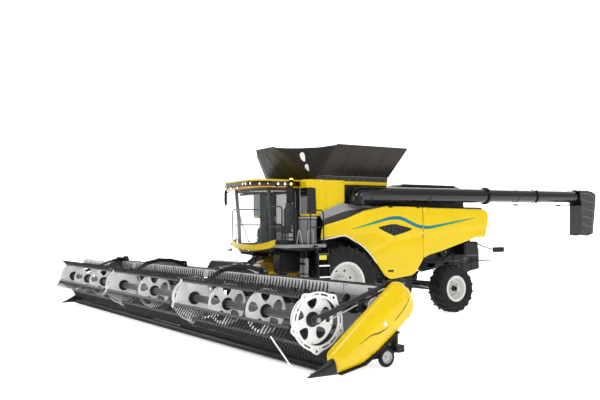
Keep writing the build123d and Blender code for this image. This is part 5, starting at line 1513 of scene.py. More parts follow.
# left mirror arm and head, right mirror
for s in (1, -1):
    arm = [(s * 1.06, -1.70, 3.72), (s * 1.24, -1.60, 3.74), (s * 1.35, -1.48, 3.72)] if s == 1 else [(-1.04, -1.86, 3.72), (-1.20, -1.96, 3.70), (-1.27, -1.99, 3.62)]
    P.add(tube(arm, 0.016, 10, fil=0.08), "black")
    cx_, cy_ = (1.36, -1.42) if s == 1 else (-1.30, -2.00)
    body = fillet2([(-0.10, -0.24), (0.10, -0.24), (0.10, 0.24), (-0.10, 0.24)], 0.05, 5)
    rows_ = []
    for d, k in ((0.0, 0.80), (0.012, 0.95), (0.04, 1.0), (0.062, 0.86), (0.070, 0.5)):
        rows_.append([(cx_ + u * k * 0.35 * 1.0, cy_ + d + u * k * 0.94 * 0, 3.50 + v * k) for u, v in body])
    ang = 28 if s == 1 else -20
    VF = loft([[(u * k, -d, v * k) for u, v in body] for d, k in ((0.0, 0.90), (0.010, 1.0), (0.04, 0.98), (0.062, 0.80), (0.070, 0.45))], True, True)
    VF = turn(VF, "Z", ang)
    P.add(move(VF, (cx_, cy_ + 0.02, 3.50)), "plastic")
    VF = turn(loft([[(u * k, 0.004 - e, v * k) for u, v in body] for e, k in ((0.004, 0.86), (0.0, 0.86))], True, True), "Z", ang)
    P.add(move(VF, (cx_, cy_ + 0.02, 3.50)), "chrome")
P.done("cab_roof", "yellow_paint")

# operator's seat: base, armrest and controls here, cushions after it
P = Piece("seat_base", "chassis", 34)
P.add(rbox((-0.18, -1.0, 2.14), (0.18, -0.68, 2.20), 0.02), "grey_dark")
for i in range(7):
    z = 2.22 + i * 0.032
    P.add(rbox((-0.16 + 0.004 * (i % 2), -0.98, z), (0.16 - 0.004 * (i % 2), -0.70, z + 0.022), 0.010), "rubber")
P.add(rbox((-0.22, -1.06, 2.45), (0.22, -0.64, 2.515), 0.02), "plastic")
P.add(rbox((-0.465, -1.20, 2.64), (-0.30, -0.66, 2.72), 0.03), "plastic")
P.add(rbox((-0.44, -0.90, 2.45), (-0.20, -0.80, 2.65), 0.02), "plastic")
P.add(rbox((-0.455, -1.18, 2.715), (-0.31, -1.02, 2.735), 0.01), "glass_dark")
P.add(tube([(-0.385, -1.0, 2.72), (-0.385, -1.02, 2.785)], [0.026, 0.022], 12), "seal")
P.add(ball((-0.385, -1.02, 2.80), 0.032, 14), "plastic")
P.add(rbox((-0.20, -0.60, 2.66), (0.20, -0.545, 3.28), 0.025), "plastic")
for s in (-1, 1):
    P.add(rod((s * 0.08, -0.60, 3.10), (s * 0.08, -0.60, 3.20), 0.008, 8), "steel")
P.done(None, "seat_fabric")


def cushion(name, lo, hi, channels, axis_n, puff, seed):
    """A padded cushion swollen by the cloth solver from a block, with sewn channels and a piped seam."""
    lo, hi = np.array(lo, float), np.array(hi, float)
    bm = bmesh.new()
    bmesh.ops.create_cube(bm, size=1.0)
    for v in bm.verts:
        v.co = Vector((lo + hi) / 2 + np.array(v.co) * (hi - lo)) + Vector((0, S, 0))
    bmesh.ops.bevel(bm, geom=bm.edges[:], offset=0.022, segments=3, affect="EDGES", profile=0.6)
    me = bpy.data.meshes.new(name)
    bm.to_mesh(me)
    bm.free()
    ob = bpy.data.objects.new(name, me)
    scene.collection.objects.link(ob)
    dep = bpy.context.evaluated_depsgraph_get()
    r = ob.modifiers.new("remesh", "REMESH")
    r.mode, r.voxel_size = "VOXEL", 0.0095
    r.use_smooth_shade = True
    dep.update()
    me2 = bpy.data.meshes.new_from_object(ob.evaluated_get(bpy.context.evaluated_depsgraph_get()))
    ob.modifiers.clear()
    ob.data = me2
    rest = np.array([v.co for v in me2.vertices])
    c = ob.modifiers.new("cloth", "CLOTH")
    st = c.settings
    st.quality, st.mass = 4, 0.3
    st.use_pressure, st.uniform_pressure_force = True, 4.0
    st.tension_stiffness = st.compression_stiffness = 12
    st.bending_stiffness = 0.6
    st.effector_weights.gravity = 0
    c.point_cache.frame_start, c.point_cache.frame_end = 1, 20
    for f in range(1, 21):
        scene.frame_set(f)
    ev = ob.evaluated_get(bpy.context.evaluated_depsgraph_get())
    me3 = bpy.data.meshes.new_from_object(ev)
    ob.modifiers.clear()
    scene.frame_set(1)
    moved = np.array([v.co for v in me3.vertices])
    if len(moved) == len(rest):
        d = moved - rest
        n = np.linalg.norm(d, axis=1)
        cap = np.minimum(1.0, 0.014 / np.maximum(n, 1e-9))
        rest2 = rest + d * cap[:, None]
    else:
        rest2 = rest
    me3.vertices.foreach_set("co", rest2.astype(np.float32).ravel())
    me3.update()
    ob.data = me3
    scene.frame_set(1)
    me = ob.data
    co = np.array([v.co for v in me.vertices])
    k = [0, 1, 2]
    k.remove(axis_n)
    mid = (lo + hi) / 2 + np.array([0, S, 0])
    ext = (hi - lo) / 2
    u = (co[:, k[0]] - mid[k[0]]) / ext[k[0]]
    v = (co[:, k[1]] - mid[k[1]]) / ext[k[1]]
    crown = np.clip((1 - u ** 2), 0, 1) * np.clip((1 - v ** 2), 0, 1)
    face = (co[:, axis_n] - mid[axis_n]) / ext[axis_n]
    sgn = puff[1]
    top = smoothstep(0.2, 0.8, face * sgn)
    groove = np.zeros(len(co))
    for (ax_, pos, wid) in channels:
        q = u if ax_ == 0 else v
        groove += np.exp(-((q - pos) / wid) ** 2)
    co[:, axis_n] += sgn * top * (puff[0] * crown - 0.012 * groove * np.clip(crown * 3, 0, 1))
    me.vertices.foreach_set("co", co.astype(np.float32).ravel())
    me.polygons.foreach_set("use_smooth", np.ones(len(me.polygons), bool))
    me.update()
    me.materials.clear()
    me.materials.append(MAT["seat"])
    sb = ob.modifiers.new("smooth", "SUBSURF")
    sb.levels = sb.render_levels = 1
    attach(ob, "chassis")
    return ob


cush = cushion("seat_cushion", (-0.245, -1.085, 2.515), (0.245, -0.635, 2.635), [(0, -0.62, 0.05), (0, 0.62, 0.05), (1, -0.1, 0.05)], 2, (0.014, 1), 1)
back = cushion("seat_backrest", (-0.235, -0.665, 2.66), (0.235, -0.575, 3.16), [(0, -0.62, 0.05), (0, 0.62, 0.05), (1, 0.1, 0.035), (1, -0.4, 0.035)], 1, (0.018, -1), 2)
head = cushion("seat_headrest", (-0.14, -0.645, 3.19), (0.14, -0.575, 3.335), [(0, 0.0, 0.03)], 1, (0.010, -1), 3)
for ob in (cush, back, head):
    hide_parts("operator_seat")

# steering column, wheel, pedals and the screen beside it
P = Piece("steering_group", "chassis", 34)
P.add(tube([(0, -1.62, 2.145), (0, -1.60, 2.24), (0, -1.44, 2.76)], [0.075, 0.056, 0.050], 20, fil=0.03), "grey_dark")
P.add(tube([(0, -1.45, 2.70), (0, -1.40, 2.86)], [0.055, 0.032], 20), "plastic")
wheel = lathe([(0.016 * math.cos(a), 0.19 + 0.016 * math.sin(a)) for a in np.linspace(0, 2 * math.pi, 14)[:-1]], (0, -1.40, 2.86), (0, 0.30, 1), 48, closed=True)
P.add(wheel, "plastic")
ax_ = np.array([0, 0.30, 1.0]) / math.hypot(0.30, 1)
e1 = np.array([1.0, 0, 0])
e2 = np.cross(ax_, e1)
for k in (90, 210, 330):
    d = e1 * math.cos(math.radians(k)) + e2 * math.sin(math.radians(k))
    c = np.array([0, -1.40, 2.86])
    P.add(tube([c - ax_ * 0.015, c + d * 0.09 - ax_ * 0.012, c + d * 0.185], [0.020, 0.014, 0.012], 10), "plastic")
P.add(lathe([(-0.03, 0.05), (0.008, 0.052), (0.016, 0.04), (0.018, 0.0)], (0, -1.40, 2.86), ax_, 24), "plastic")
P.add(rbox((-0.10, -1.60, 2.142), (-0.03, -1.70, 2.20), 0.01), "steel")
P.add(rbox((0.03, -1.60, 2.142), (0.10, -1.70, 2.20), 0.01), "steel")
P.done("steering_column", "dark_plastic")

# ------------------------------------------------------------------ header
P = Piece("header_beams", "header", 32)
# top beam in pressed light-grey sections, with darker joints and bolts
P.add(prism(fillet2([(-2.98, 1.24), (-2.965, 1.44), (-2.74, 1.44), (-2.72, 1.24), (-2.74, 1.22), (-2.96, 1.22)], 0.02, 3), "X", -7.75, 7.75, 0.004), "beam_grey")
for i in range(11):
    x = -7.5 + i * 1.5
    P.add(rbox((x - 0.010, -2.982, 1.228), (x + 0.010, -2.972, 1.430), 0.003), "grey_dark")
    P.add(bolt((x + 0.10, -2.980, 1.40), (0, -1, 0), 0.009, 0.007), "grey_dark")
    P.add(bolt((x + 0.10, -2.982, 1.26), (0, -1, 0), 0.009, 0.007), "grey_dark")
# the pale pressed face of the near half of the beam
P.add(prism(fillet2([(-2.984, 1.262), (-2.974, 1.402), (-2.960, 1.402), (-2.960, 1.262)], 0.004, 2), "X", 2.62, 7.56, 0.003), "beam_grey")
P.add(prism(fillet2([(-2.984, 1.262), (-2.974, 1.402), (-2.960, 1.402), (-2.960, 1.262)], 0.004, 2), "X", -0.30, 2.30, 0.003), "grey")
P.add(tube([(-7.7, -2.95, 1.455), (7.7, -2.95, 1.455)], 0.014, 8), "black")
P.add(tube([(-7.6, -2.78, 1.455), (-0.3, -2.78, 1.455)], 0.011, 8), "black_matt")
P.add(tube([(2.7, -2.78, 1.455), (7.6, -2.78, 1.455)], 0.011, 8), "black_matt")
P.add(rbox((-7.70, -2.98, 0.24), (7.70, -2.80, 0.38), 0.02), "black")
# arched cover over the feed opening: light edge, dark mesh face and a red lamp
arch = smooth_line([(-0.25, 1.445), (0.10, 1.535), (0.60, 1.578), (1.00, 1.585), (1.40, 1.578), (1.95, 1.53), (2.30, 1.45)], 30)
P.add(prism([(-0.25, 1.42)] + [tuple(q) for q in arch] + [(2.30, 1.42)], "Y", -2.955, -2.74, 0.008), "black")
P.add(strip([(x, -2.966, z - 0.004) for x, z in arch], (0, 0.235, 0), 1.0, (0, 0, 1), 0.010), "grey_light")
for i in range(30):
    x = -0.05 + i * 0.075
    z = np.interp(x, arch[:, 0], arch[:, 1])
    P.add(rbox((x - 0.006, -2.966, 1.44), (x + 0.006, -2.955, z - 0.012), 0.002), "grey_dark")
P.add(lathe([(0.0, 0.032), (0.014, 0.030), (0.018, 0.0)], (0.62, -2.962, 1.515), (0, -1, 0), 20), "red_lens")
# rounded drive box beside it
P.add(prism(fillet2([(-4.50, 1.42), (-4.50, 1.50), (-4.36, 1.588), (-2.80, 1.588), (-2.64, 1.50), (-2.64, 1.42)], [0, 0.05, 0.08, 0.08, 0.05, 0], 4), "Y", -2.95, -2.75, 0.02), "grey_dark")
for x in (-4.2, -3.6, -3.0):
    P.add(rbox((x - 0.02, -2.955, 1.45), (x + 0.02, -2.945, 1.57), 0.004), "black")
# back sheets with swages
for s in (1, -1):
    P.add(rbox((s * 1.05, -3.018, 0.36), (s * 7.70, -2.985, 1.24), 0.006), "grey")
    for z in (0.62, 0.86, 1.08):
        P.add(prism([(-3.018, z - 0.03), (-3.030, z - 0.012), (-3.030, z + 0.012), (-3.018, z + 0.03)], "X", s * 1.10, s * 7.66, 0.002), "grey")
    for i in range(13):
        x = s * (1.30 + i * 0.52)
        P.add(bolt((x, -3.018, 1.19), (0, -1, 0), 0.009, 0.006), "grey_dark")
        P.add(bolt((x, -3.018, 0.44), (0, -1, 0), 0.009, 0.006), "grey_dark")
    P.add(rbox((s * 1.045, -3.022, 0.36), (s * 1.075, -2.84, 1.24), 0.006), "black")
    P.add(rbox((s * 7.540, -3.024, 0.355), (s * 7.712, -2.976, 1.236), 0.006), "black")
for x in (-7.50, -5.7, -3.8, -1.9, 1.9, 3.8, 5.7, 7.50):
    P.add(rbox((x - 0.04, -2.95, 0.30), (x + 0.04, -2.84, 1.30), 0.012), "black")
    P.add(prism([(-2.84, 0.36), (-2.84, 0.70), (-2.81, 0.36)], "X", x - 0.012, x + 0.012, 0.003), "black")
for x in (-7.50, -6.4, -5.1, -3.8, -2.5, -1.2, 1.2, 2.5, 3.8, 5.1, 6.4, 7.50):
    P.add(prism(fillet2([(-2.82, 0.24), (-2.82, 0.36), (-3.2, 0.21), (-4.60, 0.13), (-4.60, 0.09), (-3.2, 0.15)], 0.02, 2), "X", x - 0.04, x + 0.04, 0.008), "black")
for x in (-0.7, 0.7):
    P.add(rbox((x - 0.05, -2.80, 0.30), (x + 0.05, -2.68, 0.38), 0.008), "black")
    P.add(rbox((x - 0.05, -2.74, 1.26), (x + 0.05, -2.68, 1.32), 0.008), "black")
for c in (-7.66, -2.45, 2.45, 7.66):
    for x0, x1 in ((c - 0.085, c - 0.06), (c + 0.06, c + 0.085)):
        P.add(prism(fillet2([(-2.96, 1.42), (-2.76, 1.42), (-2.80, 1.62), (-2.92, 1.62)], [0, 0, 0.05, 0.05], 5), "X", x0, x1, 0.004), "black")
for s in (1, -1):
    P.add(rod((s * 7.568, -2.95, 0.27), (s * 7.568, -3.21, 0.18), 0.020, 12), "black")
    P.add(rod((s * 7.560, -3.21, 0.18), (s * 7.594, -3.21, 0.18), 0.014, 12), "steel")
    P.add(rbox((s * 7.548, -3.00, 0.235), (s * 7.588, -2.97, 0.33), 0.006), "black")
    # red reflector on the near end of the beam
    if s == 1:
        P.add(rbox((6.84, -3.000, 1.175), (7.10, -2.984, 1.255), 0.006), "red_lens")
        P.add(rbox((6.82, -2.990, 1.160), (7.12, -2.960, 1.400), 0.006), "black")
# hydraulic pipes behind the beam
for k, (y, z) in enumerate(((-2.70, 1.36), (-2.70, 1.32), (-2.70, 0.34))):
    pts = [(x, y - 0.004 * math.sin(x * 3 + k), z + 0.006 * math.sin(x * 2 + k)) for x in np.linspace(1.2, 7.4, 26)]
    P.add(tube(pts, 0.010, 6), "black_matt")
    P.add(tube([(-x, b, c) for x, b, c in pts], 0.010, 6), "black_matt")
P.done("header_frame", "black_paint")

# draper belts: carcass, cleats and guides
P = Piece("draper_belting", "header", 32)
DK = [(-3.10, 0.27), (-3.10, 0.36), (-4.50, 0.235), (-4.50, 0.155)]
for x0, x1 in ((1.06, 7.58), (-7.58, -1.06)):
    P.add(prism(DK, "X", x0, x1, 0.010), "belt")
    n = int((x1 - x0) / 0.15)
    for i in range(n):
        x = x0 + 0.09 + i * (x1 - x0 - 0.16) / (n - 1)
        P.add(prism([(-3.13, 0.350), (-3.13, 0.366), (-4.46, 0.248), (-4.46, 0.232)], "X", x - 0.010, x + 0.010, 0.004), "rubber")
    P.add(prism([(-3.105, 0.352), (-3.105, 0.368), (-3.15, 0.364), (-3.15, 0.348)], "X", x0 + 0.02, x1 - 0.02, 0.003), "black")
    P.add(prism([(-4.44, 0.228), (-4.44, 0.250), (-4.495, 0.245), (-4.495, 0.223)], "X", x0 + 0.02, x1 - 0.02, 0.004), "black")
P.add(prism([(-3.06, 0.505), (-3.06, 0.475), (-4.50, 0.165), (-4.50, 0.225)], "X", -1.0, 1.0, 0.012), "belt")
for i in range(13):
    t = i / 12
    y, z = -3.12 - 1.30 * t, 0.500 - 0.262 * t
    P.add(rbox((-0.97, y - 0.012, z - 0.006), (0.97, y + 0.012, z + 0.016), 0.005), "rubber")
P.done("draper_belts", "belt_rubber")

# cutter bar: guards, knife sections, crop ramp and skids
P = Piece("cutter_bar_guards", "header", 34)
P.add(prism([(-4.605, 0.08), (-4.605, 0.138), (-4.655, 0.138), (-4.70, 0.125), (-4.70, 0.085)], "X", -7.68, 7.68, 0.004), "black")
g = tube([(0, -4.66, 0.108), (0, -4.76, 0.106), (0, -4.835, 0.094)], [0.014, 0.012, 0.003], 8)
knife = prism([(-0.036, -4.70), (0.036, -4.70), (0.008, -4.775), (-0.008, -4.775)], "Z", 0.112, 0.117, 0.0)
step_ = 0.1016
n = int(15.3 / step_)
for s in (1, -1):
    P.add(prism([(-4.47, 0.130), (-4.47, 0.152), (-4.60, 0.142), (-4.62, 0.125), (-4.60, 0.085)], "X", s * 1.02, s * 7.66, 0.003), "black")
P.add(prism([(-4.47, 0.130), (-4.47, 0.152), (-4.60, 0.142), (-4.62, 0.125), (-4.60, 0.085)], "X", -1.02, 1.02, 0.003), "black")
P.inst(g, [Matrix.Translation((-7.65 + i * step_, 0, 0)) for i in range(n + 1)], "black")
P.inst(rbox((-0.018, -4.70, 0.112), (0.018, -4.66, 0.138), 0.004), [Matrix.Translation((-7.65 + i * step_, 0, 0)) for i in range(n + 1)], "black")
P.inst(knife, [Matrix.Translation((-7.60 + i * step_, 0, 0)) for i in range(n)], "grey_dark")
P.inst(bolt((0, -4.63, 0.138), (0, 0, 1), 0.008, 0.006), [Matrix.Translation((-7.60 + i * step_, 0, 0)) for i in range(n)], "steel")
P.done("cutter_bar", "bright_steel")

# end shields: full glossy shells with a dark wave line
SH = [(-4.48, 0.05), (-4.66, 0.36), (-3.12, 1.57), (-2.97, 1.57), (-2.80, 1.40), (-2.71, 1.20), (-2.73, 1.00), (-3.09, 0.70), (-3.54, 0.38), (-3.90, 0.17)]
sh = fillet2(SH, [0.10, 0.14, 0.10, 0.12, 0.25, 0.15, 0.25, 0.5, 0.5, 0.4], 6)
WAVE = smooth_line([(-4.06, 0.525, 0.010), (-3.81, 0.660, 0.022), (-3.62, 0.695, 0.026), (-3.46, 0.755, 0.018), (-3.36, 0.805, 0.006)], 26)
wave = [(y, z + w / 2) for y, z, w in WAVE] + [(y, z - w / 2) for y, z, w in WAVE[::-1]]


def shield_x(y, z):
    Pq = np.stack([y, z], 1)
    x = np.full(len(y), 7.958)
    d = dist(Pq, sh)
    x = x - 0.070 * (1 - smoothstep(0.0, 0.30, d)) ** 2
    # the upper side leans inwards above a soft shoulder that runs from the nose to the top
    line = np.interp(y, [-4.7, -4.3, -3.6, -3.0, -2.7], [0.25, 0.44, 0.92, 1.30, 1.40])
    x = x - 0.045 * smoothstep(0.0, 0.22, z - line)
    # a hollow runs below it
    x = x - 0.026 * np.exp(-(dist(Pq, [(-3.95, 0.30), (-3.45, 0.62), (-3.00, 0.95), (-2.80, 1.18)], False) / 0.09) ** 2)
    return x


for s in (1, -1):
    P = Piece(("left" if s == 1 else "right") + "_end_shield", "header", 36)
    put_panel(P, panel(sh, 0.05 if DETAIL == 1 else 0.1, shield_x, 0.055, 0.13, [wave], [], 0.04), side_x(s), ["yellow", "black"], "black_matt")
    # inner face plate, top edge flange and the black skid below
    P.add(prism([tuple(q) for q in offset_poly(np.array(sh), 0.035)], "X", s * 7.765, s * 7.800, 0.010), "black_matt")
    P.add(tube([(s * 7.80, -4.62, 0.40), (s * 7.80, -3.14, 1.555), (s * 7.80, -3.00, 1.555), (s * 7.80, -2.83, 1.40)], 0.014, 8, fil=0.06), "yellow" if s == 1 else "black_matt")
    P.add(strip([(s * 7.79, y, z) for y, z in [(-4.44, 0.048), (-3.90, 0.160), (-3.56, 0.368), (-3.12, 0.680)]], (s, 0, 0), 0.14, (0, 0.5, -0.86), 0.018), "black_matt")
    # round blank boss and a dark shut line near the top rear
    def skin(y, z):
        return s * (float(shield_x(np.array([y]), np.array([z]))[0]) + 0.002)
    c = (skin(-3.48, 0.845), -3.48, 0.845)
    P.add(lathe([(-0.03, 0.040), (0.004, 0.039), (0.008, 0.033), (0.009, 0.0)], c, (s, 0, 0), 28), "dot_white")
    P.add(tube([(skin(y, z), y, z) for y, z in ((-3.25, 0.885), (-3.15, 0.975), (-3.06, 1.06), (-2.99, 1.14), (-2.93, 1.22), (-2.89, 1.285))], 0.005, 6, fil=0.05), "seal")
    for y, z in ((-4.30, 0.30), (-3.75, 0.32), (-2.90, 0.93)):
        P.add(bolt((s * 7.925, y, z), (s, 0, 0), 0.010, 0.010), "grey_dark")
    P.done("end_shields", "yellow_paint")

# dividers: black cone noses and the bent white rods
P = Piece("divider_noses", "header", 36)
for s in (1, -1):
    rows = []
    for t in np.linspace(0, 1, 12):
        y = -4.50 - 0.59 * t
        zt = 0.335 - 0.275 * t ** 0.85 - 0.0 * t
        zb = 0.042
        hw = 0.078 * (1 - 0.80 * t)
        r = []
        for k in range(16):
            a = 2 * math.pi * k / 16
            cc, ss = math.cos(a), math.sin(a)
            r.append((s * 7.86 + hw * np.sign(cc) * abs(cc) ** 0.7, y - 0.09 * (1 - t) * (0.5 + 0.5 * ss) * 1.0, (zt + zb) / 2 + (zt - zb) / 2 * np.sign(ss) * abs(ss) ** 0.7))
        rows.append(r)
    P.add(loft(rows, True, True), "black")
    P.add(tube([(s * 7.84, -4.98, 0.10), (s * 7.84, -5.12, 0.108), (s * 7.84, -5.30, 0.14), (s * 7.84, -5.7875, 0.80)], 0.0125, 12, fil=0.10), "white_disc")
    P.add(rod((s * 7.84, -4.94, 0.097), (s * 7.84, -5.02, 0.103), 0.020, 12, 0.004), "steel")
P.done("crop_dividers", "dark_plastic")

P = Piece("gauge_wheel_tyres", "header_gauge_wheels", 30)
for s in (1, -1):
    o = (0, -3.21, 0.18)
    P.add(lathe([(s * x, r) for x, r in [(7.604, 0.115), (7.601, 0.140), (7.606, 0.166), (7.622, 0.1792), (7.658, 0.1792), (7.674, 0.166), (7.679, 0.140), (7.676, 0.115)]], o, (1, 0, 0), 48), "rubber")
    P.add(lathe([(s * x, r) for x, r in [(7.606, 0.0), (7.606, 0.026), (7.626, 0.032), (7.634, 0.092), (7.608, 0.112), (7.606, 0.120), (7.674, 0.120), (7.672, 0.112), (7.648, 0.092), (7.656, 0.032), (7.678, 0.026), (7.678, 0.0)]], o, (1, 0, 0), 48), "grey_light")
    for i in range(5):
        a = 2 * math.pi * i / 5
        P.add(bolt((s * 7.650, -3.21 + 0.064 * math.cos(a), 0.18 + 0.064 * math.sin(a)), (s, 0, 0), 0.008, 0.008), "steel")
        P.add(rod((s * 7.646, -3.21 + 0.050 * math.cos(a + 0.6), 0.18 + 0.050 * math.sin(a + 0.6)), (s * 7.652, -3.21 + 0.050 * math.cos(a + 0.6), 0.18 + 0.050 * math.sin(a + 0.6)), 0.011, 12), "black")
    for i in range(32):
        a = 2 * math.pi * i / 32
        c = np.array([s * 7.64, -3.21 + 0.1780 * math.cos(a), 0.18 + 0.1780 * math.sin(a)])
        P.add(tube([c + np.array([-0.024, 0, 0]), c + np.array([0.024, 0, 0])], 0.0032, 5), "rubber")
P.done("gauge_wheels", "tyre_rubber")

# upper cross auger: drum, real helical flights and end discs
P = Piece("cross_auger_flights", "upper_cross_auger", 30)
o = np.array([0, -3.22, 1.08])
P.add(lathe([(-7.45, 0.0), (-7.45, 0.092), (-7.442, 0.10), (7.442, 0.10), (7.45, 0.092), (7.45, 0.0)], o, (1, 0, 0), 40), "black_gloss")


def helix(x0, x1, pitch, hand, r0=0.098, r1=0.187, t=0.006):
    n = int(abs(x1 - x0) / pitch * 26)
    rows = []
    for i in range(n + 1):
        x = x0 + (x1 - x0) * i / n
        a = hand * 2 * math.pi * (x - x0) / pitch
        c, q = math.cos(a), math.sin(a)
        rows.append([(x - t / 2, -3.22 + r0 * c, 1.08 + r0 * q), (x - t / 2, -3.22 + r1 * c, 1.08 + r1 * q), (x + t / 2, -3.22 + r1 * c, 1.08 + r1 * q), (x + t / 2, -3.22 + r0 * c, 1.08 + r0 * q)])
    return loft(rows, True, True)


P.add(helix(1.3, 7.30, 0.50, 1), "black")
P.add(helix(-7.30, -1.3, 0.50, 1), "black")
for x in (-7.36, 7.36):
    P.add(lathe([(-0.008, 0.099), (-0.008, 0.186), (0.008, 0.186), (0.008, 0.099)], o + np.array([x, 0, 0]), (1, 0, 0), 48), "white_disc")
for x in (-0.9, -0.45, 0, 0.45, 0.9):
    for k in range(3):
        a = x * 2 + k * 2.094
        c = np.array([x, -3.22 + 0.098 * math.cos(a), 1.08 + 0.098 * math.sin(a)])
        d = np.array([0, math.cos(a), math.sin(a)])
        P.add(tube([c, c + d * 0.085], 0.010, 8), "steel")
P.done("cross_auger", "black_paint")

# ------------------------------------------------------------------ reel
RY, RZ, RR = -4.77, 0.98, 0.475
P = Piece("reel_arm_beams", "reel_frame", 32)
STR = [(-2.82, 1.50), (-2.82, 1.57), (-2.90, 1.60), (-3.30, 1.54), (-4.60, 1.10), (-4.87, 1.05), (-4.87, 0.91), (-4.70, 0.91), (-4.55, 0.985), (-3.34, 1.43), (-3.05, 1.50)]
ARC = [(-2.82, 1.48), (-2.82, 1.57), (-2.90, 1.61), (-3.25, 1.69), (-3.65, 1.72), (-4.05, 1.63), (-4.40, 1.41), (-4.70, 1.12), (-4.87, 1.06),
       (-4.87, 0.91), (-4.69, 0.91), (-4.58, 1.09), (-4.33, 1.335), (-4.02, 1.52), (-3.65, 1.61), (-3.25, 1.585), (-3.00, 1.50)]
for x in (-7.66, -2.45, 2.45, 7.66):
    q = fillet2(ARC if abs(x) < 3 else STR, 0.14 if abs(x) < 3 else 0.06, 4)
    P.add(prism(q if abs(x) < 3 else [tuple(v) for v in offset_poly(np.array(q), 0.012)], "X", x - 0.030, x + 0.030, 0.010), "black")
    # side plates, pivot pin, bearing housing and clamp bolts at the reel end
    for d in (-1, 1):
        if abs(x) < 3:
            P.add(prism([tuple(v) for v in offset_poly(np.array(q), 0.018)], "X", x + d * 0.0285, x + d * 0.048, 0.003), "black")
        else:
            P.add(prism([tuple(v) for v in offset_poly(np.array(q), 0.030)], "X", x + d * 0.0285, x + d * 0.036, 0.003), "black")
        P.add(lathe([(0, 0.030), (0.004, 0.075), (0.012, 0.078), (0.014, 0.070), (0.014, 0.050)], (x + d * 0.036, RY, RZ), (d, 0, 0), 28), "grey_dark")
        for k in range(4):
            a = math.radians(45 + 90 * k)
            P.add(bolt((x + d * 0.047, RY + 0.062 * math.cos(a), RZ + 0.062 * math.sin(a)), (d, 0, 0), 0.007, 0.006), "steel")
    P.add(rod((x - 0.095, -2.86, 1.53), (x + 0.095, -2.86, 1.53), 0.020, 18, 0.003), "steel")
    if abs(x) < 3:
        # white wear bits and clips over the top
        for y, z in ((-3.30, 1.700), (-3.66, 1.722), (-4.02, 1.642)):
            P.add(rbox((x - 0.045, y - 0.035, z - 0.010), (x + 0.045, y + 0.035, z + 0.006), 0.004), "grey_light")
        P.add(tube([(x + 0.03, -2.95, 1.56), (x + 0.046, -3.3, 1.60), (x + 0.046, -3.66, 1.63), (x + 0.046, -4.05, 1.55), (x + 0.046, -4.42, 1.30), (x + 0.046, -4.66, 1.05)], 0.009, 8, fil=0.15), "black_matt")
    else:
        # reel slide cylinder along the end arm: black barrel and bright rod
        sx = 1 if x > 0 else -1
        xx = x - sx * 0.020
        P.add(rod((xx, -3.16, 1.440), (xx, -3.86, 1.185), 0.021, 16, 0.004), "black_gloss")
        P.add(rod((xx, -3.84, 1.192), (xx, -4.50, 0.952), 0.012, 12), "chrome")
        P.add(rbox((xx - 0.02, -4.54, 0.925), (xx + 0.02, -4.48, 1.02), 0.006), "black")
        P.add(rbox((xx - 0.02, -3.20, 1.41), (xx + 0.02, -3.13, 1.50), 0.006), "black")
        P.add(rbox((x - 0.046, -3.20, 1.50), (x + 0.046, -3.04, 1.59), 0.01), "black")
P.done("reel_arms", "black_paint")

SECT = [(-7.55, -2.59), (-2.36, 2.31), (2.54, 7.55)]
P = Piece("reel_bats_and_tines", "reel", 32)
for x0, x1 in SECT:
    P.add(lathe([(x0, 0.0), (x0, 0.078), (x0 + 0.006, 0.085), (x1 - 0.006, 0.085), (x1, 0.078), (x1, 0.0)], (0, RY, RZ), (1, 0, 0), 32), "grey_dark")
for x0, x1 in ((-7.75, -7.50), (-2.65, -2.3), (2.25, 2.6), (7.50, 7.75)):
    P.add(rod((x0, RY, RZ), (x1, RY, RZ), 0.044, 20, 0.004), "steel")
bat_sec = [(-1, -0.75), (-0.4, -1), (0.4, -1), (1, -0.75), (1, 0.75), (0.4, 1), (-0.4, 1), (-1, 0.75)]
tine = loft([[(w, y - t, z), (w, y + t, z), (-w, y + t, z), (-w, y - t, z)] for w, t, y, z in
             ((0.021, 0.011, 0.0, -0.012), (0.021, 0.010, -0.002, -0.070), (0.018, 0.008, -0.006, -0.140), (0.015, 0.007, -0.002, -0.205), (0.010, 0.004, 0.010, -0.262))], True, True)
clamp = rbox((-0.022, -0.020, -0.036), (0.022, 0.020, -0.020), 0.006)
bolt_ = bolt((0, -0.026, -0.010), (0, -1, 0), 0.006, 0.006)
FEATHER = [24, 18, 43, 30, 20]
for x0, x1 in SECT:
    n = int((x1 - x0 - 0.12) / 0.118)
    xs = [x0 + 0.06 + (x1 - x0 - 0.12) * i / n for i in range(n + 1)]
    for i in range(5):
        a = math.radians(72 * i + 50)
        cy, cz = RY + RR * math.cos(a), RZ + RR * math.sin(a)
        P.add(tube([(x0, cy, cz), (x1, cy, cz)], 0.030, section=bat_sec), "black")
        tilt = Matrix.Rotation(math.radians(72 * i + 50 + FEATHER[i] - 270), 4, "X")
        P.inst(tine, [Matrix.Translation((x, cy, cz)) @ tilt for x in xs], "plastic")
        P.inst(clamp, [Matrix.Translation((x, cy, cz)) @ tilt for x in xs], "plastic")
        P.inst(bolt_, [Matrix.Translation((x, cy, cz)) @ tilt for x in xs[::2]], "steel")
P.done("reel_tube_and_bats", "black_paint")

P = Piece("reel_disc_plates", "reel", 32)


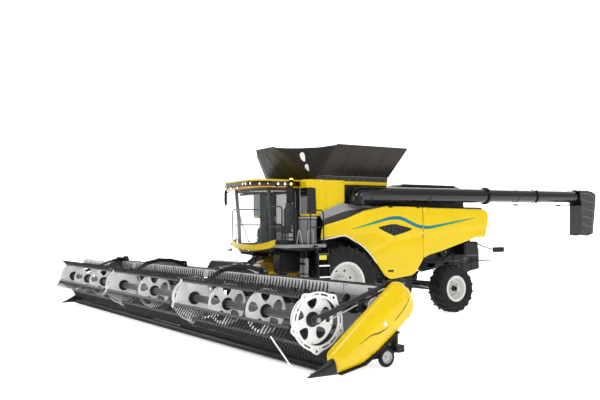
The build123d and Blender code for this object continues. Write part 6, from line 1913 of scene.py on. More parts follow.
def plate_with_holes(outer, holes, x, t, mat, edge=0.003):
    """A flat plate in the Y-Z plane with holes through it."""
    pts, edges = [], []
    for lp in [outer] + holes:
        k = len(pts)
        pts += [tuple(v) for v in lp]
        edges += [(k + i, k + (i + 1) % len(lp)) for i in range(len(lp))]
    r = geometry.delaunay_2d_cdt([Vector(q) for q in pts], edges, [], 0, 1e-6)
    P2, T = np.array([list(v) for v in r[0]]), [list(f) for f in r[2]]
    cen = np.array([P2[f].mean(0) for f in T])
    keep = inside(cen, outer)
    for h in holes:
        keep &= ~inside(cen, h)
    T = [f for f, k in zip(T, keep) if k]
    n = len(P2)
    V = np.concatenate([np.stack([np.full(n, x - t / 2), P2[:, 0], P2[:, 1]], 1), np.stack([np.full(n, x + t / 2), P2[:, 0], P2[:, 1]], 1)])
    es = {}
    for f in T:
        for i in range(3):
            es[(f[i], f[(i + 1) % 3])] = 1
    F = [f[::-1] for f in T] + [[i + n for i in f] for f in T] + [[b, a, a + n, b + n] for a, b in es if (b, a) not in es]
    P.add((V, F), mat)


def circle(cy, cz, r, n=24, a0=0.0):
    return [(cy + r * math.cos(a0 + 2 * math.pi * i / n), cz + r * math.sin(a0 + 2 * math.pi * i / n)) for i in range(n)]


def drop_hole(a, r_mid, w, ln):
    """A rounded tear-drop that is wider outwards."""
    out = []
    for i in range(24):
        t = 2 * math.pi * i / 24
        u = ln * math.cos(t)
        v = w * math.sin(t) * (1.0 + 0.38 * math.cos(t))
        rr = r_mid + u
        out.append((RY + rr * math.cos(a) - v * math.sin(a), RZ + rr * math.sin(a) + v * math.cos(a)))
    return out


for x in [-7.53, -2.34, 2.56]:
    plate_with_holes(circle(RY, RZ, 0.438, 64), [circle(RY, RZ, 0.088, 32)], x, 0.018, "white_disc")
    P.add(lathe([(-0.010, 0.428), (-0.014, 0.436), (-0.010, 0.4395), (0.010, 0.4395), (0.014, 0.436), (0.010, 0.428)], (x, RY, RZ), (1, 0, 0), 72), "white_disc")
    for sgn in (-1, 1):
        P.add(lathe([(0.0, 0.088), (0.010, 0.150), (0.014, 0.150), (0.012, 0.088)], (x + sgn * 0.006, RY, RZ), (sgn, 0, 0), 32), "grey_dark")
        for i in range(5):
            a = math.radians(72 * i + 50)
            P.add(bolt((x + sgn * 0.010, RY + 0.125 * math.cos(a), RZ + 0.125 * math.sin(a)), (sgn, 0, 0), 0.009, 0.008), "steel")
            for rr, da in ((0.405, -0.07), (0.405, 0.07)):
                P.add(bolt((x + sgn * 0.009, RY + rr * math.cos(a + da), RZ + rr * math.sin(a + da)), (sgn, 0, 0), 0.008, 0.007), "steel")
            P.add(tube([(x + sgn * 0.010, RY + 0.18 * math.cos(a), RZ + 0.18 * math.sin(a)), (x + sgn * 0.012, RY + 0.36 * math.cos(a), RZ + 0.36 * math.sin(a))], 0.006, 6), "white_disc")
for x in [-5.87, -4.20, -2.61, 0.05, 2.29, 4.25, 5.90, 7.53]:
    holes = [drop_hole(math.radians(72 * i + 18), 0.284, 0.106, 0.116) for i in range(5)]
    plate_with_holes(circle(RY, RZ, 0.438, 64), holes + [circle(RY, RZ, 0.088, 32)], x, 0.016, "white_disc")
    for hl in holes:
        L3 = [(x, y, z) for y, z in hl]
        P.add(tube(L3, 0.0085, 6, closed=True), "white_disc")
    P.add(lathe([(-0.010, 0.428), (-0.014, 0.436), (-0.010, 0.4395), (0.010, 0.4395), (0.014, 0.436), (0.010, 0.428)], (x, RY, RZ), (1, 0, 0), 72), "white_disc")
    for sgn in (-1, 1):
        P.add(lathe([(0.0, 0.088), (0.010, 0.135), (0.016, 0.135), (0.014, 0.088)], (x + sgn * 0.005, RY, RZ), (sgn, 0, 0), 32), "grey_dark")
        for i in range(5):
            a = math.radians(72 * i + 50)
            P.add(bolt((x + sgn * 0.008, RY + 0.410 * math.cos(a + 0.08), RZ + 0.410 * math.sin(a + 0.08)), (sgn, 0, 0), 0.008, 0.007), "steel")
        for i in range(5):
            a = math.radians(72 * i + 54)
            P.add(bolt((x + sgn * 0.008, RY + 0.115 * math.cos(a), RZ + 0.115 * math.sin(a)), (sgn, 0, 0), 0.009, 0.010), "steel")
# hub flanges on the tube by each disc
for x in [-7.53, -5.87, -4.20, -2.61, -2.34, 0.05, 2.29, 2.56, 4.25, 5.90, 7.53]:
    for sgn in (-1, 1):
        if -7.55 < x + sgn * 0.03 < 7.55:
            P.add(lathe([(0, 0.0855), (0, 0.100), (0.012, 0.102), (0.014, 0.0855)], (x + sgn * 0.016, RY, RZ), (sgn, 0, 0), 28), "black")
P.done("reel_discs", "white_paint")

# eccentric rings
P = Piece("cam_ring_plates", "reel_cams", 32)
CY, CZ = RY + 0.09, RZ - 0.04
for x in [-2.565, 2.335, 7.585]:
    outer = []
    for i in range(150):
        t = 2 * math.pi * i / 150
        r = 0.522
        # five smooth lobes
        best = min(abs(((math.degrees(t) - (72 * k + 50) + 180) % 360) - 180) for k in range(5))
        r += 0.060 * math.exp(-(best / 9.0) ** 2)
        outer.append((CY + r * math.cos(t), CZ + r * math.sin(t)))
    inner_ = circle(CY, CZ, 0.425, 96)
    slots = []
    for k in range(5):
        a0 = math.radians(72 * k + 50 + 14)
        for seg_ in (0, 1):
            b0, b1 = a0 + seg_ * math.radians(23), a0 + seg_ * math.radians(23) + math.radians(19)
            lp = [(CY + 0.492 * math.cos(b), CZ + 0.492 * math.sin(b)) for b in np.linspace(b0, b1, 8)] + [(CY + 0.458 * math.cos(b), CZ + 0.458 * math.sin(b)) for b in np.linspace(b1, b0, 8)]
            slots.append(fillet2(lp, 0.012, 2))
        a1 = math.radians(72 * k + 50)
        slots.append(circle(CY + 0.520 * math.cos(a1), CZ + 0.520 * math.sin(a1), 0.026, 16))
    plate_with_holes(outer, [inner_] + slots, x, 0.014, "white_disc")
    P.add(lathe([(-0.0095, 0.421), (-0.0095, 0.436), (0.0095, 0.436), (0.0095, 0.421)], (x, CY, CZ), (1, 0, 0), 96, closed=True), "white_disc")
    for k in range(5):
        a1 = math.radians(72 * k + 50)
        for sgn in (-1, 1):
            P.add(bolt((x + sgn * 0.0065, CY + 0.552 * math.cos(a1 - 0.06), CZ + 0.552 * math.sin(a1 - 0.06)), (sgn, 0, 0), 0.007, 0.004), "steel")
            P.add(bolt((x + sgn * 0.0065, CY + 0.475 * math.cos(a1 + 0.1), CZ + 0.475 * math.sin(a1 + 0.1)), (sgn, 0, 0), 0.007, 0.004), "steel")
            P.add(bolt((x + sgn * 0.0065, CY + 0.475 * math.cos(a1 - 0.1), CZ + 0.475 * math.sin(a1 - 0.1)), (sgn, 0, 0), 0.007, 0.004), "steel")
P.done("reel_cam_rings", "dark_plastic")

# ------------------------------------------------------------------ feeder house, adapter, lift cylinders
P = Piece("feeder_house_case", "header", 34)
FH = [(-0.56, 1.90), (-0.42, 1.80), (-0.42, 1.50), (-0.56, 1.38), (-2.28, 0.42), (-2.28, 1.10)]
P.add(prism(fillet2(FH, 0.03, 3), "X", -0.735, 0.735, 0.012), "yellow_deep")
for t in (0.18, 0.42, 0.66, 0.90):
    y = -0.56 - 1.72 * t
    z0, z1 = 1.90 - 0.80 * t, 1.38 - 0.96 * t
    P.add(prism([(y - 0.03, z0 + 0.006), (y + 0.03, z0 + 0.034), (y + 0.03, z1 + 0.010), (y - 0.03, z1 - 0.020)], "X", 0.730, 0.748, 0.004), "yellow_deep")
    P.add(prism([(y - 0.03, z0 + 0.006), (y + 0.03, z0 + 0.034), (y + 0.03, z1 + 0.010), (y - 0.03, z1 - 0.020)], "X", -0.730, -0.748, 0.004), "yellow_deep")
    P.add(prism([(y - 0.03, z0 + 0.004), (y + 0.03, z0 + 0.032), (y + 0.028, z0 + 0.044), (y - 0.032, z0 + 0.016)], "X", -0.70, 0.70, 0.004), "yellow_deep")
for s in (1, -1):
    P.add(rod((s * 0.73, -0.52, 1.66), (s * 0.90, -0.52, 1.66), 0.060, 28, 0.006), "steel")
    P.add(lathe([(0, 0.10), (0.02, 0.10), (0.025, 0.09), (0.03, 0.062)], (s * 0.735, -0.52, 1.66), (s, 0, 0), 28), "black")
    P.add(prism(fillet2([(-1.66, 0.78), (-1.80, 0.70), (-1.80, 0.56), (-1.68, 0.56)], 0.03, 3), "X", s * 0.50, s * 0.54, 0.005), "black")
    # chain drive case on the side
    P.add(prism(fillet2([(-0.66, 1.72), (-0.66, 1.56), (-1.60, 1.04), (-1.60, 1.22)], 0.07, 4), "X", s * 0.736, s * 0.752, 0.006), "black")
    for y, z in ((-0.72, 1.63), (-1.54, 1.12)):
        P.add(bolt((s * 0.752, y, z), (s, 0, 0), 0.016, 0.010), "steel")
P.add(rbox((-0.74, -2.285, 0.42), (0.74, -2.24, 1.10), 0.012), "black")
P.done("feeder_house", "yellow_paint")

P = Piece("header_adapter_frame", "header", 34)
for s in (1, -1):
    P.add(rbox((s * 0.80, -2.68, 0.30), (s * 0.95, -2.32, 1.30), 0.02), "black")
    for z in (0.5, 0.75, 1.0):
        P.add(bolt((s * 0.95, -2.50, z), (s, 0, 0), 0.018, 0.012), "steel")
P.add(rbox((-0.95, -2.68, 1.12), (0.95, -2.40, 1.34), 0.02), "black")
P.add(rbox((-0.95, -2.68, 0.28), (0.95, -2.32, 0.42), 0.02), "black")
P.add(prism(fillet2([(-1.35, 1.34), (-0.95, 1.68), (0.95, 1.68), (1.35, 1.34)], [0.02, 0.18, 0.18, 0.02], 6), "Y", -2.66, -2.42, 0.015), "black")
P.add(tube([(-1.34, -2.662, 1.345), (-0.95, -2.662, 1.672), (0.95, -2.662, 1.672), (1.34, -2.662, 1.345)], 0.009, 8, fil=0.16), "grey_light")
for k in range(3):
    z = 0.62 + 0.16 * k
    P.add(tube([(0.95, -2.36, z), (1.06, -2.40, z + 0.02), (1.12, -2.62, z - 0.05), (1.10, -2.68, z - 0.12)], 0.012, 8, fil=0.05), "black_matt")
P.done("header_adapter", "black_paint")

A, B = np.array([0.62, -0.27, 0.98]), np.array([0.62, -1.74, 0.60])
LN = np.linalg.norm(B - A)


def al(t, s=1):
    q = A + (B - A) * t / LN
    return np.array([s * q[0], q[1], q[2]])


P = Piece("lift_barrel_tubes", "lift_barrels", 32)
Q = Piece("lift_rod_bars", "lift_rods", 32)
for s in (1, -1):
    P.add(tube([al(0.02, s), al(0.03, s), al(0.93, s), al(0.95, s)], [0.052, 0.060, 0.060, 0.054], 32), "black")
    P.add(tube([al(0.90, s), al(0.955, s)], 0.0635, 32), "grey_dark")
    P.add(rod((s * 0.575, A[1], A[2]), (s * 0.665, A[1], A[2]), 0.064, 28, 0.004), "black")
    P.add(rod((s * 0.570, A[1], A[2]), (s * 0.670, A[1], A[2]), 0.025, 20, 0.003), "steel")
    P.add(tube([al(0.10, s) + np.array([0, 0, 0.055]), al(0.12, s) + np.array([0, 0.02, 0.085]), al(0.75, s) + np.array([0, 0, 0.075]), al(0.82, s) + np.array([0, 0, 0.05])], 0.010, 8, fil=0.03), "steel")
    Q.add(rod(al(0.93, s), al(LN - 0.04, s), 0.0335, 28), "chrome")
    Q.add(rod((s * 0.587, B[1], B[2]), (s * 0.653, B[1], B[2]), 0.0495, 24, 0.004), "grey_dark")
    Q.add(rod((s * 0.585, B[1], B[2]), (s * 0.655, B[1], B[2]), 0.022, 18, 0.003), "steel")
P.done("lift_cylinder_barrels", "black_paint")
Q.done("lift_cylinder_rods", "bright_steel")

# ------------------------------------------------------------------ chassis and running gear
WB = 4.05
P = Piece("frame_rails", "chassis", 34)
for s in (1, -1):
    rail_ = fillet2([(0.84, 1.30), (0.94, 1.30), (0.94, 1.50), (0.84, 1.50)], 0.014, 3)
    P.add(prism([(s * x, z) for x, z in rail_], "Y", -0.30, 4.75, 0.004), "black")
    P.add(rbox((s * 0.84, -0.15, 1.22), (s * 0.94, 0.15, 1.32), 0.012), "black")
    P.add(prism(fillet2([(-0.28, 1.32), (-0.28, 1.495), (-0.36, 1.495), (-0.38, 1.92), (-1.75, 1.92), (-1.75, 1.84), (-0.90, 1.72), (-0.44, 1.32)], 0.03, 3), "X", s * 0.80, s * 0.90, 0.008), "black")
    for y in (0.3, 0.9, 1.5, 2.1, 2.7, 3.3):
        P.add(bolt((s * 0.94, y, 1.46), (s, 0, 0), 0.012, 0.010), "steel")
        P.add(bolt((s * 0.94, y, 1.34), (s, 0, 0), 0.012, 0.010), "steel")
    P.add(tube([(s * 0.955, -0.2, 1.40), (s * 0.958, 1.0, 1.39), (s * 0.955, 2.5, 1.405), (s * 0.955, 3.9, 1.39)], 0.011, 8), "black_matt")
for y0, y1 in ((-0.30, -0.16), (3.88, 4.22), (4.62, 4.75)):
    P.add(rbox((-0.94, y0, 1.30), (0.94, y1, 1.50), 0.014), "black")
P.add(rbox((-0.14, 3.90, 0.88), (0.14, 4.20, 1.32), 0.02), "black")
P.add(rod((0, 3.88, 0.98), (0, 4.22, 0.98), 0.055, 24, 0.006), "steel")
P.done("main_frame", "black_paint")

P = Piece("front_axle_casting", "chassis", 34)
P.add(prism(fillet2([(-0.16, 0.88), (0.16, 0.88), (0.16, 1.22), (-0.16, 1.22)], 0.04, 4), "X", -1.06, 1.06, 0.02), "grey_dark")
for s in (1, -1):
    P.add(lathe([(0.97, 0.0), (0.97, 0.28), (0.985, 0.30), (1.115, 0.30), (1.13, 0.285), (1.13, 0.19), (1.16, 0.172), (1.565, 0.168), (1.58, 0.160), (1.58, 0.0)], (0, 0, 1.05), (s, 0, 0), 44), "grey_dark")
    for i in range(12):
        a = 2 * math.pi * i / 12
        P.add(bolt((s * 1.13, 0.27 * math.cos(a), 1.05 + 0.27 * math.sin(a)), (s, 0, 0), 0.014, 0.014), "steel")
    P.add(prism(fillet2([(-0.33, 0.92), (-0.33, 1.04), (-0.30, 1.06), (-0.15, 1.06), (-0.15, 0.92)], 0.02, 3), "X", s * 0.50, s * 0.54, 0.005), "grey_dark")
P.add(rbox((-0.25, -0.20, 0.90), (0.25, 0.20, 1.24), 0.04), "grey_dark")
P.done("front_axle", "black_paint")

P = Piece("rear_axle_beam", "chassis", 34)
P.add(prism(fillet2([(3.95, 0.62), (4.15, 0.62), (4.15, 0.88), (3.95, 0.88)], 0.03, 4), "X", -1.14, 1.14, 0.012), "grey_dark")
for s in (1, -1):
    for z0, z1 in ((0.44, 0.50), (0.94, 1.00)):
        P.add(prism(fillet2([(s * 1.08, 3.96), (s * 1.38, 3.96), (s * 1.38, 4.14), (s * 1.08, 4.14)], [0.01, 0.07, 0.07, 0.01], 5), "Z", z0, z1, 0.008), "grey_dark")
    P.add(rbox((s * 1.06, 3.96, 0.44), (s * 1.14, 4.14, 1.00), 0.014), "grey_dark")
    P.add(bolt((s * 1.30, 4.05, 1.00), (0, 0, 1), 0.03, 0.02), "steel")
P.add(prism(fillet2([(-0.09, 4.14), (0.09, 4.14), (0.09, 4.43), (-0.09, 4.43)], [0.002, 0.002, 0.05, 0.05], 4), "Z", 0.685, 0.735, 0.006), "black")
P.add(lathe([(-0.030, 0.017), (-0.030, 0.034), (0.030, 0.034), (0.030, 0.017)], (0, 4.35, 0.71), (0, 0, 1), 28, closed=True), "steel")
P.add(rod((-0.55, 3.90, 0.75), (0.55, 3.90, 0.75), 0.035, 20, 0.004), "black")
for s in (1, -1):
    P.add(rod((s * 0.55, 3.90, 0.75), (s * 1.02, 3.88, 0.70), 0.016, 12), "chrome")
P.done("rear_axle", "black_paint")

for s, side in ((1, "left"), (-1, "right")):
    P = Piece(side + "_knuckle_casting", side + "_knuckle", 34)
    P.add(lathe([(0.52, 0.0), (0.52, 0.078), (0.528, 0.085), (0.912, 0.085), (0.92, 0.078), (0.92, 0.0)], (s * 1.30, WB, 0.0), (0, 0, 1), 32), "grey_dark")
    P.add(lathe([(1.30, 0.066), (1.42, 0.075), (1.50, 0.070), (1.76, 0.068), (1.77, 0.060), (1.77, 0.0)], (0, WB, 0.72), (s, 0, 0), 28), "grey_dark")
    P.add(prism(fillet2([(s * 1.255, 3.76), (s * 1.345, 3.76), (s * 1.345, 4.05), (s * 1.255, 4.05)], [0.03, 0.03, 0, 0], 4), "Z", 0.545, 0.586, 0.006), "grey_dark")
    P.add(bolt((s * 1.30, 3.79, 0.586), (0, 0, 1), 0.016, 0.014), "steel")
    P.done("steering_knuckle_" + side, "black_paint")

# housing core with ribs, access covers and belt guards on its flanks
P = Piece("separator_case", "chassis", 34)
P.add(prism(fillet2([(-0.34, 1.50), (4.85, 1.50), (4.85, 2.20), (3.0, 2.34), (-0.34, 2.34)], 0.03, 3), "X", -1.035, 1.035, 0.01), "black")
P.add(prism(fillet2([(0.45, 1.52), (0.75, 1.05), (3.15, 0.95), (3.50, 1.52)], 0.05, 3), "X", -0.80, 0.80, 0.015), "black_matt")
for s in (1, -1):
    for y in (0.0, 0.75, 1.5, 2.25, 3.0, 3.75, 4.5):
        z1 = 2.33 if y < 3 else 2.33 - (y - 3) * 0.075
        P.add(rbox((s * 1.03, y - 0.025, 1.52), (s * 1.052, y + 0.025, z1), 0.008), "black")
    for y0, y1 in ((0.1, 0.66), (0.84, 1.40), (1.60, 2.16), (2.34, 2.92)):
        P.add(rbox((s * 1.03, y0, 1.62), (s * 1.046, y1, 2.20), 0.01), "grey_dark")
        P.add(bolt((s * 1.045, y0 + 0.06, 1.91), (s, 0, 0), 0.016, 0.014), "steel")
        P.add(bolt((s * 1.045, y1 - 0.06, 1.91), (s, 0, 0), 0.016, 0.014), "steel")
    for y in (1.0, 1.6, 2.2, 2.8):
        P.add(rbox((s * 0.795, y - 0.02, 1.06), (s * 0.815, y + 0.02, 1.50), 0.006), "black")
P.done("separator_housing", "black_paint")

P = Piece("engine_casing", "chassis", 34)
P.add(rbox((-0.52, 2.58, 2.352), (0.52, 4.07, 2.80), 0.04), "grey_dark")
P.add(rbox((-0.34, 2.62, 2.78), (0.34, 4.02, 3.01), 0.05), "grey_dark")
for i in range(6):
    y = 2.74 + i * 0.22
    P.add(rbox((-0.548, y - 0.07, 2.45), (0.548, y + 0.07, 2.70), 0.02), "grey_dark")
    P.add(tube([(0.36, y, 2.90), (0.46, y, 2.92), (0.53, y, 2.84), (0.53, y, 2.74)], 0.035, 10, fil=0.04), "steel")
P.done("engine_block", "cast_grey")

P = Piece("side_tank_shells", "chassis", 34)
for s in (1, -1):
    q = fillet2([(1.95, 0.62), (2.60, 0.62), (2.66, 1.12), (2.40, 1.48), (2.0, 1.48), (1.80, 1.05)], 0.07, 5)
    P.add(prism(q, "X", s * 1.24, s * 1.70, 0.035), "plastic")
    for x in (1.36, 1.58):
        P.add(tube([(s * x, y, z) for y, z in offset_poly(np.array(q), -0.003)], 0.006, 6, closed=True), "steel")
    P.add(lathe([(0, 0.045), (0.012, 0.048), (0.022, 0.045), (0.024, 0.0)], (s * 1.45, 2.2, 1.478), (0, 0, 1), 24), "black")
    P.add(rbox((s * 0.94, 2.05, 1.34), (s * 1.24, 2.20, 1.44), 0.012), "black")
    P.add(rbox((s * 0.94, 2.35, 1.34), (s * 1.24, 2.45, 1.44), 0.012), "black")
    for z in (0.80, 0.95, 1.10):
        P.add(rbox((s * 1.695, 2.02, z - 0.012), (s * 1.708, 2.50, z + 0.012), 0.005), "plastic")
P.done("side_tanks", "dark_plastic")

# chopper housing: an open shell with ribs, deflectors and rubber curtain, with pieces of side mechanics
P = Piece("chopper_shell", "chassis", 34)
prof = [(4.87, 1.35), (4.87, 2.30), (5.50, 2.36), (6.25, 1.85), (6.25, 1.20)]
for s in (1, -1):
    P.add(prism(fillet2([(4.87, 1.35), (4.87, 2.30), (5.50, 2.36), (6.25, 1.85), (6.25, 1.20), (5.20, 1.05)], 0.04, 3), "X", s * 0.86, s * 0.80, 0.006), "black")
    for y, z0, z1 in ((5.1, 1.12, 2.28), (5.5, 1.12, 2.32), (5.9, 1.16, 2.05)):
        P.add(rbox((s * 0.855, y - 0.02, z0), (s * 0.880, y + 0.02, z1), 0.006), "black")
    P.add(lathe([(0, 0.16), (0.014, 0.165), (0.020, 0.15), (0.020, 0.05), (0.030, 0.05), (0.030, 0.0)], (s * 0.855, 5.55, 1.55), (s, 0, 0), 32), "grey_dark")
    P.add(bolt((s * 0.885, 5.55, 1.55), (s, 0, 0), 0.02, 0.012), "steel")
skin = fillet2([(4.90, 1.36), (4.90, 2.27), (5.49, 2.33), (6.225, 1.835)], 0.06, 4, False)
P.add(shell(loft([[(x, y, z) for x in np.linspace(-0.81, 0.81, 9)] for y, z in skin]), 0.024, (0, 0.25, 0.85)), "black")
P.add(rbox((-0.80, 5.72, 1.40), (0.80, 5.88, 1.52), 0.012), "black")
for i in range(9):
    x = -0.72 + i * 0.18
    P.add(rbox((x - 0.085, 6.200, 1.24), (x + 0.085, 6.216, 1.80), 0.005), "rubber")
P.add(rbox((-0.82, 6.190, 1.78), (0.82, 6.235, 1.86), 0.010), "black")
P.done("chopper_housing", "black_paint")

for side, s in (("left", 1), ("right", -1)):
    P = Piece(side + "_spreader_disc", side + "_spreader", 34)
    c = (0.40 * s, 5.80, 0.0)
    P.add(lathe([(1.102, 0.0), (1.102, 0.332), (1.110, 0.339), (1.124, 0.339), (1.129, 0.330), (1.129, 0.12), (1.150, 0.10), (1.160, 0.055), (1.375, 0.050), (1.380, 0.040), (1.380, 0.0)], c, (0, 0, 1), 48), "black")
    P.add(lathe([(1.052, 0.0), (1.052, 0.045), (1.102, 0.050), (1.102, 0.0)], c, (0, 0, 1), 28), "steel")
    for k in range(4):
        V = prism([(0.055, 1.128), (0.318, 1.128), (0.318, 1.175), (0.26, 1.208), (0.055, 1.208)], "X", -0.012, 0.012, 0.004)
        V = turn(V, "Z", 90 * k)
        P.add(move(V, c), "grey_dark")
    P.done("straw_spreader_" + side, "black_paint")

# black mechanics and liners seen under the yellow sides
P = Piece("side_mechanics", "chassis", 34)
for s in (1, -1):
    # arch liner over the front wheel
    arch = smooth_line([(-0.60, 2.215), (-0.2, 2.27), (0.06, 2.30), (0.36, 2.17), (0.66, 2.01), (0.98, 1.73), (1.30, 1.35), (1.45, 1.12)], 26)
    P.add(shell(loft([[(s * x, y, z) for x in np.linspace(1.06, 1.775, 7)] for y, z in arch]), 0.018, (0, 0.3, 0.9)), "black_matt")
    P.add(rbox((s * 1.06, -0.42, 1.60), (s * 1.40, -0.38, 2.26), 0.012), "black_matt")
    # belt drives on the side of the core
    for (y, z, r) in ((0.62, 2.26, 0.20), (1.65, 1.66, 0.30), (2.60, 2.02, 0.17), (3.45, 1.72, 0.26), (4.45, 1.80, 0.20), (3.05, 1.15, 0.14)):
        P.add(lathe([(0.0, 0.03), (0.0, r * 0.92), (0.012, r), (0.022, r * 0.93), (0.034, r * 0.93), (0.044, r), (0.056, r * 0.92), (0.056, r * 0.80), (0.034, r * 0.74), (0.034, 0.06), (0.060, 0.05), (0.060, 0.0)], (s * 1.12, y, z), (s, 0, 0), 40), "black")
        P.add(rod((s * 1.04, y, z), (s * 1.19, y, z), 0.028, 14), "steel")

    def belt_round(c1, c2, x):
        (y1, z1, r1), (y2, z2, r2) = c1, c2
        d = math.hypot(y2 - y1, z2 - z1)
        base = math.atan2(z2 - z1, y2 - y1)
        off = math.acos(max(-1, min(1, (r1 - r2) / d)))
        pts = []
        for k in range(17):
            a = base + off + (2 * math.pi - 2 * off) * k / 16
            pts.append((x, y1 + r1 * math.cos(a), z1 + r1 * math.sin(a)))
        for k in range(17):
            a = base - off + 2 * off * k / 16
            pts.append((x, y2 + r2 * math.cos(a), z2 + r2 * math.sin(a)))
        P.add(tube(pts, 0.014, 6, closed=True), "rubber")

    belt_round((0.62, 2.26, 0.19), (1.65, 1.66, 0.29), s * 1.148)
    belt_round((1.65, 1.66, 0.285), (2.60, 2.02, 0.16), s * 1.172)
    belt_round((2.60, 2.02, 0.16), (3.45, 1.72, 0.25), s * 1.148)
    belt_round((3.45, 1.72, 0.245), (4.45, 1.80, 0.19), s * 1.172)
    # struts, pipes and guard plates below the rear flank
    P.add(tube([(s * 1.50, 2.96, 1.70), (s * 1.50, 3.55, 1.50), (s * 1.50, 4.75, 1.56), (s * 1.50, 5.20, 2.20)], 0.026, 10, fil=0.12), "black")
    P.add(tube([(s * 1.02, 4.70, 1.42), (s * 1.50, 4.75, 1.56)], 0.022, 10), "black")
    P.add(tube([(s * 1.02, 3.0, 1.60), (s * 1.50, 3.05, 1.66)], 0.022, 10), "black")
    P.add(rbox((s * 1.10, 4.86, 1.66), (s * 1.62, 5.46, 2.12), 0.04), "black")
    P.add(rbox((s * 1.10, 2.70, 1.50), (s * 1.62, 2.90, 2.20), 0.03), "black")
    for k in range(4):
        P.add(tube([(s * (1.20 + 0.05 * k), 2.75, 1.50), (s * (1.22 + 0.05 * k), 2.70, 1.25 - 0.03 * k), (s * (1.10 + 0.03 * k), 3.10, 1.08 - 0.02 * k), (s * 0.96, 3.60, 1.28)], 0.012, 8, fil=0.12), "black_matt")
    # flap behind the front wheel
    P.add(rbox((s * 1.68, 2.02, 1.14), (s * 1.72, 2.62, 1.50), 0.008), "black_matt")
    # radiator screen box ahead of the rear flank, seen through the gap
    P.add(rbox((s * 1.50, 5.10, 2.25), (s * 1.74, 5.50, 3.00), 0.03), "black_matt")
    for k in range(9):
        P.add(rbox((s * 1.738, 5.12, 2.32 + k * 0.07), (s * 1.752, 5.48, 2.345 + k * 0.07), 0.004), "black")
    # rear reflector box on its arm
    P.add(tube([(s * 1.30, 5.52, 2.10), (s * 1.58, 5.80, 1.92), (s * 1.68, 6.06, 1.85)], 0.018, 8, fil=0.08), "black")
    P.add(rbox((s * 1.655, 6.03, 1.76), (s * 1.715, 6.52, 1.925), 0.014), "plastic")
    P.add(rbox((s * 1.662, 6.512, 1.780), (s * 1.708, 6.528, 1.905), 0.006), "red_lens")
# tow rail frame at the back and black cover pieces
for s in (1, -1):
    P.add(tube([(s * 1.0, 5.55, 1.35), (s * 1.0, 6.05, 1.46), (s * 1.0, 6.52, 1.48), (s * 1.0, 6.60, 1.46)], 0.020, 8, fil=0.05), "black")
P.done(None, "black_paint")

# platform: tread plate, rails, handles and the silver cylinders below it
P = Piece("platform_rails", "chassis", 34)
P.add(rbox((1.02, -2.02, 2.062), (2.08, -0.72, 2.118), 0.010), "grey_dark")
for i in range(12):
    y = -1.97 + i * 0.105
    P.add(rbox((1.06, y, 2.116), (2.04, y + 0.060, 2.130), 0.004), "grey_dark")
P.add(rbox((2.055, -2.02, 2.06), (2.085, -0.72, 2.150), 0.008), "grey")
P.add(rbox((1.02, -2.03, 2.06), (2.08, -2.00, 2.150), 0.008), "grey")
P.add(rbox((1.00, -1.70, 2.06), (1.03, -0.95, 2.13), 0.006), "black")
for pts in ([(2.05, -1.20, 2.12), (2.05, -1.20, 3.05), (2.05, -0.78, 3.05), (2.05, -0.78, 2.12)],
            [(2.05, -1.98, 2.12), (2.05, -1.98, 3.15), (2.05, -1.66, 3.15), (2.05, -1.66, 2.12)],
            [(1.10, -1.99, 2.12), (1.10, -1.99, 3.15), (1.90, -1.99, 3.15), (1.90, -1.99, 2.12)]):
    P.add(tube(pts, 0.0185, 12, fil=0.10), "black")
P.add(rod((2.05, -1.98, 2.65), (2.05, -1.66, 2.65), 0.014, 10), "black")
P.add(rod((2.05, -1.20, 2.60), (2.05, -0.78, 2.60), 0.014, 10), "black")
P.add(rod((1.10, -1.99, 2.62), (1.90, -1.99, 2.62), 0.014, 10), "black")
for x, y in ((2.05, -1.20), (2.05, -0.78), (2.05, -1.98), (2.05, -1.66), (1.10, -1.99), (1.90, -1.99)):
    P.add(lathe([(0, 0.040), (0.006, 0.040), (0.010, 0.022)], (x, y, 2.128), (0, 0, 1), 18), "black")
# bent grab handles beside the door post
P.add(tube([(2.03, -1.62, 2.13), (2.03, -1.56, 2.52), (2.03, -1.53, 2.52), (2.03, -1.44, 2.13)], 0.009, 8, fil=0.02), "grey_light")
P.add(tube([(2.03, -1.27, 2.13), (2.03, -1.27, 2.51), (2.03, -1.10, 2.51), (2.03, -1.10, 2.13)], 0.009, 8, fil=0.05), "grey_light")
# grey cabinet between the cab's rear corner and the side panel
P.add(rbox((1.03, -0.930, 2.13), (1.50, -0.62, 2.905), 0.014), "cabinet")
P.add(rbox((1.06, -0.936, 2.17), (1.47, -0.926, 2.80), 0.006), "grey")
P.add(rbox((1.497, -0.90, 2.17), (1.504, -0.65, 2.80), 0.004), "grey")
P.add(rbox((1.03, -0.938, 2.845), (1.508, -0.62, 2.885), 0.006), "grey_light")
P.add(rbox((1.03, -0.932, 2.888), (1.500, -0.62, 2.915), 0.004), "seal")
P.add(rbox((2.07, -1.14, 2.072), (2.23, -1.125, 2.118), 0.004), "black")
P.add(rbox((2.07, -1.075, 2.072), (2.16, -1.06, 2.118), 0.004), "black")
P.add(lathe([(2.072, 0.0206), (2.072, 0.034), (2.118, 0.034), (2.118, 0.0206)], (2.19, -1.10, 0.0), (0, 0, 1), 24, closed=True), "black")
# under the deck: box, bright cylinders and brackets
P.add(rbox((1.06, -1.60, 1.98), (1.95, -0.80, 2.062), 0.012), "black")
P.done("access_platform", "black_paint")

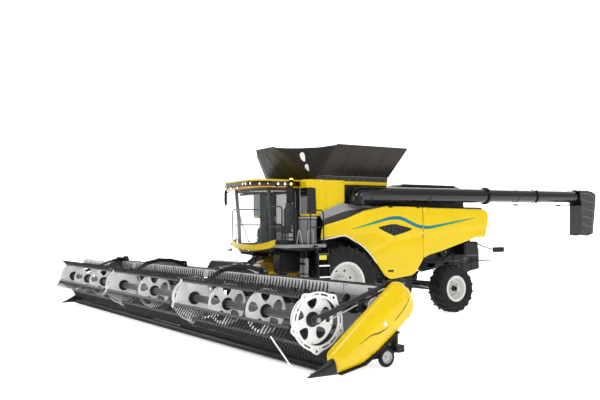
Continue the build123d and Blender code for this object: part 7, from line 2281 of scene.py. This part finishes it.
P = Piece("platform_store", "chassis", 34)
for x, y in ((1.86, -1.22), (1.66, -1.22)):
    P.add(lathe([(1.20, 0.0), (1.20, 0.058), (1.215, 0.066), (1.755, 0.066), (1.772, 0.056), (1.775, 0.0)], (x, y, 0.0), (0, 0, 1), 28), "grey")
    P.add(lathe([(1.775, 0.0), (1.775, 0.024), (2.06, 0.024)], (x, y, 0.0), (0, 0, 1), 18), "black")
    P.add(lathe([(1.34, 0.0665), (1.34, 0.072), (1.37, 0.072), (1.37, 0.0665)], (x, y, 0.0), (0, 0, 1), 28, closed=True), "black")
P.add(rbox((1.60, -1.31, 1.60), (1.92, -1.288, 1.66), 0.006), "black")
P.add(rbox((1.08, -1.50, 1.58), (1.18, -0.75, 2.06), 0.03), "black_matt")
P.add(rbox((0.93, -1.72, 1.36), (1.40, -1.14, 1.96), 0.05), "black_matt")
P.add(rbox((0.93, -1.16, 1.40), (1.16, -0.62, 1.96), 0.04), "black_matt")
P.add(rbox((1.00, -1.728, 1.44), (1.34, -1.71, 1.86), 0.02), "black")
for z in (1.50, 1.58, 1.66, 1.74):
    P.add(rbox((1.04, -1.735, z), (1.30, -1.724, z + 0.03), 0.004), "grey_dark")
P.add(tube([(1.42, -1.40, 1.96), (1.44, -1.50, 1.70), (1.42, -1.40, 1.46), (1.30, -1.16, 1.40)], 0.016, 8, fil=0.10), "black")
P.add(rbox((1.40, -1.24, 1.80), (1.60, -1.20, 2.06), 0.01), "black")
P.add(tube([(1.20, -1.55, 1.75), (1.10, -1.60, 1.62), (0.96, -1.30, 1.56)], 0.018, 8, fil=0.06), "black_matt")
P.done(None, "black_paint")

LX, LY = 2.19, -1.12
P = Piece("ladder_steps", "ladder", 34)
for y in (LY, LY + 0.345):
    P.add(prism([(y, 2.04), (y + 0.035, 2.04), (y + 0.100, 0.93), (y + 0.065, 0.93)], "X", LX - 0.05, LX + 0.05, 0.008), "black")
P.add(rbox((LX - 0.05, LY - 0.008, 1.95), (LX + 0.05, LY + 0.052, 2.04), 0.006), "black")
for z in (0.96, 1.26, 1.56, 1.86):
    y0, y1 = LY + 0.02 + 0.059 * (2.0 - z), LY + 0.36 + 0.059 * (2.0 - z)
    P.add(rbox((LX - 0.09, y0, z), (LX + 0.07, y1, z + 0.030), 0.006), "black")
    for k in range(5):
        P.add(rbox((LX - 0.085 + k * 0.033, y0 + 0.01, z + 0.028), (LX - 0.070 + k * 0.033, y1 - 0.01, z + 0.040), 0.003), "grey")
    if z < 1.8:
        P.add(rbox((LX + 0.058, y0, z + 0.002), (LX + 0.072, y1, z + 0.040), 0.004), "white_disc")
P.add(rod((LX, LY + 0.02, 1.95), (LX, LY + 0.02, 2.13), 0.020, 20, 0.003), "steel")
P.add(rbox((LX + 0.05, LY + 0.06, 1.74), (LX + 0.058, LY + 0.30, 1.90), 0.003), "plate_blank")
P.done("access_ladder", "black_paint")

# ------------------------------------------------------------------ stage, light and camera
n = 60
verts = []
for j in range(24):
    for i in range(n):
        a = 2 * math.pi * i / n
        r = 95 * (j / 23)
        verts.append((r * math.cos(a), r * math.sin(a), -0.002))
bmf = bmesh.new()
bv = [bmf.verts.new(v) for v in verts[n:]]
c0 = bmf.verts.new((0, 0, -0.002))
for j in range(22):
    for i in range(n):
        k = (i + 1) % n
        bmf.faces.new((bv[j * n + i], bv[(j + 1) * n + i], bv[(j + 1) * n + k], bv[j * n + k]))
for i in range(n):
    bmf.faces.new((c0, bv[i], bv[(i + 1) % n]))
mf = bpy.data.meshes.new("studio_floor")
bmf.to_mesh(mf)
bmf.free()
floor = bpy.data.objects.new("studio_floor", mf)
scene.collection.objects.link(floor)
material("studio", (0.93, 0.93, 0.93), 0.01, 0.6, (0.75, 0.85), 2, bump=0.02, bscale=20, spec=0.2)
mf.materials.append(MAT["studio"])
# a faint self-glow keeps the sheet as white as the page
pm = next(q for q in MAT["studio"].node_tree.nodes if q.type == "BSDF_PRINCIPLED")
pm.inputs["Emission Color"].default_value = (1, 1, 1, 1)
pm.inputs["Emission Strength"].default_value = 0.76

# a pale curved sheet stands far behind the machine
bmf = bmesh.new()
cols_ = []
for i in range(49):
    a = math.radians(148 + (i - 24) * 3.0)
    col_ = []
    for j in range(14):
        t = j / 13
        r = 62 + 6 * min(1, t * 3) - (0 if t > 0 else 6)
        col_.append(bmf.verts.new((r * math.cos(a), r * math.sin(a), -0.01 + 46 * t)))
    cols_.append(col_)
for p_, q_ in zip(cols_, cols_[1:]):
    for j in range(13):
        bmf.faces.new((p_[j], p_[j + 1], q_[j + 1], q_[j]))
mb = bpy.data.meshes.new("studio_back")
bmf.to_mesh(mb)
bmf.free()
back_sheet = bpy.data.objects.new("studio_back", mb)
scene.collection.objects.link(back_sheet)
material("studio_far", (0.93, 0.93, 0.93), 0.01, 0.6, (0.75, 0.85), 2, bump=0.02, bscale=20, spec=0.1)
mb.materials.append(MAT["studio_far"])
pm = next(q for q in MAT["studio_far"].node_tree.nodes if q.type == "BSDF_PRINCIPLED")
pm.inputs["Emission Color"].default_value = (1, 1, 1, 1)
pm.inputs["Emission Strength"].default_value = 0.98

world = bpy.data.worlds.new("studio")
scene.world = world
world.use_nodes = True
wn = world.node_tree
wn.nodes.clear()
wo = wn.nodes.new("ShaderNodeOutputWorld")
bg = wn.nodes.new("ShaderNodeBackground")
bg.inputs["Color"].default_value = (1, 1, 1, 1)
bg.inputs["Strength"].default_value = 0.54
wn.links.new(bg.outputs[0], wo.inputs[0])


def area(name, loc, at, size, power, shape="RECTANGLE", size_y=None):
    d = bpy.data.lights.new(name, "AREA")
    d.shape, d.size, d.energy = shape, size, power
    d.size_y = size_y or size
    o = bpy.data.objects.new(name, d)
    o.location = loc
    o.rotation_euler = (Vector(at) - Vector(loc)).to_track_quat("-Z", "Y").to_euler()
    scene.collection.objects.link(o)
    return o


area("key", (12, -12, 15), (0, 0, 1.5), 9, 1330, size_y=6)
area("side", (20, 6, 9), (0, 2, 1.5), 8, 560, size_y=5)
area("top", (0, 2, 18), (0, 1, 0), 14, 540, size_y=12)
area("front", (2, -22, 7), (0, -3, 1), 9, 330, size_y=5)

# camera, at the place the wheels, body and header of the picture agree on
az, el, roll = math.radians(57.591), math.radians(2.213), math.radians(-0.421)
back_ = Vector((math.sin(az) * math.cos(el), -math.cos(az) * math.cos(el), -math.sin(el)))
right = Vector((math.cos(az), math.sin(az), 0))
up_ = back_.cross(right)
Rr = right * math.cos(roll) + up_ * math.sin(roll)
Uu = -right * math.sin(roll) + up_ * math.cos(roll)
cam = bpy.data.cameras.new("camera")
cam.lens, cam.sensor_width, cam.sensor_fit = 44.22, 36, "HORIZONTAL"
cam.clip_end = 300
co = bpy.data.objects.new("camera", cam)
M = Matrix((Rr, Uu, back_)).transposed().to_4x4()
M.translation = Vector((18.376, -11.887 + S, 2.569))
co.matrix_world = M
scene.collection.objects.link(co)
scene.camera = co
scene.view_settings.view_transform = "Standard"
scene.view_settings.look = "None"
